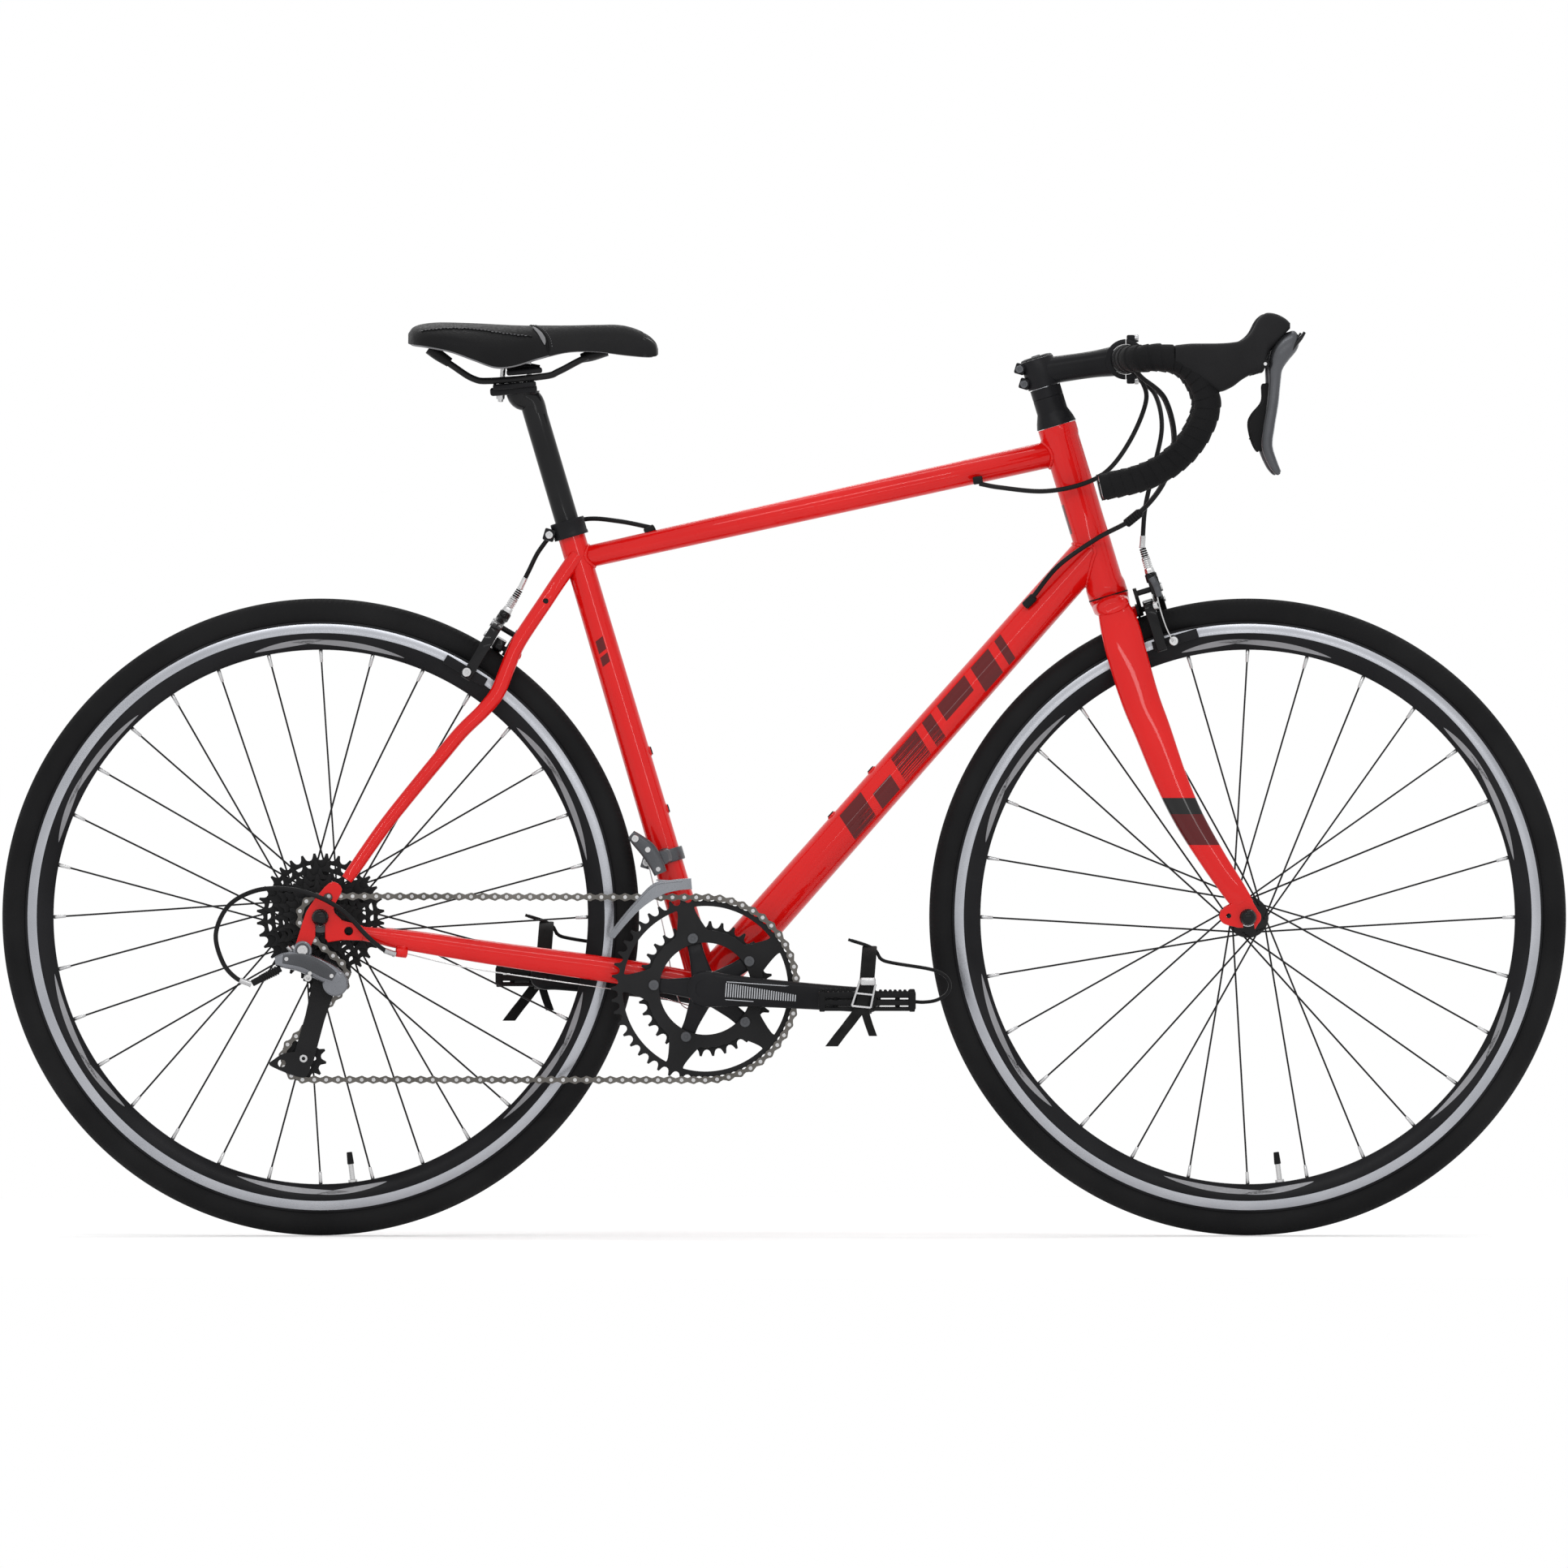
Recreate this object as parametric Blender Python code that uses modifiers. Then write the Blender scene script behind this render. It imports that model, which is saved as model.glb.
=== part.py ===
"""Road bicycle with a drop handlebar, caliper brakes and pedals with toe clips.

Metres. +X is forwards, +Y is to the rider's left and +Z is up. The origin is on the ground,
midway between the two axles.
"""
import math

import bmesh
import bpy
from mathutils import Matrix, Vector

GAP = 0.0003

# Wheels
WHEELBASE = 0.9864
TYRE_OUTER = 0.339
TYRE_HALF_WIDTH = 0.014
WHEEL_STEPS = 40
SPOKE_RADIUS = 0.001
FRONT_HUB_HALF = 0.050
REAR_HUB_HALF = 0.065
FREEHUB_RADIUS = 0.0160
CONE_RADIUS = 0.0095
SPOKE_END = 0.2830
DROPOUT_THICKNESS = 0.006
AXLE_RADIUS = 0.0048

# Frame
BRACKET = Vector((-0.0838, 0, 0.263))
SEAT_ANGLE = math.radians(73.5)
SEAT_TUBE_LENGTH = 0.511
SEAT_TUBE_FOOT = 0.0162
SEAT_TUBE_TOP = 0.0143
HEAD_ANGLE = math.radians(73.1)
HEAD_FOOT = Vector((0.3450, 0, 0.6808))
HEAD_LENGTH = 0.189
HEAD_RADIUS = 0.0198
HEAD_COLLAR = 0.0213
STEERER_RADIUS = 0.0142
SHELL_RADIUS = 0.0205
SHELL_HALF = 0.034
CARTRIDGE_RADIUS = 0.0175
SPINDLE_RADIUS = 0.012
POST_RADIUS = 0.0127
TOP_TUBE_REAR = Vector((-0.2195, 0, 0.7199))
TOP_TUBE_FRONT = Vector((0.2980, 0, 0.8348))
DOWN_TUBE_FRONT = Vector((0.3298, 0, 0.7309))

# Drive
CRANK_LENGTH = 0.1725
CRANK_DROP = math.radians(4)
CHAIN_PITCH = 0.0127
OUTER_TEETH = 48
INNER_TEETH = 34
SMALL_COG_TEETH = 11
TOOTH_ABOVE_PITCH = 0.0034
OUTER_RING_Y = -0.0460
INNER_RING_Y = -0.0385
RING_THICKNESS = 0.0025
COG_Y = -0.0585
GUIDE_PULLEY = Vector((-0.487, COG_Y, 0.275))
TENSION_PULLEY = Vector((-0.511, COG_Y, 0.189))
CAGE_PIVOT = Vector((-0.477, COG_Y, 0.269))
HANGER_BOLT = Vector((-0.512, -0.0685, 0.304))
PEDAL_Y = 0.126
SPIDER_REACH = 0.0610
RING_BORE = 0.0485
CHAIN_HALF_HEIGHT = 0.0043
CHAIN_WIDTH = 0.0066
SLOT_CLEARANCE = 0.0004
CRANK_HUB_RADIUS = 0.0185
PEDAL_SPINDLE_RADIUS = 0.0050

# Handlebar
BAR_CENTRE = Vector((0.3636, 0, 0.9324))
BAR_RADIUS = 0.0119
BAR_CLAMP_RADIUS = 0.0159
BAR_HALF_WIDTH = 0.210
TAPE_THICKNESS = 0.0026
LEVER_PIVOT = (0.5101, 0.9272)

# Brakes
BRAKE_REAR = Vector((-0.3026, 0, 0.6270))
BRAKE_REAR_UP = Vector((0.5157, 0, 0.8569)).normalized()
BRAKE_FRONT = Vector((0.3869, 0, 0.6680))
SIDE_PIN = (-0.0220, 0.0180)
ARM_THICKNESS = 0.0115
BRAKE_PIN_RADIUS = 0.0030
BRAKE_BORE_RADIUS = 0.0034

REAR_AXLE = Vector((-WHEELBASE / 2, 0, TYRE_OUTER))
FRONT_AXLE = Vector((WHEELBASE / 2, 0, TYRE_OUTER))
SEAT_UP = Vector((-math.cos(SEAT_ANGLE), 0, math.sin(SEAT_ANGLE)))
HEAD_UP = Vector((-math.cos(HEAD_ANGLE), 0, math.sin(HEAD_ANGLE)))
LEFTWARD = Vector((0, 1, 0))
UPWARD = Vector((0, 0, 1))

COLOURS = {
    "frame_paint": ((0.80, 0.012, 0.015), 0.25, 0.0),
    "black_alloy": ((0.015, 0.015, 0.017), 0.38, 0.6),
    "black_steel": ((0.02, 0.02, 0.022), 0.42, 0.7),
    "silver": ((0.62, 0.63, 0.65), 0.3, 1.0),
    "tyre_rubber": ((0.018, 0.018, 0.019), 0.8, 0.0),
    "grip_rubber": ((0.022, 0.022, 0.023), 0.7, 0.0),
    "bar_tape": ((0.014, 0.014, 0.015), 0.75, 0.0),
    "saddle_cover": ((0.03, 0.03, 0.031), 0.55, 0.0),
    "black_plastic": ((0.02, 0.02, 0.02), 0.5, 0.0),
    "chain_steel": ((0.45, 0.43, 0.41), 0.35, 1.0),
    "cable_housing": ((0.02, 0.02, 0.02), 0.4, 0.0),
}


# ---------------------------------------------------------------- helpers

def clear_scene():
    for obj in list(bpy.data.objects):
        bpy.data.objects.remove(obj, do_unlink=True)


def new_collection(name):
    collection = bpy.data.collections.new(name)
    bpy.context.scene.collection.children.link(collection)
    return collection


def make_materials():
    for name, (colour, roughness, metallic) in COLOURS.items():
        material = bpy.data.materials.new(name)
        material.use_nodes = True
        shader = material.node_tree.nodes["Principled BSDF"]
        shader.inputs["Base Color"].default_value = (*colour, 1)
        shader.inputs["Roughness"].default_value = roughness
        shader.inputs["Metallic"].default_value = metallic
        material.diffuse_color = (*colour, 1)


def add_mesh(name, mesh):
    obj = bpy.data.objects.new(name, mesh)
    PARTS.objects.link(obj)
    return obj


def from_bmesh(name, bm):
    mesh = bpy.data.meshes.new(name)
    bm.to_mesh(mesh)
    bm.free()
    return add_mesh(name, mesh)


def finish(obj, material):
    """Gives a part its material and smooth shading with sharp edges."""
    obj.data.materials.clear()
    obj.data.materials.append(bpy.data.materials[material])
    obj.data.shade_smooth()
    obj.data.set_sharp_from_angle(angle=math.radians(35))
    return obj


def as_tool(obj):
    """Keeps a shape only as an operand of a Boolean."""
    if obj.name in PARTS.objects:
        PARTS.objects.unlink(obj)
        TOOLS.objects.link(obj)
    obj.hide_render = True
    obj.display_type = "WIRE"
    return obj


def boolean(obj, tools, operation):
    for tool in tools:
        modifier = obj.modifiers.new(operation.lower(), "BOOLEAN")
        modifier.operation = operation
        modifier.object = as_tool(tool)
    return obj


def cut(obj, *tools):
    return boolean(obj, tools, "DIFFERENCE")


def join(obj, *tools):
    return boolean(obj, tools, "UNION")


def bake(obj):
    """Replaces an object's mesh, or its curve, with its evaluated and welded mesh."""
    bpy.context.view_layer.update()
    evaluated = obj.evaluated_get(bpy.context.evaluated_depsgraph_get())
    mesh = bpy.data.meshes.new_from_object(evaluated)
    bm = bmesh.new()
    bm.from_mesh(mesh)
    bmesh.ops.remove_doubles(bm, verts=bm.verts, dist=1e-6)
    bm.to_mesh(mesh)
    bm.free()
    name = obj.name
    matrix = obj.matrix_world.copy()
    bpy.data.objects.remove(obj, do_unlink=True)
    baked = add_mesh(name, mesh)
    baked.matrix_world = matrix
    return baked


def aligned(origin, direction):
    """Matrix whose Z runs along direction and whose origin is given."""
    turn = UPWARD.rotation_difference(Vector(direction)).to_matrix().to_4x4()
    return Matrix.Translation(origin) @ turn


def rod(name, start, end, radius, end_radius=None, sides=16):
    start, end = Vector(start), Vector(end)
    bm = bmesh.new()
    last = radius if end_radius is None else end_radius
    length = (end - start).length
    bmesh.ops.create_cone(bm, cap_ends=True, segments=sides, radius1=radius, radius2=last,
                          depth=length)
    bmesh.ops.transform(bm, verts=bm.verts,
                        matrix=aligned((start + end) / 2, end - start))
    return from_bmesh(name, bm)


def cross_rod(name, centre, low_y, high_y, radius, sides=16):
    """Cylinder along Y between two heights of Y."""
    x, _, z = centre
    return rod(name, (x, low_y, z), (x, high_y, z), radius, sides=sides)


def block(name, centre, size, pitch=0.0, bevel=0.0, matrix=None):
    """Box of a given size, turned by pitch about Y, with its edges bevelled."""
    bm = bmesh.new()
    bmesh.ops.create_cube(bm, size=1)
    bmesh.ops.scale(bm, vec=size, verts=bm.verts)
    if bevel:
        bmesh.ops.bevel(bm, geom=bm.edges[:], offset=bevel, segments=1, affect="EDGES")
    place = Matrix.Translation(centre) @ Matrix.Rotation(pitch, 4, "Y")
    bmesh.ops.transform(bm, verts=bm.verts, matrix=(matrix or Matrix()) @ place)
    return from_bmesh(name, bm)


def turned(name, profile, origin, direction, steps=24):
    """Turns a profile of (radius, height) points about an axis.

    The points run down the outer side. A profile that never reaches the axis is a closed loop.
    """
    bm = bmesh.new()
    verts = [bm.verts.new((radius, 0, height)) for radius, height in profile]
    for first, second in zip(verts, verts[1:]):
        bm.edges.new((first, second))
    if profile[0][0] > 0:
        bm.edges.new((verts[-1], verts[0]))
    obj = from_bmesh(name, bm)
    obj.matrix_world = aligned(origin, direction)
    screw = obj.modifiers.new("turn", "SCREW")
    screw.steps = screw.render_steps = steps
    screw.use_merge_vertices = True
    screw.merge_threshold = 1e-5
    return bake(obj)


def loft(name, rings):
    """Closed solid through rings that have the same number of points."""
    bm = bmesh.new()
    loops = [[bm.verts.new(point) for point in ring] for ring in rings]
    for near, far in zip(loops, loops[1:]):
        for k in range(len(near)):
            bm.faces.new((near[k - 1], near[k], far[k], far[k - 1]))
    bm.faces.new(loops[0])
    bm.faces.new(loops[-1])
    bmesh.ops.recalc_face_normals(bm, faces=bm.faces)
    return from_bmesh(name, bm)


def oval_ring(centre, travel, across, half_across, half_deep, count):
    across = Vector(across).normalized()
    deep = Vector(travel).normalized().cross(across)
    return [Vector(centre)
            + across * half_across * math.cos(2 * math.pi * k / count)
            + deep * half_deep * math.sin(2 * math.pi * k / count)
            for k in range(count)]


def oval_tube(name, stations, count=10):
    """Tube of oval section. A station is (x, z, y, half depth in the side view, half width)."""
    centres = [Vector((x, y, z)) for x, z, y, _, _ in stations]
    rings = []
    for k, (_, _, _, half_deep, half_wide) in enumerate(stations):
        travel = centres[min(k + 1, len(centres) - 1)] - centres[max(k - 1, 0)]
        travel.y = 0
        rings.append(oval_ring(centres[k], travel, LEFTWARD, half_wide, half_deep, count))
    return loft(name, rings)


def mirrored_y(stations):
    return [(x, z, -y, deep, wide) for x, z, y, deep, wide in stations]


def smooth_route(points, per_span):
    """Points on a Catmull-Rom curve through the given points."""
    points = [Vector(point) for point in points]
    padded = [2 * points[0] - points[1]] + points + [2 * points[-1] - points[-2]]
    route = []
    for a, b, c, d in zip(padded, padded[1:], padded[2:], padded[3:]):
        for k in range(per_span):
            t = k / per_span
            route.append(((2 * b) + (c - a) * t + (2 * a - 5 * b + 4 * c - d) * t ** 2
                          + (3 * b - a - 3 * c + d) * t ** 3) / 2)
    route.append(points[-1])
    return route


def wire(name, route, radius, resolution=2, radii=None, caps=True):
    """Curve object with a round section."""
    curve = bpy.data.curves.new(name, "CURVE")
    curve.dimensions = "3D"
    curve.bevel_depth = radius
    curve.bevel_resolution = resolution
    curve.use_fill_caps = caps
    spline = curve.splines.new("POLY")
    spline.points.add(len(route) - 1)
    for k, point in enumerate(route):
        spline.points[k].co = (*point, 1)
        spline.points[k].radius = radii[k] if radii else 1
    obj = bpy.data.objects.new(name, curve)
    PARTS.objects.link(obj)
    return obj


def plate(name, outlines, thickness, matrix):
    """Flat plate from closed outlines in its own X and Y; further outlines are its holes."""
    curve = bpy.data.curves.new(name, "CURVE")
    curve.dimensions = "2D"
    curve.fill_mode = "BOTH"
    curve.extrude = thickness / 2
    for outline in outlines:
        spline = curve.splines.new("POLY")
        spline.points.add(len(outline) - 1)
        spline.use_cyclic_u = True
        for k, (x, y) in enumerate(outline):
            spline.points[k].co = (x, y, 0, 1)
    obj = bpy.data.objects.new(name, curve)
    PARTS.objects.link(obj)
    obj.matrix_world = matrix
    return bake(obj)


def side_plate(name, outlines, y_centre, thickness):
    """Plate that lies in the side view: its outlines are (x, z) points."""
    stand = Matrix.Translation((0, y_centre, 0)) @ Matrix.Rotation(math.pi / 2, 4, "X")
    return plate(name, outlines, thickness, stand)


def circle(centre, radius, count, start=0.0):
    return [(centre[0] + radius * math.cos(start + 2 * math.pi * k / count),
             centre[1] + radius * math.sin(start + 2 * math.pi * k / count))
            for k in range(count)]


def pivot(name, position, *pieces):
    """Empty on a joint's axis, which carries the pieces that turn about it."""
    empty = bpy.data.objects.new(name, None)
    PARTS.objects.link(empty)
    empty.empty_display_size = 0.02
    empty.location = position
    for piece in pieces:
        piece.parent = empty
        piece.matrix_parent_inverse = Matrix.Translation(-Vector(position))
    return empty


def on_seat_axis(height):
    return BRACKET + SEAT_UP * height


def on_head_axis(height):
    return HEAD_FOOT + HEAD_UP * height


def seat_tube_radius(height):
    return SEAT_TUBE_FOOT + (SEAT_TUBE_TOP - SEAT_TUBE_FOOT) * height / SEAT_TUBE_LENGTH


def pitch_radius(teeth):
    return CHAIN_PITCH / 2 / math.sin(math.pi / teeth)


# ---------------------------------------------------------------- frame

def seat_tube_cutter(name):
    return rod(name, on_seat_axis(0), on_seat_axis(SEAT_TUBE_LENGTH + 0.002),
               SEAT_TUBE_FOOT + GAP, SEAT_TUBE_TOP + GAP)


def shell_cutter(name):
    return cross_rod(name, BRACKET, -SHELL_HALF - 0.01, SHELL_HALF + 0.01, SHELL_RADIUS + GAP,
                     sides=20)


def head_cutter(name):
    return rod(name, on_head_axis(-0.02), on_head_axis(HEAD_LENGTH + 0.02), HEAD_COLLAR + GAP,
               sides=20)


def bottle_boss(name, tube_start, tube_end, surface, distance):
    """Threaded boss that stands on the upper side of a tube."""
    along = (tube_end - tube_start).normalized()
    outward = along.cross(LEFTWARD)
    if outward.z < 0:
        outward = -outward
    foot = tube_start + along * distance
    return rod(name, foot + outward * (surface - 0.004), foot + outward * (surface + 0.0025),
               0.0055, sides=12)


def make_frame():
    bore = STEERER_RADIUS + 0.0006
    head = turned("head_tube", [
        (HEAD_COLLAR - 0.0005, HEAD_LENGTH), (HEAD_COLLAR - 0.0005, HEAD_LENGTH - 0.012),
        (HEAD_RADIUS, HEAD_LENGTH - 0.016), (HEAD_RADIUS, 0.018), (HEAD_COLLAR, 0.012),
        (HEAD_COLLAR, 0), (bore, 0), (bore, HEAD_LENGTH)], HEAD_FOOT, HEAD_UP, steps=20)
    finish(head, "frame_paint")

    top = rod("top_tube", TOP_TUBE_REAR, TOP_TUBE_FRONT, 0.0118, 0.0142)
    cut(top, seat_tube_cutter("cut_top_rear"), head_cutter("cut_top_front"))
    finish(top, "frame_paint")

    down = rod("down_tube", BRACKET, DOWN_TUBE_FRONT, 0.0220, 0.0202, sides=20)
    bosses = [bottle_boss(f"down_boss_{k}", BRACKET, DOWN_TUBE_FRONT, 0.0212, distance)
              for k, distance in enumerate((0.2270, 0.2910))]
    join(down, *bosses)
    cut(down, shell_cutter("cut_down_shell"), head_cutter("cut_down_head"),
        seat_tube_cutter("cut_down_seat"))
    finish(down, "frame_paint")

    seat = rod("seat_tube", on_seat_axis(0), on_seat_axis(SEAT_TUBE_LENGTH), SEAT_TUBE_FOOT,
               SEAT_TUBE_TOP)
    shell = cross_rod("bracket_shell", BRACKET, -SHELL_HALF, SHELL_HALF, SHELL_RADIUS, sides=20)
    bosses = [bottle_boss(f"seat_boss_{k}", BRACKET, on_seat_axis(SEAT_TUBE_LENGTH), 0.0150,
                          distance) for k, distance in enumerate((0.1950, 0.2590))]
    join(seat, shell, *bosses)
    cut(seat, cross_rod("shell_bore", BRACKET, -0.05, 0.05, CARTRIDGE_RADIUS + GAP, sides=20),
        rod("post_bore", on_seat_axis(SEAT_TUBE_LENGTH - 0.285), on_seat_axis(0.55),
            POST_RADIUS + 0.0004))
    finish(seat, "frame_paint")

    for side, sign in (("right", -1), ("left", 1)):
        make_chainstay(side, sign)
    make_seatstays()
    make_seat_clamp()

    cartridge = turned("bottom_bracket", [
        (0.0195, 0.0390), (0.0195, 0.0345), (CARTRIDGE_RADIUS, 0.0343),
        (CARTRIDGE_RADIUS, -0.0343), (0.0195, -0.0345), (0.0195, -0.0390),
        (SPINDLE_RADIUS + 0.0004, -0.0390), (SPINDLE_RADIUS + 0.0004, 0.0390)],
        BRACKET, LEFTWARD, steps=20)
    finish(cartridge, "black_steel")


def dropout_outline(with_hanger):
    axle_x, axle_z = REAR_AXLE.x, REAR_AXLE.z
    slot = AXLE_RADIUS + 0.0004
    arch = [(axle_x + slot * math.cos(angle), axle_z + slot * math.sin(angle))
            for angle in [math.pi * k / 6 for k in range(7)]]
    front = [(-0.4480, 0.3300), (-0.4480, 0.3145), (-0.4700, 0.3150), (-0.4850, 0.3125),
             (axle_x + slot, 0.3170)]
    if with_hanger:
        rear = [(axle_x - slot, 0.3190)]
        rear += [(HANGER_BOLT.x + 0.0095 * math.cos(a), HANGER_BOLT.z + 0.0095 * math.sin(a))
                 for a in [math.radians(25 - 40 * k) for k in range(6)]]
    else:
        rear = [(axle_x - slot, 0.3160), (-0.5060, 0.3180)]
    top = [(-0.5120, 0.3340), (-0.5050, 0.3500), (-0.4830, 0.3760), (-0.4700, 0.3690),
           (-0.4790, 0.3480), (-0.4700, 0.3360)]
    return front + arch + rear + top


def make_chainstay(side, sign):
    stations = [
        (-0.4500, 0.3222, 0.0665, 0.0072, 0.0050), (-0.4300, 0.3190, 0.0640, 0.0085, 0.0062),
        (-0.4000, 0.3142, 0.0580, 0.0105, 0.0070), (-0.3000, 0.2990, 0.0430, 0.0122, 0.0078),
        (-0.1857, 0.2829, 0.0300, 0.0135, 0.0076), (-0.1300, 0.2735, 0.0270, 0.0138, 0.0074),
        (-0.0850, 0.2650, 0.0235, 0.0138, 0.0074)]
    stay = oval_tube(f"chainstay_{side}", stations if sign > 0 else mirrored_y(stations), 12)
    centre_y = sign * (REAR_HUB_HALF + GAP + DROPOUT_THICKNESS / 2)
    dropout = side_plate(f"dropout_{side}", [dropout_outline(sign < 0)], centre_y,
                         DROPOUT_THICKNESS)
    join(stay, dropout)
    if sign < 0:
        join(stay, block("housing_stop", (-0.4070, -0.0630, 0.3020), (0.012, 0.0120, 0.012),
                         pitch=0.15))
    cut(stay, shell_cutter(f"cut_shell_{side}"), seat_tube_cutter(f"cut_seat_{side}"))
    finish(stay, "frame_paint")


def caliper_matrix(rear):
    """Frame of a brake: X to the side, Y up from the rim, Z away from its bridge."""
    up = BRAKE_REAR_UP if rear else HEAD_UP
    side = -LEFTWARD if rear else LEFTWARD
    out = side.cross(up)
    turn = Matrix((side, up, out)).transposed().to_4x4()
    return Matrix.Translation(BRAKE_REAR if rear else BRAKE_FRONT) @ turn


def brake_mount(name, rear, root):
    """Centre bolt, side pivot and the backing plate that holds both."""
    place = caliper_matrix(rear)
    bolt = rod(f"{name}_bolt", place @ Vector((0, 0, root)), place @ Vector((0, 0, 0.0077)),
               BRAKE_PIN_RADIUS, sides=10)
    side_pin = rod(f"{name}_side_pin", place @ Vector((*SIDE_PIN, -0.0090)),
                   place @ Vector((*SIDE_PIN, 0.0190)), BRAKE_PIN_RADIUS, sides=10)
    centre = block(f"{name}_backing_plate", (-0.0100, 0.0085, -0.0080), (0.036, 0.030, 0.004),
                   matrix=place)
    return [bolt, side_pin, centre]


def make_seatstays():
    stations = [
        (-0.2200, 0.7250, 0.0100, 0.0080, 0.0066), (-0.2420, 0.6930, 0.0140, 0.0080, 0.0066),
        (-0.2539, 0.6750, 0.0180, 0.0080, 0.0066), (-0.2824, 0.6318, 0.0240, 0.0080, 0.0066),
        (-0.2940, 0.6050, 0.0262, 0.0080, 0.0066), (-0.3050, 0.5780, 0.0280, 0.0080, 0.0066),
        (-0.3200, 0.5590, 0.0290, 0.0078, 0.0066), (-0.3420, 0.5375, 0.0305, 0.0076, 0.0066),
        (-0.3645, 0.5109, 0.0335, 0.0076, 0.0064), (-0.4206, 0.4418, 0.0465, 0.0072, 0.0060),
        (-0.4560, 0.3920, 0.0600, 0.0068, 0.0056), (-0.4650, 0.3795, 0.0660, 0.0060, 0.0050)]
    stays = oval_tube("seatstays", mirrored_y(stations), 10)
    left = oval_tube("left_seatstay", stations, 10)
    bridge = cross_rod("brake_bridge", (-0.2870, 0, 0.6185), -0.026, 0.026, 0.0060, sides=12)
    yoke = cross_rod("stay_yoke", (-0.2370, 0, 0.7000), -0.012, 0.012, 0.0070, sides=12)
    join(stays, left, bridge, yoke, *brake_mount("rear_brake", True, -0.0180))
    dropouts = [side_plate(f"cut_dropout_{sign}", [grown_dropout()],
                           sign * (REAR_HUB_HALF + GAP + DROPOUT_THICKNESS / 2),
                           DROPOUT_THICKNESS + 2 * GAP) for sign in (-1, 1)]
    cut(stays, seat_tube_cutter("cut_stays_seat"), *dropouts)
    finish(stays, "frame_paint")


def grown_dropout():
    """Top part of a dropout's outline, with clearance, for the seat stays to end on."""
    return [(-0.5200, 0.3300), (-0.5080, 0.3520), (-0.4835, 0.3768), (-0.4690, 0.3697),
            (-0.4700, 0.3300)]


def make_seat_clamp():
    low, high = SEAT_TUBE_LENGTH - 0.0100, SEAT_TUBE_LENGTH + 0.0085
    step = SEAT_TUBE_LENGTH + GAP
    clamp = turned("seatpost_clamp", [
        (0.0180, high), (0.0185, high - 0.002), (0.0185, low), (SEAT_TUBE_TOP + 0.0005, low),
        (SEAT_TUBE_TOP + 0.0005, step), (POST_RADIUS + 0.0005, step),
        (POST_RADIUS + 0.0005, high)], BRACKET, SEAT_UP, steps=20)
    behind = on_seat_axis(SEAT_TUBE_LENGTH - 0.0015) + Vector((-0.0215, 0, -0.0060))
    ear = block("clamp_ear", behind, (0.012, 0.020, 0.013), pitch=0.29, bevel=0.0015)
    bolt = cross_rod("clamp_bolt", behind + Vector((-0.0005, 0, 0)), -0.014, 0.014, 0.0042, 12)
    join(clamp, ear, bolt)
    finish(clamp, "black_alloy")


# ---------------------------------------------------------------- saddle and post

def make_seat():
    foot, top = on_seat_axis(0.370), on_seat_axis(0.6500)
    post = rod("seatpost", foot, top, POST_RADIUS)
    head = block("post_head", (-0.2880, 0, 0.8990), (0.052, 0.034, 0.0120), pitch=-0.08,
                 bevel=0.002)
    neck = rod("post_neck", on_seat_axis(0.635), (-0.2780, 0, 0.9000), 0.0130, 0.0125)
    stud = rod("post_stud", (-0.2760, 0, 0.8950), (-0.2780, 0, 0.9200), 0.0040, sides=10)
    upper = block("post_upper_clamp", (-0.2760, 0, 0.9205), (0.036, 0.054, 0.0060), pitch=-0.08,
                  bevel=0.001)
    join(post, neck, head, stud, upper)
    finish(post, "black_alloy")

    half = [(-0.3700, 0.0300, 0.9380), (-0.3515, 0.0270, 0.9247), (-0.3308, 0.0230, 0.9118),
            (-0.3118, 0.0220, 0.9095), (-0.2557, 0.0220, 0.9143), (-0.2400, 0.0205, 0.9195),
            (-0.2200, 0.0150, 0.9300), (-0.2085, 0.0080, 0.9355)]
    route = smooth_route(half + [(x, -y, z) for x, y, z in reversed(half)], 2)
    rails = bake(wire("saddle_rails", route, 0.0035))
    finish(rails, "black_steel")

    stations = [
        (-0.4003, 0.9600, 0.9480, 0.028), (-0.3940, 0.9670, 0.9470, 0.050),
        (-0.3800, 0.9708, 0.9465, 0.066), (-0.3550, 0.9722, 0.9440, 0.0745),
        (-0.3300, 0.9718, 0.9360, 0.0735), (-0.3080, 0.9710, 0.9230, 0.066),
        (-0.2880, 0.9700, 0.9240, 0.056), (-0.2600, 0.9695, 0.9350, 0.041),
        (-0.2300, 0.9692, 0.9410, 0.030), (-0.2000, 0.9695, 0.9415, 0.0245),
        (-0.1700, 0.9680, 0.9370, 0.0215), (-0.1480, 0.9600, 0.9350, 0.0190),
        (-0.1370, 0.9510, 0.9350, 0.0140), (-0.1339, 0.9440, 0.9365, 0.0080)]
    saddle = loft("saddle", [saddle_ring(*station) for station in stations])
    finish(saddle, "saddle_cover")
    pivot("seatpost_axis", on_seat_axis(SEAT_TUBE_LENGTH), post, rails, saddle)


def saddle_ring(x, top, skirt, half):
    """Arch of the cover, then the hollow under it."""
    under = max(skirt, min(top - 0.014, 0.9440))
    arch = [Vector((x, half * math.cos(angle), skirt + (top - skirt) * math.sin(angle) ** 0.6))
            for angle in [math.pi * k / 8 for k in range(9)]]
    hollow = [Vector((x, -half * 0.80, skirt + 0.4 * (under - skirt))),
              Vector((x, -half * 0.45, under)), Vector((x, half * 0.45, under)),
              Vector((x, half * 0.80, skirt + 0.4 * (under - skirt)))]
    return arch + hollow


# ---------------------------------------------------------------- wheels

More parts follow.
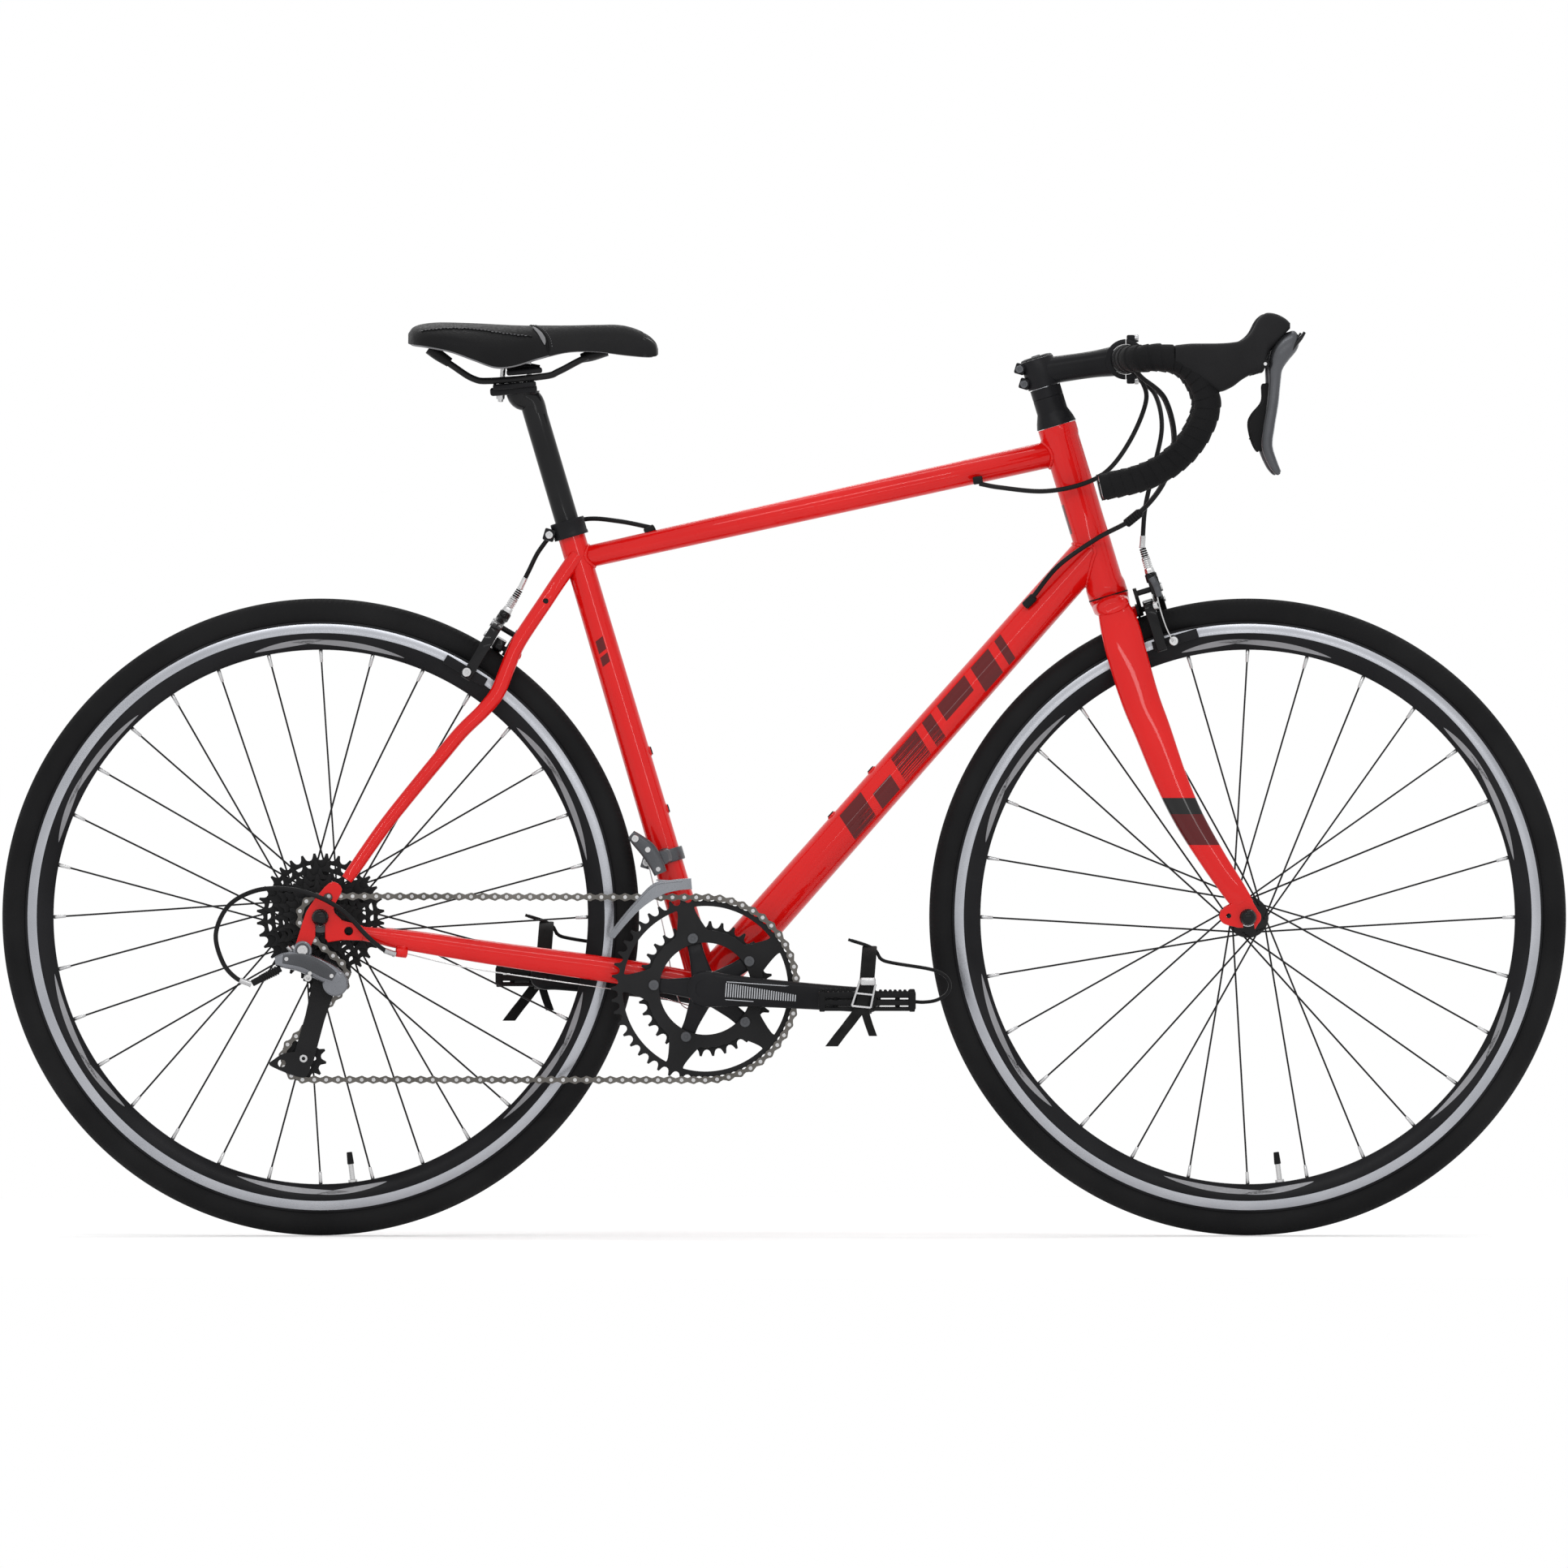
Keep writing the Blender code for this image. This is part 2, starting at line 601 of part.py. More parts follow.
def make_wheel(place, axle, spokes, crossing, hub_half, flanges, flange_radius):
    """Tyre, rim and spoked hub, which turn about the axle."""
    middle = TYRE_OUTER - TYRE_HALF_WIDTH
    section = [(middle + TYRE_HALF_WIDTH * math.cos(a), TYRE_HALF_WIDTH * math.sin(a))
               for a in [math.pi / 2 - math.pi * k / 4 for k in range(8)]]
    tyre = turned(f"{place}_tyre", section, axle, LEFTWARD, steps=WHEEL_STEPS)
    finish(tyre, "tyre_rubber")

    rim = turned(f"{place}_rim", [
        (0.3146, 0.0100), (0.3105, 0), (0.3146, -0.0100), (0.2990, -0.0106), (0.2840, -0.0045),
        (0.2840, 0.0045), (0.2990, 0.0106)], axle, LEFTWARD, steps=WHEEL_STEPS)
    finish(rim, "black_alloy")

    hub = make_hub(f"{place}_hub", axle, hub_half, flanges, flange_radius)
    join(hub, *spoke_groups(place, axle, spokes, crossing, flanges, flange_radius))
    hub = bake(hub)
    finish(hub, "black_alloy")
    return [tyre, rim, hub]


def make_hub(name, axle, hub_half, flanges, flange_radius):
    left, right = flanges
    bore = AXLE_RADIUS + 0.0004
    barrel = 0.0130
    end = hub_half - 0.0002
    outer = FREEHUB_RADIUS if hub_half == REAR_HUB_HALF else CONE_RADIUS
    profile = [(0.0085, end), (CONE_RADIUS, left + 0.006), (flange_radius, left + 0.0015),
               (flange_radius, left - 0.0015), (barrel, left - 0.006), (barrel, right + 0.006),
               (flange_radius, right + 0.0015), (flange_radius, right - 0.0015),
               (outer, right - 0.0040), (outer, -end + 0.0045), (0.0085, -end + 0.0035),
               (0.0085, -end), (bore, -end), (bore, end)]
    return turned(name, profile, axle, LEFTWARD, steps=16)


def spoke_groups(place, axle, spokes, crossing, flanges, flange_radius):
    """Four sets of spokes: each flange holds one set that leans forwards and one back."""
    groups = []
    per_set = spokes // 4
    for flange_y, inward, phase in ((flanges[0], -1, 0), (flanges[1], 1, 1)):
        for lean in (1, -1):
            bm = bmesh.new()
            for k in range(per_set):
                rim_angle = 2 * math.pi * (4 * k + 2 * (lean > 0) + phase) / spokes
                hub_angle = rim_angle + lean * crossing
                hole = flange_radius - 0.0035
                face = flange_y + lean * 0.0018
                start = axle + Vector((hole * math.cos(hub_angle), face,
                                       hole * math.sin(hub_angle)))
                end = axle + Vector((SPOKE_END * math.cos(rim_angle), -inward * 0.0016,
                                     SPOKE_END * math.sin(rim_angle)))
                length = (end - start).length
                bmesh.ops.create_cone(
                    bm, cap_ends=True, segments=3, radius1=SPOKE_RADIUS,
                    radius2=SPOKE_RADIUS, depth=length,
                    matrix=aligned((start + end) / 2, end - start))
            groups.append(from_bmesh(f"{place}_spokes_{phase}_{lean}", bm))
    return groups


def make_axle(place, axle, hub_half):
    """Skewer, with its nut on the right and its cam housing on the left."""
    face = hub_half + GAP + DROPOUT_THICKNESS + GAP
    skewer = turned(f"{place}_axle", [
        (0, face + 0.0090), (0.0060, face + 0.0090), (0.0088, face + 0.0060), (0.0088, face),
        (AXLE_RADIUS, face), (AXLE_RADIUS, -face), (0.0088, -face), (0.0088, -face - 0.0080),
        (0.0060, -face - 0.0120), (0, -face - 0.0120)], axle, LEFTWARD, steps=12)
    finish(skewer, "black_alloy")
    return face + 0.0090


def make_skewer_lever(place, axle, cam_y, direction):
    """Cam lever, folded along the fork or the stay. It turns about an axis across itself."""
    direction = Vector(direction).normalized()
    across = direction.cross(LEFTWARD)
    root = axle + Vector((0, cam_y + 0.0045, 0))
    barrel = rod(f"{place}_qr_lever", root - across * 0.0065, root + across * 0.0065, 0.0040,
                 sides=12)
    stations = [(0.0, 0.0, 0.0030, 0.0055), (0.014, 0.0010, 0.0024, 0.0050),
                (0.034, 0.0040, 0.0022, 0.0060), (0.050, 0.0060, 0.0020, 0.0065),
                (0.054, 0.0062, 0.0012, 0.0040)]
    rings = [oval_ring(root + direction * run + LEFTWARD * rise, direction, across, wide, thick, 8)
             for run, rise, thick, wide in stations]
    blade = loft(f"{place}_qr_blade", rings)
    join(barrel, blade)
    finish(barrel, "black_alloy")
    pivot(f"{place}_qr_axis", root, barrel)


# ---------------------------------------------------------------- drive

def crank_direction(sign):
    """The right crank points forwards and a little down; the left one is opposite."""
    return -sign * Vector((math.cos(CRANK_DROP), 0, -math.sin(CRANK_DROP)))


def ring_frame(y):
    """Matrix for plates in the crankset: X along the right crank, Z to the right."""
    along = crank_direction(-1)
    normal = -LEFTWARD
    turn = Matrix((along, normal.cross(along), normal)).transposed().to_4x4()
    return Matrix.Translation(Vector((BRACKET.x, y, BRACKET.z))) @ turn


def window(middle, half_angle, inner, outer):
    """Outline of a cut-out between two radii of a chainring."""
    span = [middle + half_angle * (k / 2 - 1) for k in range(5)]
    out = [(outer * math.cos(a), outer * math.sin(a)) for a in span]
    narrow = [middle + half_angle * 0.62 * (1 - k) for k in range(3)]
    return out + [(inner * math.cos(a), inner * math.sin(a)) for a in narrow]


def make_crankset():
    tip = pitch_radius(OUTER_TEETH) + TOOTH_ABOVE_PITCH
    arm_angles = [math.radians(36 + 72 * k) for k in range(5)]
    windows = [window(angle + math.radians(36), math.radians(25), 0.066, 0.0860)
               for angle in arm_angles]
    outer = plate("chainring_outer", [circle((0, 0), tip, WHEEL_STEPS),
                                      circle((0, 0), RING_BORE, 20)] + windows,
                  RING_THICKNESS, ring_frame(OUTER_RING_Y))
    finish(outer, "black_steel")
    inner_tip = pitch_radius(INNER_TEETH) + TOOTH_ABOVE_PITCH
    inner = plate("chainring_inner", [circle((0, 0), inner_tip, 34),
                                      circle((0, 0), RING_BORE, 20)],
                  RING_THICKNESS, ring_frame(INNER_RING_Y))
    finish(inner, "black_steel")

    spindle = cross_rod("bb_spindle", BRACKET, -0.0400, 0.0560, SPINDLE_RADIUS)
    finish(spindle, "black_steel")
    right = make_crank_arm("right", -1)
    spider_low = -OUTER_RING_Y - RING_THICKNESS / 2 - GAP
    spider_high = -INNER_RING_Y + RING_THICKNESS / 2 + GAP
    middle = (spider_low + spider_high) / 2
    for k, angle in enumerate(arm_angles):
        foot = block(f"spider_arm_{k}", (SPIDER_REACH / 2, 0, 0), (SPIDER_REACH, 0.015,
                     abs(spider_high - spider_low) - 0.0002),
                     matrix=ring_frame(-middle) @ Matrix.Rotation(angle, 4, "Z"))
        join(right, foot)
    left = make_crank_arm("left", 1)
    pivot("crank_axis", BRACKET, outer, inner, spindle, right, left)
    for side, sign in (("right", -1), ("left", 1)):
        make_pedal(side, sign)


def make_crank_arm(side, sign):
    """Arm, its hub on the spindle and the pedal's spindle at its end."""
    along = crank_direction(sign)
    hub_in, hub_out = (0.0403, 0.0690) if sign < 0 else (0.0563, 0.0690)
    centre = BRACKET
    name = f"crank_arm_{side}"
    rings = []
    for run, y, thick, high in ((-0.0140, 0.0625, 0.0060, 0.0100), (0.0, 0.0630, 0.0068, 0.0185),
                                (0.0300, 0.0635, 0.0068, 0.0165), (0.1000, 0.0665, 0.0068, 0.0145),
                                (0.1725, 0.0685, 0.0066, 0.0140), (0.1840, 0.0685, 0.0060, 0.0085)):
        spot = centre + along * run + LEFTWARD * sign * y
        rings.append(soft_square(spot, along, thick, high))
    arm = loft(name, rings)
    low, high = sorted((sign * hub_in, sign * hub_out))
    hub = cross_rod(f"{name}_hub", centre, low, high, CRANK_HUB_RADIUS, sides=20)
    tip = centre + along * CRANK_LENGTH
    low, high = sorted((sign * 0.0680, sign * (PEDAL_Y + 0.020)))
    spindle = cross_rod(f"{name}_pedal_spindle", tip, low, high, PEDAL_SPINDLE_RADIUS,
                        sides=12)
    collar_low, collar_high = sorted((sign * 0.0680, sign * 0.0775))
    collar = cross_rod(f"{name}_pedal_collar", tip, collar_low, collar_high, 0.0085, sides=12)
    join(arm, hub, spindle, collar)
    if sign < 0:
        cut(arm, cross_rod("right_arm_socket", centre, -0.0402, 0.02, SPINDLE_RADIUS + GAP))
    return finish(arm, "black_alloy")


def soft_square(centre, travel, half_wide, half_high):
    """Eight-sided ring with cut corners, upright in the plane across the travel."""
    travel = Vector(travel).normalized()
    high = LEFTWARD.cross(travel)
    corner = 0.35
    shape = [(1, 1 - corner), (1 - corner * 0.8, 1), (-1 + corner * 0.8, 1), (-1, 1 - corner),
             (-1, -1 + corner), (-1 + corner * 0.8, -1), (1 - corner * 0.8, -1),
             (1, -1 + corner)]
    return [Vector(centre) + LEFTWARD * half_wide * u + high * half_high * v for u, v in shape]


def make_pedal(side, sign):
    """Pedal body, toe clip and strap, level when the crank is level."""
    axle = BRACKET + crank_direction(sign) * CRANK_LENGTH
    centre = Vector((axle.x, sign * PEDAL_Y, axle.z))
    name = f"pedal_{side}"
    body = block(name, centre + Vector((-0.0010, 0, 0.0005)), (0.1040, 0.0860, 0.0230),
                 bevel=0.004)
    for k, offset in enumerate((-0.0300, 0.0280)):
        cut(body, block(f"{name}_opening_{k}", centre + Vector((offset, 0, 0)),
                        (0.030, 0.056, 0.06)))
    clip_path = [(0.0500, -0.0060), (0.0600, -0.0075), (0.0720, -0.0040), (0.0960, 0.0060),
                 (0.1075, 0.0170), (0.1035, 0.0290), (0.0870, 0.0365), (0.0600, 0.0420),
                 (0.0330, 0.0480), (0.0150, 0.0560)]
    widths = [0.018, 0.018, 0.019, 0.024, 0.026, 0.025, 0.020, 0.015, 0.014, 0.015]
    places = [centre + Vector((x, 0, z)) for x, z in clip_path]
    rings = []
    for k, spot in enumerate(places):
        travel = places[min(k + 1, len(places) - 1)] - places[max(k - 1, 0)]
        rings.append(flat_ring(spot, travel, LEFTWARD, widths[k], 0.0016))
    clip = loft(f"{name}_toe_clip", rings)
    loop = [(0.0405, 0.0000), (0.0440, 0.0100), (0.0415, 0.0300), (0.0300, 0.0480),
            (0.0120, 0.0560), (-0.0120, 0.0560), (-0.0300, 0.0480), (-0.0415, 0.0300),
            (-0.0440, 0.0100), (-0.0405, 0.0000)]
    strap_x = 0.0170
    places = [centre + Vector((strap_x, y, z)) for y, z in loop]
    rings = []
    for k, spot in enumerate(places):
        travel = places[min(k + 1, len(places) - 1)] - places[max(k - 1, 0)]
        rings.append(flat_ring(spot, travel, Vector((1, 0, 0)), 0.0055, 0.0010))
    strap = loft(f"{name}_strap", rings)
    join(body, clip, strap)
    low, high = sorted((sign * 0.0700, sign * (PEDAL_Y + 0.0210)))
    cut(body, cross_rod(f"{name}_bore", axle, low, high, 0.0055, sides=12))
    finish(body, "black_plastic")
    pivot(f"{name}_axis", axle, body)


def flat_ring(centre, travel, across, half_across, half_thick):
    across = Vector(across).normalized()
    thick = Vector(travel).normalized().cross(across)
    return [Vector(centre) + across * half_across * u + thick * half_thick * v
            for u, v in ((1, 1), (-1, 1), (-1, -1), (1, -1))]


def belt(circles, arc_steps):
    """Pitch line of the chain round (centre, radius, turn) circles, and its tangent directions."""
    flat = [(Vector((c.x, c.z)), r, turn) for c, r, turn in circles]
    tangents = []
    for k, (near, near_r, near_turn) in enumerate(flat):
        far, far_r, far_turn = flat[(k + 1) % len(flat)]
        gap = far - near
        shift = far_turn * far_r - near_turn * near_r
        angle = math.atan2(gap.y, gap.x) - math.asin(shift / gap.length)
        travel = Vector((math.cos(angle), math.sin(angle)))
        normal = Vector((-travel.y, travel.x))
        tangents.append((near - normal * near_turn * near_r, far - normal * far_turn * far_r))
    line = []
    for k, (centre, radius, turn) in enumerate(flat):
        start, end = tangents[k - 1][1] - centre, tangents[k][0] - centre
        first = math.atan2(start.y, start.x)
        sweep = (turn * (math.atan2(end.y, end.x) - first)) % (2 * math.pi)
        for step in range(arc_steps[k] + 1):
            angle = first + turn * sweep * step / arc_steps[k]
            radial = Vector((math.cos(angle), math.sin(angle)))
            line.append((centre + radial * radius, radial * turn))
    return line


def chain_circles():
    return [(BRACKET, pitch_radius(OUTER_TEETH), 1),
            (REAR_AXLE, pitch_radius(SMALL_COG_TEETH), 1),
            (GUIDE_PULLEY, pitch_radius(SMALL_COG_TEETH), -1),
            (TENSION_PULLEY, pitch_radius(SMALL_COG_TEETH), 1)]


def chain_y(x):
    """The chain's free runs lead across from the chainring to the smallest cog."""
    rear, front = -0.4550, -0.1150
    share = min(max((x - rear) / (front - rear), 0), 1)
    return COG_Y + (OUTER_RING_Y - COG_Y) * share


def make_chain():
    """Closed band round the drive, slotted where the toothed wheels run in it."""
    line = belt(chain_circles(), (18, 11, 5, 8))
    outer = [tuple(point + outward * CHAIN_HALF_HEIGHT) for point, outward in line]
    inner = [tuple(point - outward * CHAIN_HALF_HEIGHT) for point, outward in line]
    chain = side_plate("chain", [outer, inner], 0, CHAIN_WIDTH)
    for vertex in chain.data.vertices:
        vertex.co.z -= chain_y(vertex.co.x)
    spots = [(BRACKET, OUTER_TEETH, OUTER_RING_Y, WHEEL_STEPS, RING_THICKNESS)]
    spots += [(centre, SMALL_COG_TEETH, COG_Y, 20, 0.0020)
              for centre in (REAR_AXLE, GUIDE_PULLEY, TENSION_PULLEY)]
    for k, (centre, teeth, y, sides, thick) in enumerate(spots):
        tip = pitch_radius(teeth) + TOOTH_ABOVE_PITCH + 0.0005
        slot = cross_rod(f"chain_slot_{k}", centre, y - thick / 2 - SLOT_CLEARANCE,
                         y + thick / 2 + SLOT_CLEARANCE, tip, sides=sides)
        cut(chain, slot)
    return finish(chain, "chain_steel")


def make_cassette():
    small = pitch_radius(SMALL_COG_TEETH) + TOOTH_ABOVE_PITCH - 0.0010
    bore = 0.0164
    cassette = turned("cassette", [
        (0.0670, -0.0240), (0.0670, -0.0262), (0.0480, -0.0358), (0.0350, -0.0453),
        (0.0255, -0.0535), (0.0172, -0.0540), (0.0172, COG_Y + 0.0010),
        (small, COG_Y + 0.0010), (small, COG_Y - 0.0010), (0.0172, COG_Y - 0.0010),
        (0.0172, COG_Y - 0.0022), (bore, COG_Y - 0.0022), (bore, -0.0240)],
        REAR_AXLE, LEFTWARD, steps=20)
    finish(cassette, "black_steel")
    pivot("cassette_axis", REAR_AXLE, cassette)


def make_rear_derailleur():
    hanger = HANGER_BOLT
    out = -(REAR_HUB_HALF + GAP + DROPOUT_THICKNESS + GAP)
    body = cross_rod("rear_derailleur", hanger, out - 0.0150, out, 0.0100, sides=14)
    link = loft("derailleur_link", [
        oval_ring((-0.5400, out - 0.0090, 0.2930), (1, 0, -0.35), LEFTWARD, 0.0050, 0.0060, 8),
        oval_ring((-0.5200, out - 0.0090, 0.2920), (1, 0, -0.35), LEFTWARD, 0.0075, 0.0110, 8),
        oval_ring((-0.4950, out - 0.0090, 0.2840), (1, 0, -0.35), LEFTWARD, 0.0080, 0.0120, 8),
        oval_ring((-0.4700, out - 0.0090, 0.2720), (1, 0, -0.35), LEFTWARD, 0.0075, 0.0110, 8)])
    boss = cross_rod("derailleur_p_knuckle", CAGE_PIVOT, out - 0.0160, out + 0.0010, 0.0135,
                     sides=16)
    barrel = rod("derailleur_barrel", (-0.5655, out - 0.0090, 0.2690),
                 (-0.5350, out - 0.0090, 0.2850), 0.0045, sides=10)
    join(body, link, boss, barrel)
    finish(body, "silver")

    cage = make_cage_plate("derailleur_cage", -0.0641, 0.0018)
    inner = make_cage_plate("derailleur_inner_plate", -0.0529, 0.0018)
    pins = [cross_rod(f"pulley_pin_{k}", centre, -0.0648, -0.0522, 0.0028, sides=10)
            for k, centre in enumerate((GUIDE_PULLEY, TENSION_PULLEY))]
    boss = cross_rod("cage_boss", CAGE_PIVOT, out + 0.0013, -0.0645, 0.0110, sides=14)
    join(cage, inner, *pins, boss)
    finish(cage, "black_steel")
    pivot("cage_axis", CAGE_PIVOT, cage)

    for name, centre in (("guide_pulley", GUIDE_PULLEY), ("tension_pulley", TENSION_PULLEY)):
        tip = pitch_radius(SMALL_COG_TEETH) + TOOTH_ABOVE_PITCH - 0.0012
        pulley = turned(name, [(tip, 0.0010), (tip, -0.0010), (0.0165, -0.0010), (0.0155, -0.0024),
                               (0.0032, -0.0024), (0.0032, 0.0024), (0.0155, 0.0024),
                               (0.0165, 0.0010)], centre, LEFTWARD, steps=16)
        finish(pulley, "black_plastic")
        pivot(f"{name}_axis", centre, pulley)


def make_cage_plate(name, y, thickness):
    """Waisted plate round both pulleys."""
    top, low = GUIDE_PULLEY, TENSION_PULLEY
    down = math.atan2(low.z - top.z, low.x - top.x)
    start, end = down + math.pi / 2, down - math.pi / 2
    upper = [(top.x + 0.0130 * math.cos(start + math.pi * k / 6),
              top.z + 0.0130 * math.sin(start + math.pi * k / 6)) for k in range(7)]
    lower = [(low.x + 0.0110 * math.cos(end + math.pi * k / 6),
              low.z + 0.0110 * math.sin(end + math.pi * k / 6)) for k in range(7)]
    return side_plate(name, [upper + lower], y, thickness)


def make_front_derailleur():
    height = 0.146
    foot = on_seat_axis(height)
    ring_bore = seat_tube_radius(height - 0.007) + GAP
    clamp = turned("front_derailleur", [
        (ring_bore + 0.0032, 0.007), (ring_bore + 0.0032, -0.007), (ring_bore, -0.007),
        (ring_bore, 0.007)], foot, SEAT_UP, steps=18)
    arm = rod("derailleur_arm", foot + Vector((0.0, -0.0170, 0.0)), (-0.1300, -0.0320, 0.4030),
              0.0075, 0.0070, sides=10)
    body = block("derailleur_body", (-0.1380, -0.0325, 0.4040), (0.0260, 0.0130, 0.0220),
                 pitch=0.6, bevel=0.002)
    lever = rod("derailleur_cable_arm", (-0.1420, -0.0340, 0.4080), (-0.1530, -0.0330, 0.4270),
                0.0050, 0.0040, sides=8)
    join(clamp, arm, body, lever)
    finish(clamp, "silver")

    def arc_plate(name, y, low, high):
        angles = [math.radians(98 + (150 - 98) * k / 8) for k in range(9)]
        outer = [(BRACKET.x + high * math.cos(a), BRACKET.z + high * math.sin(a))
                 for a in angles]
        inner = [(BRACKET.x + low * math.cos(a), BRACKET.z + low * math.sin(a))
                 for a in reversed(angles)]
        return side_plate(name, [outer + inner], y, 0.0014)

    cage = arc_plate("front_derailleur_cage", -0.0535, 0.1035, 0.1190)
    inner = arc_plate("cage_inner_plate", -0.0405, 0.1035, 0.1190)
    bridges = []
    for k, (angle, radius) in enumerate(((102, 0.1165), (147, 0.1060))):
        spot = BRACKET + Vector((radius * math.cos(math.radians(angle)), 0,
                                 radius * math.sin(math.radians(angle))))
        bridges.append(cross_rod(f"cage_bridge_{k}", spot, -0.0540, -0.0400, 0.0022, sides=8))
    hanger = block("cage_hanger", (-0.1310, -0.0405, 0.3825), (0.0150, 0.0013, 0.0200),
                   pitch=0.6)
    join(cage, inner, *bridges, hanger)
    finish(cage, "silver")


# ---------------------------------------------------------------- fork and cockpit

def make_fork():
    stations = [
        (0.3490, 0.6710, 0.0280, 0.0165, 0.0085), (0.3567, 0.6491, 0.0320, 0.0205, 0.0095),
        (0.3640, 0.6200, 0.0350, 0.0212, 0.0095), (0.3787, 0.5713, 0.0385, 0.0203, 0.0092),
        (0.3921, 0.5368, 0.0410, 0.0192, 0.0090), (0.4116, 0.4850, 0.0445, 0.0172, 0.0083),
        (0.4310, 0.4430, 0.0475, 0.0155, 0.0076), (0.4560, 0.4010, 0.0505, 0.0138, 0.0066),
        (0.4759, 0.3710, 0.0525, 0.0128, 0.0055), (0.4870, 0.3545, 0.0533, 0.0115, 0.0032)]
    fork = oval_tube("fork", stations, 10)
    right = oval_tube("right_blade", mirrored_y(stations), 10)
    crown = loft("fork_crown", [
        oval_ring((x, y, z), LEFTWARD, (0.957, 0, 0.29), deep, high, 12)
        for x, y, z, deep, high in (
            (0.3500, -0.0385, 0.6690, 0.0120, 0.0060), (0.3495, -0.0320, 0.6695, 0.0175, 0.0105),
            (0.3480, 0, 0.6710, 0.0200, 0.0110), (0.3495, 0.0320, 0.6695, 0.0175, 0.0105),
            (0.3500, 0.0385, 0.6690, 0.0120, 0.0060))])
    race = rod("crown_race", on_head_axis(-0.0140), on_head_axis(-0.0006), 0.0195, HEAD_COLLAR,
               sides=20)
    steerer = rod("steerer", on_head_axis(-0.0100), on_head_axis(HEAD_LENGTH + 0.0700),
                  STEERER_RADIUS)
    brake_boss = rod("brake_boss", caliper_matrix(False) @ Vector((0, 0, -0.0300)),
                     caliper_matrix(False) @ Vector((0, 0, -0.0120)), 0.0062, sides=12)
    pieces = [right, crown, race, steerer, brake_boss]
    pieces += [side_plate(f"fork_end_{sign}", [fork_end_outline()],
                          sign * (FRONT_HUB_HALF + GAP + DROPOUT_THICKNESS / 2),
                          DROPOUT_THICKNESS) for sign in (-1, 1)]
    pieces += brake_mount("front_brake", False, -0.0280)
    join(fork, *pieces)
    return finish(fork, "frame_paint")


def fork_end_outline():
    slot = AXLE_RADIUS + 0.0004
    x, z = FRONT_AXLE.x, FRONT_AXLE.z
    arch = [(x - slot * math.cos(math.pi * k / 6), z + slot * math.sin(math.pi * k / 6))
            for k in range(7)]
    return arch + [(x + slot + 0.002, z - 0.0130), (x + 0.0125, z - 0.0060),
                   (x + 0.0125, z + 0.0060), (x + 0.0060, z + 0.0150),
                   (x + 0.0010, z + 0.0210), (x - 0.0220, z + 0.0120),
                   (x - 0.0300, z + 0.0040), (x - 0.0270, z - 0.0060),
                   (x - 0.0110, z - 0.0110), (x - slot, z - 0.0110)]


def make_cockpit():
    base = HEAD_LENGTH
    bore = STEERER_RADIUS + GAP
    cover = turned("headset_cover", [
        (0.0165, base + 0.0430), (0.0165, base + 0.0160), (0.0205, base + 0.0060),
        (0.0215, base + 0.0005), (bore, base + 0.0005), (bore, base + 0.0430)],
        HEAD_FOOT, HEAD_UP, steps=20)
    finish(cover, "black_alloy")

    clamp_low, clamp_high = on_head_axis(base + 0.0433), on_head_axis(base + 0.0755)
    stem = rod("stem", clamp_low, clamp_high, 0.0180, sides=20)
    extension = rod("stem_extension", on_head_axis(base + 0.0600), (0.3520, 0, 0.9305), 0.0155,
                    0.0165)
    rear_half = cross_rod("stem_rear_clamp", BAR_CENTRE, -0.0210, 0.0210, 0.0215, sides=20)
    bolts = [cross_rod(f"stem_bolt_{k}", on_head_axis(base + h) + Vector((-0.0205, 0, -0.0060)),
                       -0.0120, 0.0120, 0.0042, sides=10) for k, h in enumerate((0.0525, 0.0695))]
    join(stem, extension, rear_half, *bolts)
    cut(stem, rod("spacer_room", on_head_axis(base + 0.01), on_head_axis(base + 0.0432),
                  0.0165 + 2 * GAP, sides=20),
        rod("steerer_bore", on_head_axis(base + 0.02), on_head_axis(base + 0.0725), bore),
        cross_rod("bar_bore_rear", BAR_CENTRE, -0.03, 0.03, BAR_CLAMP_RADIUS + GAP, sides=20),
        block("front_half", BAR_CENTRE + Vector((0.0300 - GAP, 0, 0)), (0.06, 0.06, 0.06)))
    finish(stem, "black_alloy")

    face = cross_rod("stem_faceplate", BAR_CENTRE, -0.0205, 0.0205, 0.0212, sides=20)
    ears = [rod(f"face_bolt_{k}", BAR_CENTRE + Vector((0.0010, y, z)),
                BAR_CENTRE + Vector((0.0130, y, z)), 0.0045, sides=10)
            for k, (y, z) in enumerate(((-0.0140, 0.0225), (0.0140, 0.0225), (-0.0140, -0.0225),
                                        (0.0140, -0.0225)))]
    join(face, *ears)
    cut(face, cross_rod("bar_bore_front", BAR_CENTRE, -0.03, 0.03, BAR_CLAMP_RADIUS + GAP,
                        sides=20),
        block("rear_half", BAR_CENTRE + Vector((-0.0300 + GAP, 0, 0)), (0.06, 0.06, 0.06)))
    finish(face, "black_alloy")

    bar = make_bar()
    tapes = [make_tape(side, sign) for side, sign in (("right", -1), ("left", 1))]
    hoods = [make_hood(side, sign) for side, sign in (("right", -1), ("left", 1))]
    for side, sign in (("right", -1), ("left", 1)):
        make_lever(side, sign)
    return [cover, stem, face, bar, *tapes, *hoods]


def bar_route():
    """One side of the handlebar, from the stem to the end of the drop."""
    w = BAR_HALF_WIDTH
    return [(0.3636, 0.0600, 0.9324), (0.3636, 0.1400, 0.9324), (0.3660, 0.1800, 0.9325),
            (0.3790, 0.2020, 0.9330), (0.4000, w, 0.9342),
            (0.4230, w, 0.9290), (0.4400, w, 0.9120), (0.4490, w, 0.8840), (0.4370, w, 0.8510),
            (0.4130, w, 0.8240), (0.3800, w, 0.8065), (0.3360, w, 0.7960)]


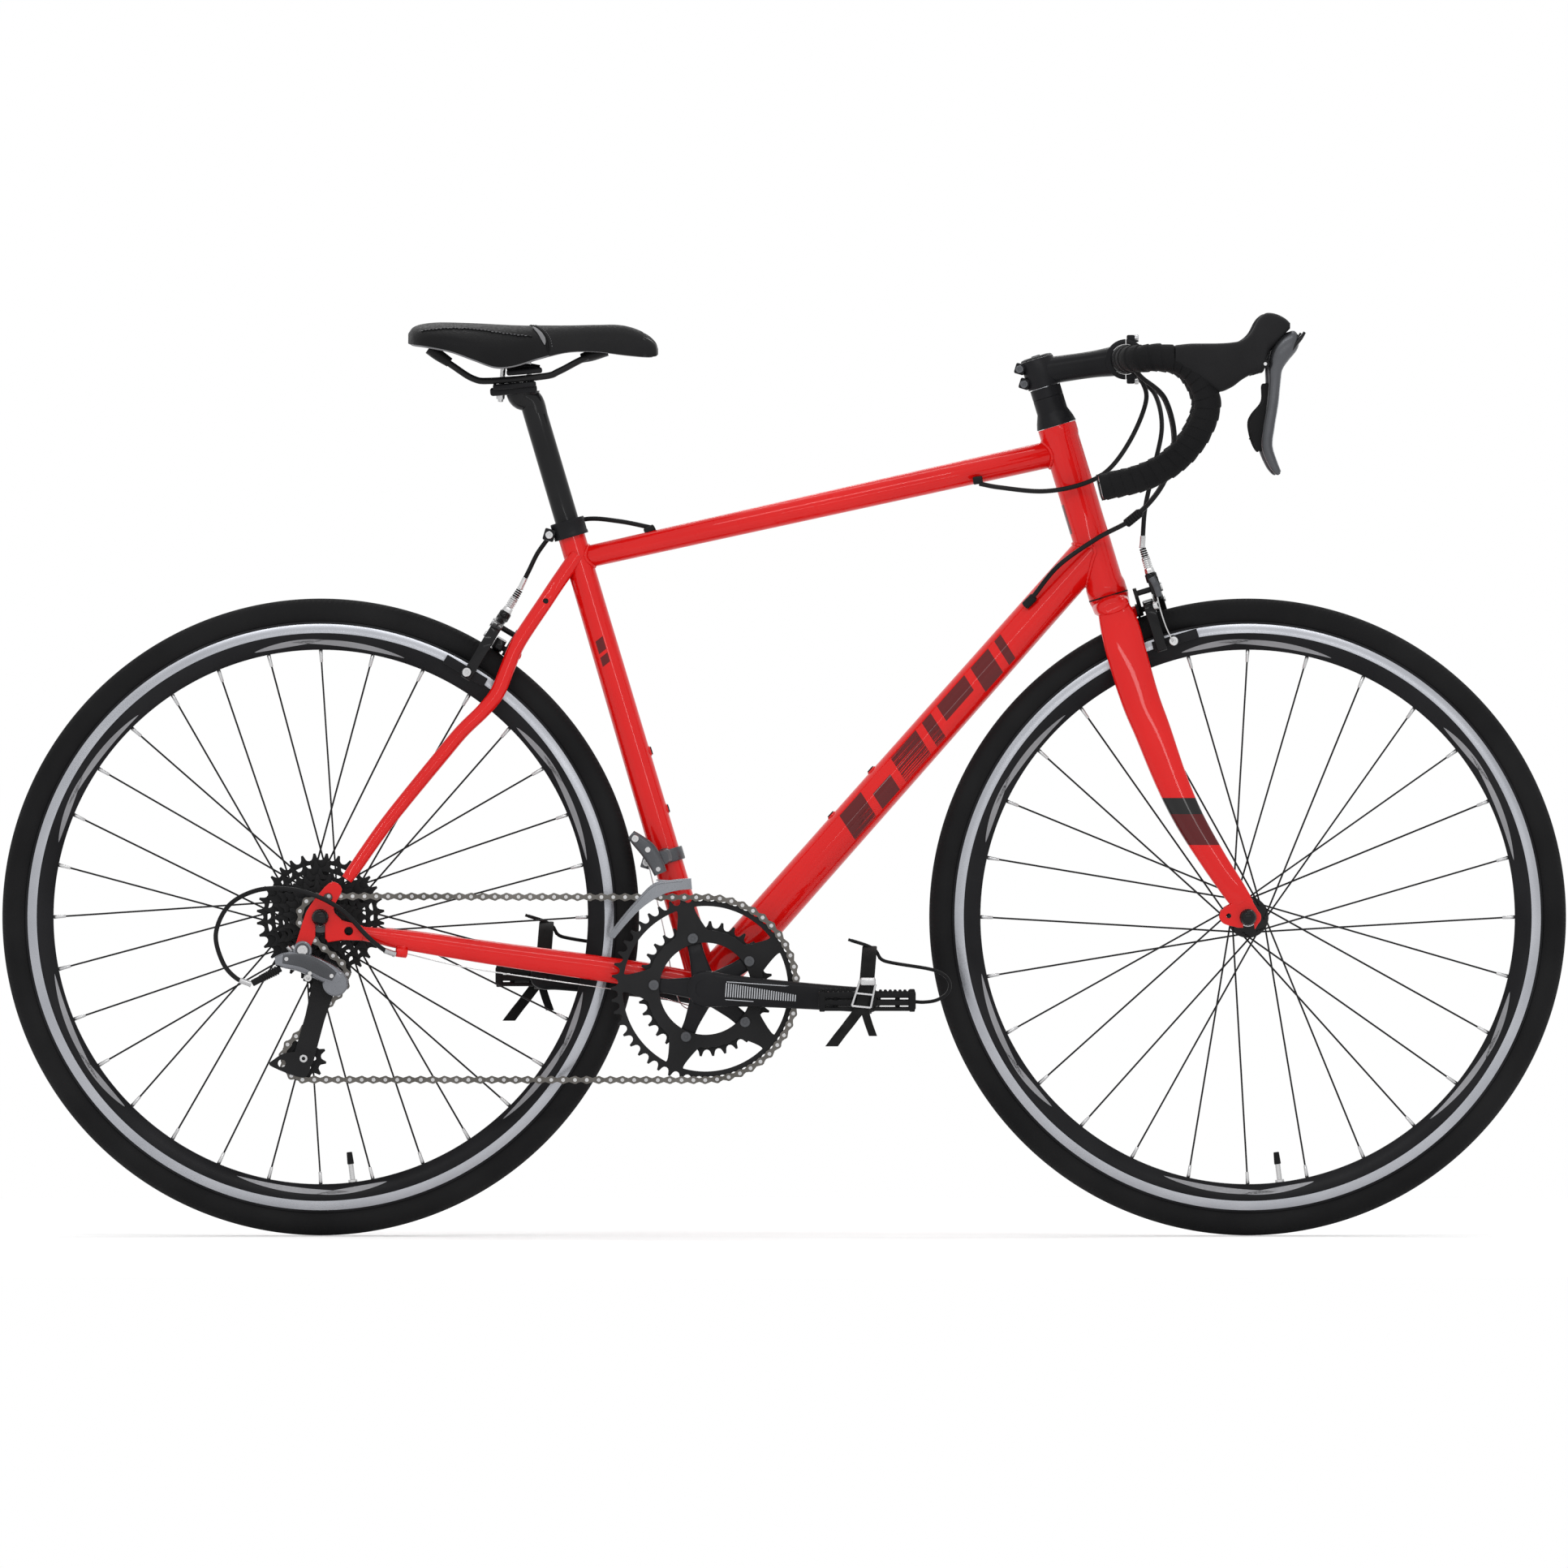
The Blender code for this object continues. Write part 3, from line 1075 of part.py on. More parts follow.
def make_bar():
    side = smooth_route(bar_route(), 2)
    middle = [(0.3636, y, 0.9324) for y in (0.0290, 0.0440)]
    left = [Vector(point) for point in middle] + side
    route = [Vector((p.x, -p.y, p.z)) for p in reversed(left)] + left
    thick = BAR_CLAMP_RADIUS / BAR_RADIUS
    radii = [1] * (len(left) - 1) + [thick, thick] + [1] * (len(left) - 1)
    return finish(bake(wire("handlebar", route, BAR_RADIUS, 2, radii)), "black_alloy")


def make_tape(side, sign):
    """Wrapped tape: an open sleeve round the bar, made thick outwards."""
    route = [Vector((p.x, sign * p.y, p.z)) for p in smooth_route(bar_route(), 2)]
    sleeve = bake(wire(f"bar_tape_{side}", route, BAR_RADIUS + GAP, 2, caps=False))
    bm = bmesh.new()
    bm.from_mesh(sleeve.data)
    bmesh.ops.recalc_face_normals(bm, faces=bm.faces)
    middle = route[3]
    nearest = min(bm.faces, key=lambda face: (face.calc_center_median() - middle).length)
    if nearest.normal.dot(nearest.calc_center_median() - middle) < 0:
        bmesh.ops.reverse_faces(bm, faces=bm.faces)
    bm.to_mesh(sleeve.data)
    bm.free()
    wall = sleeve.modifiers.new("wall", "SOLIDIFY")
    wall.thickness = TAPE_THICKNESS
    wall.offset = 1
    return finish(sleeve, "bar_tape")


def hood_ring(x, top, bottom, half, y):
    middle, high = (top + bottom) / 2, (top - bottom) / 2
    shape = [(1.0, 0.35), (0.75, 0.82), (0.30, 1.0), (-0.30, 1.0), (-0.75, 0.82), (-1.0, 0.35),
             (-1.0, -0.35), (-0.75, -0.82), (-0.30, -1.0), (0.30, -1.0), (0.75, -0.82),
             (1.0, -0.35)]
    return [Vector((x, y + half * u, middle + high * v)) for u, v in shape]


def make_hood(side, sign):
    """Rubber hood over the lever's bracket. It sits on the front of the tape."""
    y = sign * BAR_HALF_WIDTH
    stations = [(0.4210, 0.9484, 0.9240, 0.0155), (0.4400, 0.9488, 0.9100, 0.0168),
                (0.4600, 0.9489, 0.8970, 0.0165), (0.4740, 0.9498, 0.9020, 0.0150),
                (0.4850, 0.9522, 0.9100, 0.0145), (0.4945, 0.9600, 0.9155, 0.0145),
                (0.5020, 0.9735, 0.9185, 0.0150), (0.5085, 0.9798, 0.9215, 0.0152),
                (0.5140, 0.9815, 0.9400, 0.0152), (0.5225, 0.9800, 0.9500, 0.0150),
                (0.5310, 0.9755, 0.9590, 0.0135), (0.5375, 0.9700, 0.9650, 0.0100)]
    hood = loft(f"hood_{side}", [hood_ring(*station, y) for station in stations])
    route = [Vector((p.x, sign * p.y, p.z)) for p in smooth_route(bar_route(), 2)]
    cutter = bake(wire(f"cut_tape_{side}", route, BAR_RADIUS + TAPE_THICKNESS + 3 * GAP, 2))
    cut(hood, cutter)
    return finish(hood, "grip_rubber")


def make_lever(side, sign):
    """Brake lever on its pin, with the gear paddle behind it."""
    y = sign * BAR_HALF_WIDTH
    pin_x, pin_z = LEVER_PIVOT
    stations = [
        (0.5445, 0.9575, 0.0050, 0.0075), (0.5385, 0.9490, 0.0085, 0.0115),
        (0.5290, 0.9370, 0.0085, 0.0115), (0.5225, 0.9225, 0.0065, 0.0085),
        (0.5215, 0.9070, 0.0078, 0.0070), (0.5180, 0.8850, 0.0060, 0.0065),
        (0.5140, 0.8600, 0.0062, 0.0062), (0.5120, 0.8400, 0.0060, 0.0060),
        (0.5180, 0.8220, 0.0052, 0.0055), (0.5245, 0.8105, 0.0030, 0.0040)]
    lever = oval_tube(f"brake_lever_{side}", [(x, z, y, deep, wide)
                                              for x, z, deep, wide in stations], 10)
    finish(lever, "black_alloy")
    pivot(f"lever_{side}_axis", (pin_x, y, pin_z), lever)

    inner = y - sign * 0.0105
    outline = [(0.5160, 0.9060), (0.5090, 0.9060), (0.5085, 0.8880), (0.4985, 0.8750),
               (0.4945, 0.8660), (0.4955, 0.8540), (0.5000, 0.8400), (0.5060, 0.8340),
               (0.5120, 0.8480), (0.5150, 0.8700)]
    paddle = side_plate(f"shift_paddle_{side}", [outline], inner, 0.0024)
    finish(paddle, "black_plastic")
    pivot(f"paddle_{side}_axis", (0.5125, inner, 0.9060), paddle)


# ---------------------------------------------------------------- brakes

def make_brake(place, rear):
    """Two arms of a caliper. One turns on the centre bolt, the other on the side pin."""
    matrix = caliper_matrix(rear)
    near = [(0.0100, 0.0085), (0.0075, -0.0046), (-0.0100, -0.0048), (-0.0195, -0.0120),
            (-0.0200, -0.0370), (-0.0175, -0.0470), (-0.0255, -0.0480), (-0.0305, -0.0340),
            (-0.0340, -0.0120), (-0.0320, 0.0040), (-0.0150, 0.0095)]
    far = [(-0.0300, 0.0120), (-0.0150, 0.0110), (0.0120, 0.0075), (0.0205, -0.0050),
           (0.0200, -0.0370), (0.0175, -0.0470), (0.0255, -0.0480), (0.0305, -0.0340),
           (0.0345, -0.0080), (0.0280, 0.0110), (0.0120, 0.0210), (-0.0120, 0.0250),
           (-0.0210, 0.0300), (-0.0330, 0.0300)]
    sides = ("left", "right") if rear else ("right", "left")
    for side, outline, sign, middle, centre in (
            (sides[0], near, -1, 0.00175, (0, 0)), (sides[1], far, 1, 0.01375, SIDE_PIN)):
        name = f"{place}_brake_arm_{side}"
        arm = plate(name, [outline], ARM_THICKNESS,
                    matrix @ Matrix.Translation((0, 0, middle)))
        pad = block(f"{name}_pad", (sign * 0.0162, -0.0415, 0.0180), (0.0076, 0.0100, 0.0500),
                    matrix=matrix)
        bolt = rod(f"{name}_pad_bolt", matrix @ Vector((sign * 0.0150, -0.0415, 0.0160)),
                   matrix @ Vector((sign * 0.0340, -0.0415, 0.0160)), 0.0050, sides=10)
        join(arm, pad, bolt)
        if sign > 0:
            join(arm, rod(f"{name}_barrel", matrix @ Vector((-0.0270, 0.0270, 0.0130)),
                          matrix @ Vector((-0.0270, 0.0620, 0.0130)), 0.0048, 0.0040, sides=10))
        bore_foot = matrix @ Vector((*centre, -0.03))
        bore_end = matrix @ Vector((*centre, 0.0079 if sign < 0 else 0.03))
        cut(arm, rod(f"{name}_bore", bore_foot, bore_end, BRAKE_BORE_RADIUS, sides=12))
        finish(arm, "black_alloy")
        pivot(f"{name}_axis", matrix @ Vector((*centre, 0)), arm)


# ---------------------------------------------------------------- cables

def housing(name, points, spans=3, radius=0.0025):
    return finish(bake(wire(name, smooth_route(points, spans), radius)), "cable_housing")


def make_cables():
    housing("front_brake_housing", [
        (0.3760, 0.0620, 0.9130), (0.3950, 0.0500, 0.8950), (0.4020, 0.0200, 0.8600),
        (0.3930, -0.0050, 0.8150), (0.3840, -0.0200, 0.7740), (0.3809, -0.0268, 0.7327)])
    housing("rear_brake_housing_front", [
        (0.3780, -0.0620, 0.9130), (0.3850, -0.0560, 0.8900), (0.3700, -0.0500, 0.8500),
        (0.3450, -0.0380, 0.8150), (0.3150, -0.0300, 0.7990), (0.2750, -0.0260, 0.7920),
        (0.2300, -0.0230, 0.7960), (0.2080, -0.0165, 0.8000)])
    housing("rear_brake_housing_rear", [
        (-0.1420, 0.0030, 0.7535), (-0.1750, 0.0160, 0.7600), (-0.2100, 0.0260, 0.7625),
        (-0.2400, 0.0300, 0.7520), (-0.2600, 0.0300, 0.7300), (-0.2720, 0.0285, 0.7070),
        (-0.2808, 0.0270, 0.6888)])
    for side, sign in (("right", -1), ("left", 1)):
        housing(f"shift_housing_{side}", [
            (0.3800, sign * 0.0900, 0.9130), (0.4050, sign * 0.0920, 0.8900),
            (0.4150, sign * 0.0880, 0.8450), (0.4030, sign * 0.0740, 0.8000),
            (0.3720, sign * 0.0480, 0.7640), (0.3330, sign * 0.0290, 0.7420),
            (0.2920, sign * 0.0290, 0.7130), (0.2640, sign * 0.0225, 0.6790)])
    housing("rear_derailleur_housing", [
        (-0.4150, -0.0670, 0.3003), (-0.4260, -0.0725, 0.3050), (-0.4430, -0.0775, 0.3190),
        (-0.4680, -0.0795, 0.3450), (-0.4950, -0.0800, 0.3610), (-0.5250, -0.0800, 0.3690),
        (-0.5600, -0.0800, 0.3680), (-0.5900, -0.0800, 0.3520), (-0.6040, -0.0800, 0.3220),
        (-0.5970, -0.0800, 0.2920), (-0.5830, -0.0803, 0.2750), (-0.5675, -0.0806, 0.2684)])


# ---------------------------------------------------------------- assembly

def build():
    make_materials()
    make_frame()
    make_seat()

    front = make_wheel("front", FRONT_AXLE, 28, math.radians(62), FRONT_HUB_HALF,
                       (0.0345, -0.0345), 0.0220)
    pivot("front_wheel_axis", FRONT_AXLE, *front)
    rear = make_wheel("rear", REAR_AXLE, 32, math.radians(66), REAR_HUB_HALF,
                      (0.0360, -0.0185), 0.0235)
    pivot("rear_wheel_axis", REAR_AXLE, *rear)
    front_cam = make_axle("front", FRONT_AXLE, FRONT_HUB_HALF)
    rear_cam = make_axle("rear", REAR_AXLE, REAR_HUB_HALF)
    make_skewer_lever("front", FRONT_AXLE, front_cam, (-0.45, 0, 0.85))
    make_skewer_lever("rear", REAR_AXLE, rear_cam, (0.72, 0, 0.30))

    make_crankset()
    make_chain()
    make_cassette()
    make_rear_derailleur()
    make_front_derailleur()

    steered = [make_fork()] + make_cockpit()
    pivot("steering_axis", HEAD_FOOT, *steered)
    make_brake("front", False)
    make_brake("rear", True)
    make_cables()


clear_scene()
PARTS = new_collection("road_bicycle")
TOOLS = new_collection("cutters")
build()
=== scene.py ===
import math

import bmesh
import bpy
from mathutils import Matrix, Vector


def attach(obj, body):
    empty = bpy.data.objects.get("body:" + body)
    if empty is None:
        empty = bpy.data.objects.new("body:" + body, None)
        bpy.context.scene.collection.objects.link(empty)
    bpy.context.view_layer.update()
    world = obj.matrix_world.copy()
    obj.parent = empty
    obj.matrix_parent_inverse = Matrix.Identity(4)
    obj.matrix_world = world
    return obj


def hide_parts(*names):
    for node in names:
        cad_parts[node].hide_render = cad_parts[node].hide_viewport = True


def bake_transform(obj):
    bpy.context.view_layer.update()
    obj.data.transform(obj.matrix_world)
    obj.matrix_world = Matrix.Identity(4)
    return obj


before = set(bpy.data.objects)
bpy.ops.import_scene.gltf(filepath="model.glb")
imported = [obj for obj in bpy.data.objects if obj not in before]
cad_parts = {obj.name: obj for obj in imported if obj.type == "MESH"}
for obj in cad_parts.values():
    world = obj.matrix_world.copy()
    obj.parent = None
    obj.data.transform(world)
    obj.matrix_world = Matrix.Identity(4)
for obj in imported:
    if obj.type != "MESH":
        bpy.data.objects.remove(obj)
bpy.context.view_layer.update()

LEFT = Vector((0, 1, 0))
UP = Vector((0, 0, 1))
AHEAD = Vector((1, 0, 0))
TURN = 2 * math.pi

# Lines and sizes of the frame
BRACKET = Vector((-0.0838, 0, 0.263))
REAR_AXLE = Vector((-0.4932, 0, 0.339))
FRONT_AXLE = Vector((0.4932, 0, 0.339))
SEAT_UP = Vector((-math.cos(math.radians(73.5)), 0, math.sin(math.radians(73.5))))
HEAD_UP = Vector((-math.cos(math.radians(73.1)), 0, math.sin(math.radians(73.1))))
HEAD_AHEAD = Vector((HEAD_UP.z, 0, -HEAD_UP.x))
HEAD_FOOT = Vector((0.345, 0, 0.6808))
HEAD_LENGTH = 0.189
SEAT_LENGTH = 0.511
SEAT_FOOT_RADIUS = 0.0162
SEAT_TOP_RADIUS = 0.0143
DOWN_FOOT_RADIUS = 0.022
DOWN_TOP_RADIUS = 0.0202
TOP_REAR_RADIUS = 0.0118
TOP_FRONT_RADIUS = 0.0142
SHELL_RADIUS = 0.0205
PITCH = 0.0127
OUTER_Y, INNER_Y, COG_Y = -0.046, -0.0385, -0.0585
GUIDE = Vector((-0.487, COG_Y, 0.275))
TENSION = Vector((-0.511, COG_Y, 0.189))
CAGE_PIVOT = Vector((-0.477, COG_Y, 0.269))
HANGER = Vector((-0.512, -0.0685, 0.304))
BAR = Vector((0.3636, 0, 0.9324))
PAD_Y = -0.0415
BAR_WIDE = 0.21
BAR_RADIUS = 0.0119
CRANK_LENGTH = 0.1725
BOLT_CIRCLE = 0.055
SPOKE_END = 0.2836
VALVE_ANGLE = -1.45
SIDES = (("right", -1), ("left", 1))


# ------------------------ shapes


def placed(name, data):
    obj = bpy.data.objects.new(name, data)
    bpy.context.scene.collection.objects.link(obj)
    return obj


def polar(radius, angle):
    return (radius * math.cos(angle), radius * math.sin(angle))


def around(radius, angle, y=0.0):
    """Point about an axle along Y."""
    return Vector((radius * math.cos(angle), y, radius * math.sin(angle)))


def angles(count):
    return [TURN * k / count for k in range(count)]


def from_lists(name, points, faces):
    mesh = bpy.data.meshes.new(name)
    mesh.from_pydata([tuple(point) for point in points], [], faces)
    obj = placed(name, mesh)
    return obj


def tidy_mesh(obj, merge=1e-06):
    """Welds an object's mesh and points its faces outwards."""
    bm = bmesh.new()
    bm.from_mesh(obj.data)
    bmesh.ops.remove_doubles(bm, verts=bm.verts, dist=merge)
    bmesh.ops.dissolve_degenerate(bm, edges=bm.edges, dist=merge)
    bmesh.ops.recalc_face_normals(bm, faces=bm.faces)
    bm.to_mesh(obj.data)
    bm.free()
    return obj


def skin(name, rings, caps=True, loop=False):
    """Surface through rings of equally many points. A loop joins its last ring to its first."""
    count = len(rings[0])
    points = [point for ring in rings for point in ring]
    spans = len(rings) if loop else len(rings) - 1
    faces = []
    for k in range(spans):
        near, far = k * count, (k + 1) % len(rings) * count
        faces += [(near + j - 1 if j else near + count - 1, near + j, far + j, far + j - 1 if j
                   else far + count - 1) for j in range(count)]
    if caps and (not loop):
        faces.append(tuple(range(count)))
        faces.append(tuple(range(len(points) - count, len(points))))
    return tidy_mesh(from_lists(name, points, faces))


def smooth(rows, per):
    """Catmull-Rom curve through rows of numbers, with per steps to a span."""
    rows = [list(map(float, row)) for row in rows]
    first = [2 * a - b for a, b in zip(rows[0], rows[1])]
    last = [2 * a - b for a, b in zip(rows[-1], rows[-2])]
    rows = [first] + rows + [last]
    out = []
    for a, b, c, d in zip(rows, rows[1:], rows[2:], rows[3:]):
        for k in range(per):
            t = k / per
            out.append([(2 * q + (r - p) * t + (2 * p - 5 * q + 4 * r - s) * t ** 2
                         + (3 * q - p - 3 * r + s) * t ** 3) / 2
                        for p, q, r, s in zip(a, b, c, d)])
    out.append(rows[-2])
    return out


def outline_of(rows):
    return [tuple(row) for row in rows]


def vectors(rows):
    return [Vector(row) for row in rows]


def oval(centre, travel, across, half_across, half_deep, count=32, power=2.0):
    """Ring across the travel. A power above 2 squares it off."""
    across = Vector(across).normalized()
    deep = Vector(travel).normalized().cross(across)
    ring = []
    for k in range(count):
        c, s = math.cos(TURN * k / count), math.sin(TURN * k / count)
        u = math.copysign(abs(c) ** (2 / power), c) * half_across
        v = math.copysign(abs(s) ** (2 / power), s) * half_deep
        ring.append(Vector(centre) + across * u + deep * v)
    return ring


def travels(places):
    return [(places[min(k + 1, len(places) - 1)] - places[max(k - 1, 0)]).normalized()
            for k in range(len(places))]


def limb(name, stations, per=6, count=32, power=2.0, across=LEFT):
    """Tube through stations of (x, y, z, half across, half deep)."""
    rows = smooth(stations, per)
    across = Vector(across).normalized()
    places = [Vector(row[:3]) for row in rows]
    rings = []
    for row, place, travel in zip(rows, places, travels(places)):
        travel = (travel - across * travel.dot(across)).normalized()
        rings.append(oval(place, travel, across, max(row[3], 0.0001), max(row[4], 0.0001), count,
                          power))
    return skin(name, rings)


def mirrored(stations, sign):
    """Stations of (x, z, y, half deep, half wide) as a limb takes them, on one side."""
    return [(x, sign * y, z, wide, deep) for x, z, y, deep, wide in stations]


def upright(origin, direction):
    turn = UP.rotation_difference(Vector(direction)).to_matrix().to_4x4()
    return Matrix.Translation(origin) @ turn


def turned(name, profile, origin, direction, steps=48):
    """Turns (radius, height) points about an axis. A profile that ends off the axis closes."""
    place = upright(origin, direction)
    closed = min(profile[0][0], profile[-1][0]) > 0
    rings = []
    for k in range(steps):
        c, s = math.cos(TURN * k / steps), math.sin(TURN * k / steps)
        rings.append([place @ Vector((r * c, r * s, h)) for r, h in profile])
    count = len(profile)
    points = [point for ring in rings for point in ring]
    faces = []
    for k in range(steps):
        near, far = k * count, (k + 1) % steps * count
        for j in range(count if closed else count - 1):
            after = (j + 1) % count
            faces.append((near + j, far + j, far + after, near + after))
    return tidy_mesh(from_lists(name, points, faces))


def rod(name, start, end, radius, last=None, sides=24, edge=None):
    """Round bar with softened ends."""
    start, end = Vector(start), Vector(end)
    last = radius if last is None else last
    length = (end - start).length
    edge = min(radius, last, length / 2) * 0.18 if edge is None else edge
    profile = [(0, length), (last - edge, length), (last, length - edge), (radius, edge),
               (radius - edge, 0), (0, 0)]
    return turned(name, profile, start, end - start, sides)


def cross_rod(name, centre, low, high, radius, sides=24, edge=None):
    x, _, z = centre
    return rod(name, (x, low, z), (x, high, z), radius, sides=sides, edge=edge)


def block(name, centre, size, pitch=0.0, edge=0.001, matrix=None, steps=2):
    bm = bmesh.new()
    bmesh.ops.create_cube(bm, size=1)
    bmesh.ops.scale(bm, vec=size, verts=bm.verts)
    bmesh.ops.bevel(bm, geom=bm.edges[:], offset=edge, segments=steps, profile=0.5, affect="EDGES")
    place = (matrix or Matrix()) @ Matrix.Translation(centre) @ Matrix.Rotation(pitch, 4, "Y")
    bmesh.ops.transform(bm, verts=bm.verts, matrix=place)
    mesh = bpy.data.meshes.new(name)
    bm.to_mesh(mesh)
    bm.free()
    obj = placed(name, mesh)
    return obj


def wire(name, places, radius, count=12, caps=True, loop=False):
    """Sweeps a round section along places. The radius may be a function of length and angle."""
    places = [Vector(place) for place in places]
    ways = travels(places)
    if loop:
        ways = [(places[(k + 1) % len(places)] - places[k - 1]).normalized()
                for k in range(len(places))]
    side = ways[0].orthogonal().normalized()
    rings, run = [], 0.0
    for k, (place, way) in enumerate(zip(places, ways)):
        side = (side - way * side.dot(way)).normalized()
        other = way.cross(side)
        if k:
            run += (place - places[k - 1]).length
        ring = []
        for j in range(count):
            angle = TURN * j / count
            size = radius(run, angle) if callable(radius) else radius
            ring.append(place + (side * math.cos(angle) + other * math.sin(angle)) * size)
        rings.append(ring)
    return skin(name, rings, caps, loop)


def ribbon(name, places, across, widths, thick, per=4):
    """Flat strip with soft edges along places."""
    rows = smooth([[*place, width] for place, width in zip(places, widths)], per)
    spots = [Vector(row[:3]) for row in rows]
    rings = [oval(spot, way, across, row[3], thick, 16, 5.0)
             for spot, way, row in zip(spots, travels(spots), rows)]
    return skin(name, rings)


def plate(name, outlines, thickness, matrix, edge=0.0003):
    """Flat plate with softened edges. Outlines after the first are its holes."""
    curve = bpy.data.curves.new(name, "CURVE")
    curve.dimensions = "2D"
    curve.fill_mode = "BOTH"
    curve.extrude = thickness / 2 - edge
    curve.bevel_depth = edge
    curve.bevel_resolution = 1
    curve.offset = -edge
    for outline in outlines:
        spline = curve.splines.new("POLY")
        spline.points.add(len(outline) - 1)
        spline.use_cyclic_u = True
        for k, (x, y) in enumerate(outline):
            spline.points[k].co = (x, y, 0, 1)
    obj = placed(name, curve)
    obj.matrix_world = matrix
    return obj


def side_plate(name, outlines, y, thickness, edge=0.0003):
    """Plate in the side view: its outlines are (x, z) points."""
    stand = Matrix.Translation((0, y, 0)) @ Matrix.Rotation(math.pi / 2, 4, "X")
    return plate(name, outlines, thickness, stand, edge)


def circle(centre, radius, count=32, start=0.0, sweep=TURN):
    """Points round a circle, or along an arc with both of its ends."""
    steps = count if sweep == TURN else count - 1
    return [(centre[0] + radius * math.cos(start + sweep * k / steps),
             centre[1] + radius * math.sin(start + sweep * k / steps)) for k in range(count)]


def socket_bolt(name, foot, direction, radius, height, depth=0.6, sides=24):
    """Round bolt head with a six-sided socket."""
    place = upright(foot, direction)
    turns = angles(sides)
    flats = [math.cos(math.pi / 6) / math.cos(angle % (math.pi / 3) - math.pi / 6) * radius * 0.52
             for angle in turns]
    levels = [([radius * size] * sides, level) for size, level in ((1, 0), (1, 0.75), (0.9, 1))]
    levels += [(flats, 1), (flats, 1 - depth)]
    rings = [[place @ Vector((*polar(size, angle), height * level))
              for size, angle in zip(sizes, turns)] for sizes, level in levels]
    return skin(name, rings)


def hex_nut(name, foot, direction, radius, height):
    place = upright(foot, direction)
    rings = [[place @ Vector((*polar(radius * size, angle), height * level))
              for angle in angles(6)] for size, level in ((0.92, 0), (1, 0.15), (1, 0.8),
                      (0.86, 1))]
    return skin(name, rings)


def sleeve(name, outer, inner, half, centre, sides=48):
    """Short tube about an axis along Y."""
    return turned(name, [(outer, half), (outer, -half), (inner, -half), (inner, half)], centre,
                  LEFT, sides)


def unite(name, objs):
    """One mesh from several shapes, each with its modifiers applied."""
    bm = bmesh.new()
    graph = bpy.context.evaluated_depsgraph_get()
    graph.update()
    for obj in objs:
        mesh = bpy.data.meshes.new_from_object(obj.evaluated_get(graph))
        mesh.transform(obj.matrix_world)
        bm.from_mesh(mesh)
        bpy.data.meshes.remove(mesh)
    for obj in objs:
        bpy.data.objects.remove(obj, do_unlink=True)
    mesh = bpy.data.meshes.new(name)
    bm.to_mesh(mesh)
    bm.free()
    whole = placed(name, mesh)
    return whole


def put(name, shapes, body, nodes, material, angle=35):
    """Makes one finished piece: united, shaded, painted and riding on its body.

    A body given as (first, second, start, end) rides on no body: the piece's place is baked into
    its mesh.
    """
    piece = unite(name, shapes if isinstance(shapes, list) else [shapes])
    piece.data.materials.append(material)
    piece.data.shade_smooth()
    piece.data.set_sharp_from_angle(angle=math.radians(angle))
    if isinstance(body, str):
        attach(piece, body)
    else:
        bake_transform(piece)
    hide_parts(*([nodes] if isinstance(nodes, str) else nodes))
    return piece


# ------------------------ materials


def add(tree, kind, sockets=None, **settings):
    """New shader node. A socket is given a value or another node's output."""
    node = tree.nodes.new(kind)
    for key, value in settings.items():
        setattr(node, key, value)
    for key, value in (sockets or {}).items():
        if isinstance(value, bpy.types.NodeSocket):
            tree.links.new(value, node.inputs[key])
        else:
            node.inputs[key].default_value = value
    return node


def ramp(tree, source, low, high, start=0.3, end=0.7):
    node = add(tree, "ShaderNodeMapRange", {"Value": source, "From Min": start, "From Max": end,
            "To Min": low, "To Max": high})
    return node.outputs["Result"]


def blend_colour(tree, share, first, second):
    node = add(tree, "ShaderNodeMix", data_type="RGBA")
    for key, value in ((0, share), (6, first), (7, second)):
        if isinstance(value, bpy.types.NodeSocket):
            tree.links.new(value, node.inputs[key])
        else:
            node.inputs[key].default_value = value if key == 0 else (*value[:3], 1)
    return node.outputs[2]


def make_material(name, colour, roughness, metallic=0.0, other=None, scale=260.0, detail=3.0,
                  spread=0.08, bump=0.1, depth=0.00012, stretch=(1, 1, 1), cells=0.0, **uniform):
    """Surface whose colour, roughness and relief vary. Cells above 0 give a pebbled grain."""
    material = bpy.data.materials.new(name)
    material.use_nodes = True
    tree = material.node_tree
    shader = tree.nodes["Principled BSDF"]
    shader.inputs["Metallic"].default_value = metallic
    for key, value in uniform.items():
        shader.inputs[key.replace("_", " ")].default_value = value
    place = add(tree, "ShaderNodeTexCoord").outputs["Object"]
    place = add(tree, "ShaderNodeMapping", {"Vector": place, "Scale": stretch}).outputs[0]
    fine = add(tree, "ShaderNodeTexNoise", {"Vector": place, "Scale": scale, "Detail": detail})
    broad = add(tree, "ShaderNodeTexNoise", {"Vector": place, "Scale": 11.0, "Detail": 4.0})
    second = other or tuple((min(channel * 1.5 + 0.004, 1) for channel in colour))
    shade = blend_colour(tree, ramp(tree, broad.outputs["Fac"], 0, 1), colour, second)
    tree.links.new(shade, shader.inputs["Base Color"])
    rough = ramp(tree, fine.outputs["Fac"], max(roughness - spread, 0.02), roughness + spread)
    tree.links.new(rough, shader.inputs["Roughness"])
    relief = fine.outputs["Fac"]
    if cells:
        pebble = add(tree, "ShaderNodeTexVoronoi", {"Vector": place, "Scale": cells})
        relief = pebble.outputs["Distance"]
    raised = add(tree, "ShaderNodeBump", {"Height": relief, "Strength": bump, "Distance": depth})
    tree.links.new(raised.outputs["Normal"], shader.inputs["Normal"])
    return material


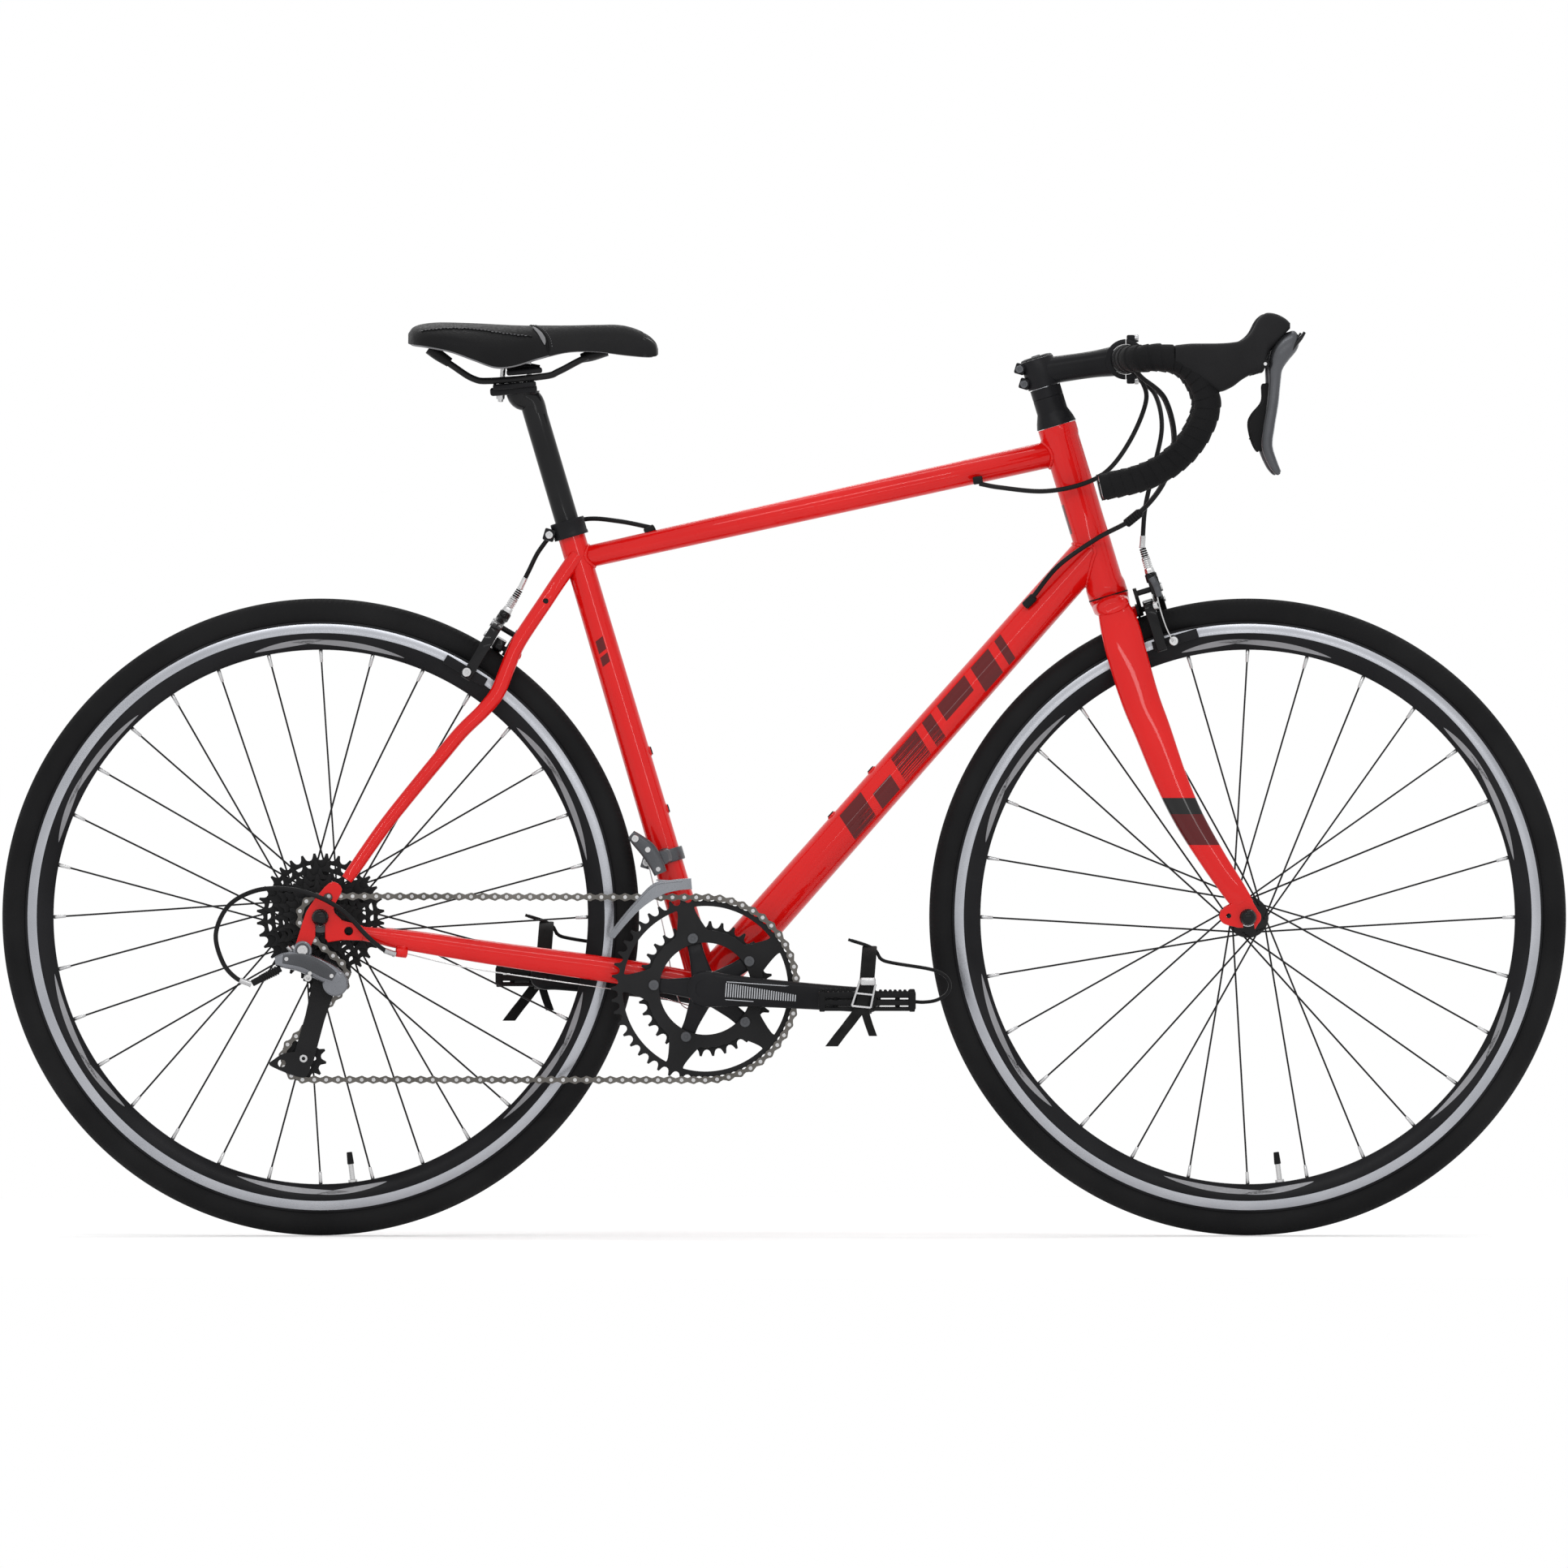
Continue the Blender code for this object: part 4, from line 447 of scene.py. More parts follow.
def banded(material, bands, axis="Z"):
    """Paints bands of other colours across an object's height or length."""
    tree = material.node_tree
    shader = tree.nodes["Principled BSDF"]
    place = add(tree, "ShaderNodeTexCoord").outputs["Object"]
    level = add(tree, "ShaderNodeSeparateXYZ", {"Vector": place}).outputs[axis]
    for low, high, colour in bands:
        above = add(tree, "ShaderNodeMath", {0: level, 1: low}, operation="GREATER_THAN")
        below = add(tree, "ShaderNodeMath", {0: level, 1: high}, operation="LESS_THAN")
        inside = add(tree, "ShaderNodeMath", {0: above.outputs[0], 1: below.outputs[0]},
                     operation="MULTIPLY")
        base = shader.inputs["Base Color"].links[0].from_socket
        shade = blend_colour(tree, inside.outputs[0], base, colour)
        tree.links.new(shade, shader.inputs["Base Color"])
    return material


PAINT = {"scale": 90.0, "detail": 2.0, "spread": 0.03, "bump": 0.05, "Coat_Weight": 0.45,
         "Coat_Roughness": 0.03, "Specular_IOR_Level": 0.1}
DULL = {"Specular_IOR_Level": 0.07}
RED, DARK_RED = (0.56, 0.002, 0.002), (0.08, 0.002, 0.003)
paint = make_material("red_paint", RED, 0.3, 0.0, (0.61, 0.004, 0.003), **PAINT)
dark_paint = make_material("dark_red_graphic", DARK_RED, 0.3, 0.0, (0.1, 0.003, 0.004), **PAINT)
fork_paint = banded(make_material("fork_paint", RED, 0.3, 0.0, (0.61, 0.004, 0.003), **PAINT),
                    ((0.4487, 0.466, (0.006, 0.006, 0.006)), (0.4159, 0.4487, DARK_RED)))
black = make_material("black_anodised", (0.006, 0.006, 0.007), 0.36, 0.0, scale=900, bump=0.12,
                      depth=6e-05, Specular_IOR_Level=0.1)
gloss_black = make_material("black_gloss", (0.005, 0.005, 0.0055), 0.16, 0.0, scale=60,
                            spread=0.04, bump=0.03, Coat_Weight=0.15, Coat_Roughness=0.08,
                            Specular_IOR_Level=0.08)
dark_steel = make_material("black_steel", (0.007, 0.007, 0.0075), 0.4, 0.0, scale=500, bump=0.15,
                           depth=8e-05, Specular_IOR_Level=0.12)
dark_grey = make_material("dark_grey_alloy", (0.055, 0.057, 0.062), 0.34, 0.75, scale=700,
                          bump=0.1, depth=6e-05)
silver = make_material("silver_alloy", (0.44, 0.45, 0.47), 0.26, 1.0, (0.33, 0.34, 0.36),
                       scale=420, bump=0.1, depth=8e-05, stretch=(0.3, 1, 1))
grey_alloy = make_material("grey_alloy", (0.16, 0.165, 0.18), 0.28, 1.0, (0.24, 0.25, 0.27),
                           scale=520, bump=0.1, depth=8e-05)
track = make_material("machined_track", (0.42, 0.43, 0.46), 0.3, 1.0, (0.34, 0.35, 0.38),
                      scale=1500, bump=0.2, depth=6e-05)
bolt_steel = make_material("bolt_steel", (0.58, 0.58, 0.58), 0.3, 1.0, (0.44, 0.44, 0.45),
                           scale=800, bump=0.1, depth=5e-05)
chain_steel = make_material("chain_steel", (0.16, 0.15, 0.14), 0.34, 1.0, (0.085, 0.08, 0.072),
                            scale=600, bump=0.2, depth=8e-05)
spoke_steel = make_material("black_spokes", (0.007, 0.007, 0.0075), 0.32, 0.0, scale=900,
                            bump=0.08, depth=5e-05, Specular_IOR_Level=0.12)
tyre_rubber = make_material("tyre_rubber", (0.007, 0.007, 0.0075), 0.66, 0.0,
                            (0.012, 0.012, 0.0125), scale=1400, bump=0.35, depth=0.0001, **DULL)
hood_rubber = make_material("hood_rubber", (0.01, 0.01, 0.0105), 0.62, 0.0, (0.016, 0.016, 0.017),
                            scale=800, bump=0.4, depth=0.0002, cells=900, **DULL)
tape_cover = make_material("bar_tape", (0.006, 0.006, 0.0065), 0.66, 0.0, (0.012, 0.012, 0.0125),
                           scale=700, bump=0.55, depth=0.00035, cells=420, **DULL)
black_leather = make_material("saddle_black", (0.0065, 0.0065, 0.007), 0.48, 0.0,
                              (0.011, 0.011, 0.0115), bump=0.5, depth=0.0003, cells=650, **DULL)
grey_leather = make_material("saddle_grey", (0.01, 0.01, 0.0105), 0.5, 0.0,
                             (0.0145, 0.0145, 0.015), bump=0.5, depth=0.0003, cells=650, **DULL)
light_trim = make_material("light_trim", (0.1, 0.1, 0.105), 0.5, 0.0, scale=900, bump=0.3)
resin = make_material("moulded_resin", (0.008, 0.008, 0.0085), 0.48, 0.0, (0.013, 0.013, 0.0135),
                      scale=1100, bump=0.35, depth=0.00012, **DULL)
webbing = make_material("strap_webbing", (0.0075, 0.0075, 0.0075), 0.7, 0.0, (0.014, 0.014, 0.014),
                        scale=500, bump=0.6, depth=0.0002, stretch=(6, 1, 6), **DULL)
housing_cover = make_material("cable_housing", (0.006, 0.006, 0.0065), 0.34, 0.0, scale=700,
                              bump=0.1, depth=5e-05, Specular_IOR_Level=0.1)
graphic_grey = make_material("rim_graphic", (0.17, 0.17, 0.18), 0.38, 0.2, scale=500, bump=0.1)
thread = make_material("saddle_thread", (0.1, 0.1, 0.105), 0.7, 0.0, scale=2500, bump=0.5,
                       depth=0.0002)


# ------------------------ stage


def area_light(name, place, aim, size, power):
    data = bpy.data.lights.new(name, "AREA")
    data.shape = "RECTANGLE"
    data.size, data.size_y = size
    data.energy = power
    light = placed(name, data)
    light.location = place
    light.rotation_euler = (Vector(aim) - Vector(place)).to_track_quat("-Z", "Y").to_euler()


def make_stage():
    scene = bpy.context.scene
    scene.view_settings.view_transform = "Standard"
    world = bpy.data.worlds.new("studio")
    world.use_nodes = True
    tree = world.node_tree
    sky = tree.nodes["Background"]
    sky.inputs["Color"].default_value = (1.0, 1.0, 1.0, 1)
    sky.inputs["Strength"].default_value = 1.0
    scene.world = world
    radius, thick = 3.2, 0.0002
    floor = turned("floor", [(0, 0), (radius, 0), (radius, -thick), (0, -thick)], (0, 0, -0.0005),
                   UP, 96)
    white = make_material("pale_floor", (0.9, 0.9, 0.9), 0.9, 0.0, (0.92, 0.92, 0.92), scale=3.0,
                          bump=0.0, Specular_IOR_Level=0.0)
    floor.data.materials.append(white)
    area_light("key", (-0.3, -3.0, 3.0), (0, 0, 0.45), (3.4, 0.22), 26)
    area_light("fill", (0.6, -3.4, 1.0), (0, 0, 0.45), (2.4, 0.1), 5)
    area_light("top", (0.2, 0.3, 3.6), (0, 0, 0.4), (3.2, 0.25), 14)
    area_light("back", (0.3, 3.0, 3.0), (0, 0, 0.5), (3.4, 0.22), 20)
    camera = placed("camera", bpy.data.cameras.new("camera"))
    distance, height, sensor, view_width = 60.0, 0.4805, 36, 1.6687
    rise = math.radians(0.3)
    camera.location = (-0.0002, -distance * math.cos(rise), height + distance * math.sin(rise))
    camera.rotation_euler = (math.pi / 2 - rise, 0, 0)
    camera.data.sensor_width = sensor
    camera.data.lens = sensor * distance / view_width
    camera.data.clip_end = 200
    scene.camera = camera


# ------------------------ frame tubes


def seat_at(height):
    return BRACKET + SEAT_UP * height


def head_at(height):
    return HEAD_FOOT + HEAD_UP * height


def weld(name, start, way, radius, other, other_way, other_radius, thick=0.0021, count=200):
    """Bead of overlapping ripples where a round tube meets another, round the tube's end.

    The tube starts inside the other one and leaves it along its way.
    """
    way, other_way = way.normalized(), other_way.normalized()
    side = way.orthogonal().normalized()
    over = way.cross(side)
    places = []
    for k in range(count):
        angle = TURN * k / count
        near = start + (side * math.cos(angle) + over * math.sin(angle)) * radius - other
        flat = near - other_way * near.dot(other_way)
        run = way - other_way * way.dot(other_way)
        a, b, c = run.dot(run), 2 * flat.dot(run), flat.dot(flat) - other_radius ** 2
        inside = b * b - 4 * a * c
        if inside < 0:
            inside = 0
        places.append(near + other + way * ((-b + math.sqrt(inside)) / (2 * a)))

    def size(run, angle):
        return thick * (0.86 + 0.14 * abs(math.sin(run / 0.0044 * TURN / 2)))
    return wire(name, places, size, 10, False, True)


def boss(tube_start, way, surface, distance):
    """Bottle cage boss: a raised collar and its button-headed screw."""
    outward = way.cross(LEFT)
    if outward.z < 0:
        outward = -outward
    foot = tube_start + way * distance
    collar = rod("collar", foot + outward * (surface - 0.003), foot + outward * (surface + 0.0012),
                 0.0055, edge=0.0005)
    screw = socket_bolt("screw", foot + outward * (surface + 0.0012), outward, 0.0044, 0.0013, 0.8)
    return (collar, screw)


def make_frame():
    head_radius, bead = 0.0198, 0.0213
    head = turned("head", [(bead - 0.0005, HEAD_LENGTH), (bead - 0.0005, HEAD_LENGTH - 0.01),
                           (head_radius, HEAD_LENGTH - 0.015), (head_radius, 0.017), (bead, 0.011),
                           (bead, 0.0004), (bead - 0.0004, 0), (0.0148, 0), (0.0148, HEAD_LENGTH)],
                  HEAD_FOOT, HEAD_UP, 72)
    put("head_tube_shell", head, "frame", "head_tube", paint, 50)

    top_rear, top_front = Vector((-0.2195, 0, 0.7199)), Vector((0.298, 0, 0.8348))
    top_way = (top_front - top_rear).normalized()
    top = rod("top", top_rear + top_way * 0.004, top_front - top_way * 0.004, TOP_REAR_RADIUS,
              TOP_FRONT_RADIUS, sides=64)
    welds = [weld("w1", top_rear, top_way, TOP_REAR_RADIUS, BRACKET, SEAT_UP, SEAT_TOP_RADIUS),
             weld("w2", top_front + top_way * 0.004, -top_way, TOP_FRONT_RADIUS, HEAD_FOOT,
                  HEAD_UP, head_radius)]
    exit_boss = [rod("port", (0.201, -0.0165, 0.803), (0.211, -0.016, 0.8045), 0.0042),
                 rod("port", (-0.148, 0.001, 0.748), (-0.138, 0.003, 0.753), 0.0045)]
    put("top_tube_shell", [top, *welds], "frame", "top_tube", paint, 50)
    put("top_tube_ports", exit_boss, "frame", "top_tube", resin)

    down_front = Vector((0.3298, 0, 0.7309))
    down_way = (down_front - BRACKET).normalized()
    length = (down_front - BRACKET).length
    rows = [(0.0, DOWN_FOOT_RADIUS), (0.25, 0.0216), (0.5, 0.0212), (1.0, DOWN_TOP_RADIUS)]
    down = turned("down", [(0, length), *[(r, length * s) for s, r in reversed(rows)], (0, 0)],
                  BRACKET, down_way, 72)
    collars, screws = zip(*[boss(BRACKET, down_way, 0.0212, d) for d in (0.227, 0.291)])
    welds = [weld("w3", down_front, -down_way, DOWN_TOP_RADIUS, HEAD_FOOT, HEAD_UP, head_radius),
             weld("w4", BRACKET, down_way, 0.0198, BRACKET, LEFT, SHELL_RADIUS)]
    put("down_tube_shell", [down, *collars, *welds], "frame", "down_tube", paint, 50)
    put("down_tube_screws", list(screws), "frame", "down_tube", dark_steel)

    ports = [rod(f"port_{s}", (0.266, s * 0.0218, 0.68), (0.256, s * 0.0185, 0.67), 0.0046)
             for s in (-1, 1)]
    put("down_tube_ports", ports, "frame", "down_tube", resin)

    graphics = []
    for side in (-1, 1):
        for start, end, low, high in ((0.228, 0.262, -44, 44), (0.272, 0.3, -44, 10),
                                      (0.31, 0.35, -44, 44), (0.36, 0.374, -44, 44),
                                      (0.384, 0.428, -10, 44), (0.438, 0.466, -44, 44),
                                      (0.476, 0.486, -44, 44)):
            graphics.append(tube_patch(BRACKET, down_way, length, DOWN_FOOT_RADIUS,
                                       DOWN_TOP_RADIUS, side, start, end, low, high))
    put("down_tube_graphics", graphics, "frame", "down_tube", dark_paint)

    seat = turned("seat", [(SEAT_TOP_RADIUS, SEAT_LENGTH), (SEAT_FOOT_RADIUS, 0), (0, 0), (0, 0.2),
                           (0.0131, 0.2), (0.0131, SEAT_LENGTH)], BRACKET, SEAT_UP, 64)
    shell = turned("shell", [(SHELL_RADIUS, 0.0336), (0.0201, 0.034), (0.0178, 0.034),
                             (0.0178, -0.034), (0.0201, -0.034), (SHELL_RADIUS, -0.0336)], BRACKET,
                   LEFT, 72)
    collars, screws = zip(*[boss(BRACKET, SEAT_UP, 0.015, d) for d in (0.195, 0.259)])
    welds = [weld("w5", BRACKET, SEAT_UP, SEAT_FOOT_RADIUS, BRACKET, LEFT, SHELL_RADIUS)]
    put("seat_tube_shell", [seat, shell, *collars, *welds], "frame", "seat_tube", paint, 50)
    put("seat_tube_screws", list(screws), "frame", "seat_tube", dark_steel)

    marks = [tube_patch(BRACKET, SEAT_UP, SEAT_LENGTH, SEAT_FOOT_RADIUS, SEAT_TOP_RADIUS, side,
                        start, end, -30, 6) for side in (-1, 1)
             for start, end in ((0.362, 0.372), (0.376, 0.39))]
    put("seat_tube_graphics", marks, "frame", "seat_tube", dark_paint)

    badge = tube_patch(HEAD_FOOT, HEAD_UP, HEAD_LENGTH, head_radius, head_radius, 1, 0.08, 0.112,
                       -118, -62)
    put("head_tube_badge", badge, "frame", "head_tube", dark_paint)

    for side, sign in SIDES:
        make_chainstay(side, sign)
    make_seatstays()
    make_seat_clamp()
    cups = [turned(f"cup_{sign}", [(0.0195, 0.039), (0.0195, 0.0352), (0.019, 0.0345),
                                   (0.0175, 0.0343), (0.0175, 0.03), (0.0124, 0.03),
                                   (0.0124, 0.039)], BRACKET, LEFT * sign, 72) for sign in (-1, 1)]
    notches = [block("notch", BRACKET + around(0.0185, a, s * 0.0371), (0.0022, 0.0034, 0.003), -a,
                     0.0004) for s in (-1, 1) for a in angles(16)]
    put("bottom_bracket_cups", cups + notches, "frame", "bottom_bracket", dark_steel)


def tube_patch(foot, way, length, low_radius, high_radius, side, start, end, low, high):
    """Thin painted panel on a tube's flank, between two distances and two heights in degrees."""
    over = way.cross(LEFT)
    if over.z < 0:
        over = -over
    rings = []
    for k in range(25):
        run = start + (end - start) * k / 24
        ring = []
        for lift, order in ((0.00012, 1), (-0.0002, -1)):
            radius = low_radius + (high_radius - low_radius) * run / length + lift
            angles = [math.radians(low + (high - low) * j / 12) for j in range(13)][::order]
            ring += [foot + way * (run + 0.006 * math.sin(a)) + LEFT * side * math.cos(a) * radius
                     + over * math.sin(a) * radius for a in angles]
        rings.append(ring)
    return skin("panel", rings)


def dropout_outline(with_hanger):
    x, z = REAR_AXLE.x, REAR_AXLE.z
    slot = 0.0052
    arch = circle((x, z), slot, 13, 0, math.pi)
    front = [(-0.448, 0.33), (-0.448, 0.3145), (-0.47, 0.315), (-0.485, 0.3125), (x + slot, 0.317)]
    if with_hanger:
        rear = [(x - slot, 0.319)] + circle((HANGER.x, HANGER.z), 0.0095, 12, math.radians(25),
                math.radians(-200))
    else:
        rear = [(x - slot, 0.316), (-0.506, 0.318)]
    top = smooth([(-0.512, 0.334), (-0.505, 0.35), (-0.483, 0.376), (-0.47, 0.369),
                  (-0.479, 0.348), (-0.47, 0.336)], 4)
    return front + arch + rear + [tuple(point) for point in top]


def make_chainstay(side, sign):
    stations = [(-0.45, 0.3222, 0.0665, 0.0072, 0.005), (-0.43, 0.319, 0.064, 0.0085, 0.0062),
                (-0.4, 0.3142, 0.058, 0.0105, 0.007), (-0.3, 0.299, 0.043, 0.0122, 0.0078),
                (-0.1857, 0.2829, 0.03, 0.0135, 0.0076), (-0.13, 0.2735, 0.027, 0.0138, 0.0074),
                (-0.085, 0.265, 0.0235, 0.0138, 0.0074)]
    stay = limb("stay", mirrored(stations, sign), 8)
    centre = sign * 0.0683
    holes = [circle((-0.485, 0.36), 0.0048, 24), circle((-0.463, 0.3245), 0.0046, 24)]
    end = side_plate("end", [dropout_outline(sign < 0)] + holes, centre, 0.0058, 0.0008)
    shapes = [stay, end]
    tip = limb("tip", [(-0.456, sign * 0.0672, 0.3224, 0.0042, 0.006),
                       (-0.45, sign * 0.0665, 0.3222, 0.005, 0.0072),
                       (-0.444, sign * 0.066, 0.3212, 0.0054, 0.0076)], 6)
    shapes.append(tip)
    if sign < 0:
        shapes.append(rod("stop", (-0.401, -0.0605, 0.301), (-0.413, -0.0625, 0.3026), 0.0055))
        shapes.append(block("stop_foot", (-0.407, -0.0615, 0.306), (0.01, 0.005, 0.01)))
    put(f"chainstay_{side}_shell", shapes, "frame", f"chainstay_{side}", paint, 50)


CALIPERS = {"rear": (Vector((-0.3026, 0, 0.627)), Vector((0.5157, 0, 0.8569)).normalized(), -LEFT),
            "front": (Vector((0.3869, 0, 0.668)), HEAD_UP, LEFT)}


def caliper_matrix(place):
    """Frame of a brake: X to the side, Y up from the rim, Z away from its bridge."""
    spot, up, side = CALIPERS[place]
    turn = Matrix((side, up, side.cross(up))).transposed().to_4x4()
    return Matrix.Translation(spot) @ turn


def caliper_spot(place):
    """Function from a point in a brake's own frame to the bicycle's."""
    at = caliper_matrix(place)
    return lambda *point: at @ Vector(point)


def brake_mount(place, root):
    """Bolts and backing plate that carry the two arms of a caliper."""
    at, spot = caliper_matrix(place), caliper_spot(place)
    outline = circle((-0.022, 0.018), 0.0062, 14, math.radians(60),
                     math.radians(180)) + circle((0, 0), 0.0066, 14, math.radians(240),
                             math.radians(180))
    return [rod("bolt", spot(0, 0, root), spot(0, 0, 0.0077), 0.003),
            rod("pin", spot(-0.022, 0.018, -0.009), spot(-0.022, 0.018, 0.019), 0.003),
            plate("back", [outline], 0.004, at @ Matrix.Translation((0, 0, -0.008)), 0.0005),
            rod("spacer", spot(0, 0, -0.0125), spot(0, 0, -0.0098), 0.0075)]


def make_seatstays():
    stations = [(-0.22, 0.725, 0.01, 0.008, 0.0066), (-0.242, 0.693, 0.014, 0.008, 0.0066),
                (-0.2539, 0.675, 0.018, 0.008, 0.0066), (-0.2824, 0.6318, 0.024, 0.008, 0.0066),
                (-0.294, 0.605, 0.0262, 0.008, 0.0066), (-0.305, 0.578, 0.028, 0.008, 0.0066),
                (-0.32, 0.559, 0.029, 0.0078, 0.0066), (-0.342, 0.5375, 0.0305, 0.0076, 0.0066),
                (-0.3645, 0.5109, 0.0335, 0.0076, 0.0064),
                (-0.4206, 0.4418, 0.0465, 0.0072, 0.006), (-0.456, 0.392, 0.06, 0.0068, 0.0056),
                (-0.465, 0.3795, 0.066, 0.006, 0.005)]
    stays = [limb(f"stay_{sign}", mirrored(stations, sign), 6) for sign in (-1, 1)]
    bridge = cross_rod("bridge", (-0.287, 0, 0.6185), -0.026, 0.026, 0.006)
    collars = [cross_rod(f"collar_{s}", (-0.287, 0, 0.6185), s * 0.0215 - 0.002,
                         s * 0.0215 + 0.002, 0.0074) for s in (-1, 1)]
    yoke = cross_rod("yoke", (-0.237, 0, 0.7), -0.012, 0.012, 0.0068)
    put("seatstay_tubes", [*stays, bridge, *collars, yoke], "frame", "seatstays", paint, 50)

    plugs = [cross_rod(f"plug_{s}", (-0.2538, 0, 0.6752), s * 0.018 - 0.007, s * 0.018 + 0.007,
                       0.003) for s in (-1, 1)]
    put("seatstay_plugs", plugs, "frame", "seatstays", resin)
    put("rear_brake_mount", brake_mount("rear", -0.018), "frame", "seatstays", dark_steel)


def make_seat_clamp():
    low, high = SEAT_LENGTH - 0.01, SEAT_LENGTH + 0.0085
    clamp = turned("clamp", [(0.0178, high), (0.0185, high - 0.0009), (0.0185, high - 0.004),
                             (0.018, high - 0.0048), (0.018, low + 0.004), (0.0185, low + 0.0032),
                             (0.0185, low), (0.0148, low), (0.0148, SEAT_LENGTH),
                             (0.0132, SEAT_LENGTH), (0.0132, high)], BRACKET, SEAT_UP, 72)
    behind = seat_at(SEAT_LENGTH - 0.0015) + Vector((-0.0215, 0, -0.006))
    ears = [block(f"ear_{s}", behind + Vector((0, s * 0.0062, 0)), (0.012, 0.0095, 0.013), 0.29,
                  0.0015) for s in (-1, 1)]
    put("seat_clamp_ring", [clamp, *ears], "frame", "seatpost_clamp", black)

    bolt = [cross_rod("bolt", behind, -0.01, 0.01, 0.0028),
            socket_bolt("head", behind + Vector((0, -0.0108, 0)), -LEFT, 0.0042, 0.0032),
            hex_nut("nut", behind + Vector((0, 0.0108, 0)), LEFT, 0.0042, 0.0032)]
    put("seat_clamp_bolt", bolt, "frame", "seatpost_clamp", bolt_steel)


# ------------------------ saddle and post


def make_seat():
    post = turned("post", [(0, 0.65), (0.0122, 0.65), (0.0127, 0.649), (0.0127, 0.371),
                           (0.0122, 0.37), (0, 0.37)], BRACKET, SEAT_UP, 64)
    neck = limb("neck", [(*seat_at(0.632), 0.0126, 0.0126), (*seat_at(0.65), 0.013, 0.013),
                         (-0.2782, 0, 0.893, 0.015, 0.015), (-0.279, 0, 0.8985, 0.0165, 0.019)], 6,
                40)
    cradle = block("cradle", (-0.288, 0, 0.8995), (0.05, 0.034, 0.009), -0.08, 0.003, None, 4)
    ridges = [cross_rod(f"ridge_{k}", (-0.308 + 0.008 * k, 0, 0.906 + 0.0006 * k), -0.0165, 0.0165,
                        0.0016) for k in range(6)]
    put("seatpost_tube", [post, neck], "seat", "seatpost", gloss_black, 50)

    lower = block("lower", (-0.287, 0, 0.9045), (0.046, 0.052, 0.006), -0.08, 0.002, None, 3)
    upper = block("upper", (-0.2765, 0, 0.9195), (0.038, 0.053, 0.0062), -0.08, 0.0022, None, 3)
    crown = limb("crown", [(-0.295, 0, 0.9205, 0.01, 0.003), (-0.2765, 0, 0.9245, 0.012, 0.004),
                           (-0.26, 0, 0.9235, 0.01, 0.003)], 6)
    put("seatpost_clamps", [cradle, *ridges, lower, upper, crown], "seat", "seatpost", black, 40)

    bolts = [rod("stud", (-0.27, 0, 0.888), (-0.272, 0, 0.927), 0.0028),
             socket_bolt("head", (-0.27, 0, 0.8935), (0.05, 0, -1), 0.0046, 0.0052),
             rod("stud", (-0.302, 0, 0.887), (-0.299, 0, 0.924), 0.0028),
             socket_bolt("head", (-0.3018, 0, 0.895), (-0.05, 0, -1), 0.0046, 0.0052),
             cross_rod("nut", (-0.2722, 0, 0.927), -0.007, 0.007, 0.0036)]
    put("seatpost_bolts", bolts, "seat", "seatpost", bolt_steel)

    half = [(-0.37, 0.03, 0.938), (-0.3515, 0.027, 0.9247), (-0.3308, 0.023, 0.9118),
            (-0.3118, 0.022, 0.9095), (-0.2557, 0.022, 0.9143), (-0.24, 0.0205, 0.9195),
            (-0.22, 0.015, 0.93), (-0.2085, 0.008, 0.9355)]
    route = smooth(half + [(x, -y, z) for x, y, z in reversed(half)], 10)
    put("saddle_rail_bar", wire("rails", route, 0.0035, 24), "seat", "saddle_rails", dark_steel)

    sockets = [limb("socket", [(-0.356, s * 0.0278, 0.929, 0.0055, 0.0052),
                               (-0.368, s * 0.03, 0.937, 0.0085, 0.0062),
                               (-0.378, s * 0.032, 0.944, 0.011, 0.006)], 5) for s in (-1, 1)]
    sockets.append(limb("nose_socket", [(-0.216, 0, 0.9335, 0.013, 0.005),
                                        (-0.204, 0, 0.937, 0.014, 0.0062),
                                        (-0.188, 0, 0.941, 0.012, 0.005)], 5))
    put("saddle_rail_sockets", sockets, "seat", "saddle_rails", resin)

    make_saddle()


SADDLE = [(-0.4, 0.96, 0.949, 0.026), (-0.394, 0.967, 0.947, 0.05), (-0.38, 0.9708, 0.945, 0.066),
          (-0.355, 0.9722, 0.94, 0.0745), (-0.33, 0.9718, 0.931, 0.0735),
          (-0.308, 0.9708, 0.9235, 0.066), (-0.288, 0.9698, 0.9245, 0.056),
          (-0.26, 0.969, 0.933, 0.041), (-0.23, 0.9688, 0.94, 0.03),
          (-0.2, 0.9692, 0.9405, 0.0245), (-0.17, 0.9678, 0.937, 0.0215),
          (-0.148, 0.96, 0.935, 0.019), (-0.1375, 0.9515, 0.9355, 0.014),
          (-0.1342, 0.944, 0.9375, 0.008)]
SADDLE_ROWS = smooth(SADDLE, 10)


def saddle_arch(row, lift, steps):
    """Points over the top of the saddle at one station, from its right edge to its left."""
    x, top, skirt, half = row
    places = []
    for k in range(steps + 1):
        angle = math.pi * k / steps
        over = math.sin(angle) ** 0.62
        dip = 0.0022 * math.exp(-(math.cos(angle) / 0.16) ** 2) * smooth_step(-0.37, -0.33,
                x) * (1 - smooth_step(-0.22, -0.18, x))
        places.append(Vector((x, (half + lift) * math.cos(angle),
                              skirt + (top - skirt + lift) * over - dip)))
    return places


def smooth_step(low, high, value):
    share = min(max((value - low) / (high - low), 0), 1)
    return share * share * (3 - 2 * share)


def saddle_rows(first, last):
    return [row for row in SADDLE_ROWS if first <= row[0] <= last]


def row_at(x):
    """One station of the saddle, at any distance along it."""
    for near, far in zip(SADDLE_ROWS, SADDLE_ROWS[1:]):
        if near[0] <= x <= far[0]:
            share = (x - near[0]) / (far[0] - near[0])
            return [a + (b - a) * share for a, b in zip(near, far)]
    return SADDLE_ROWS[-1]


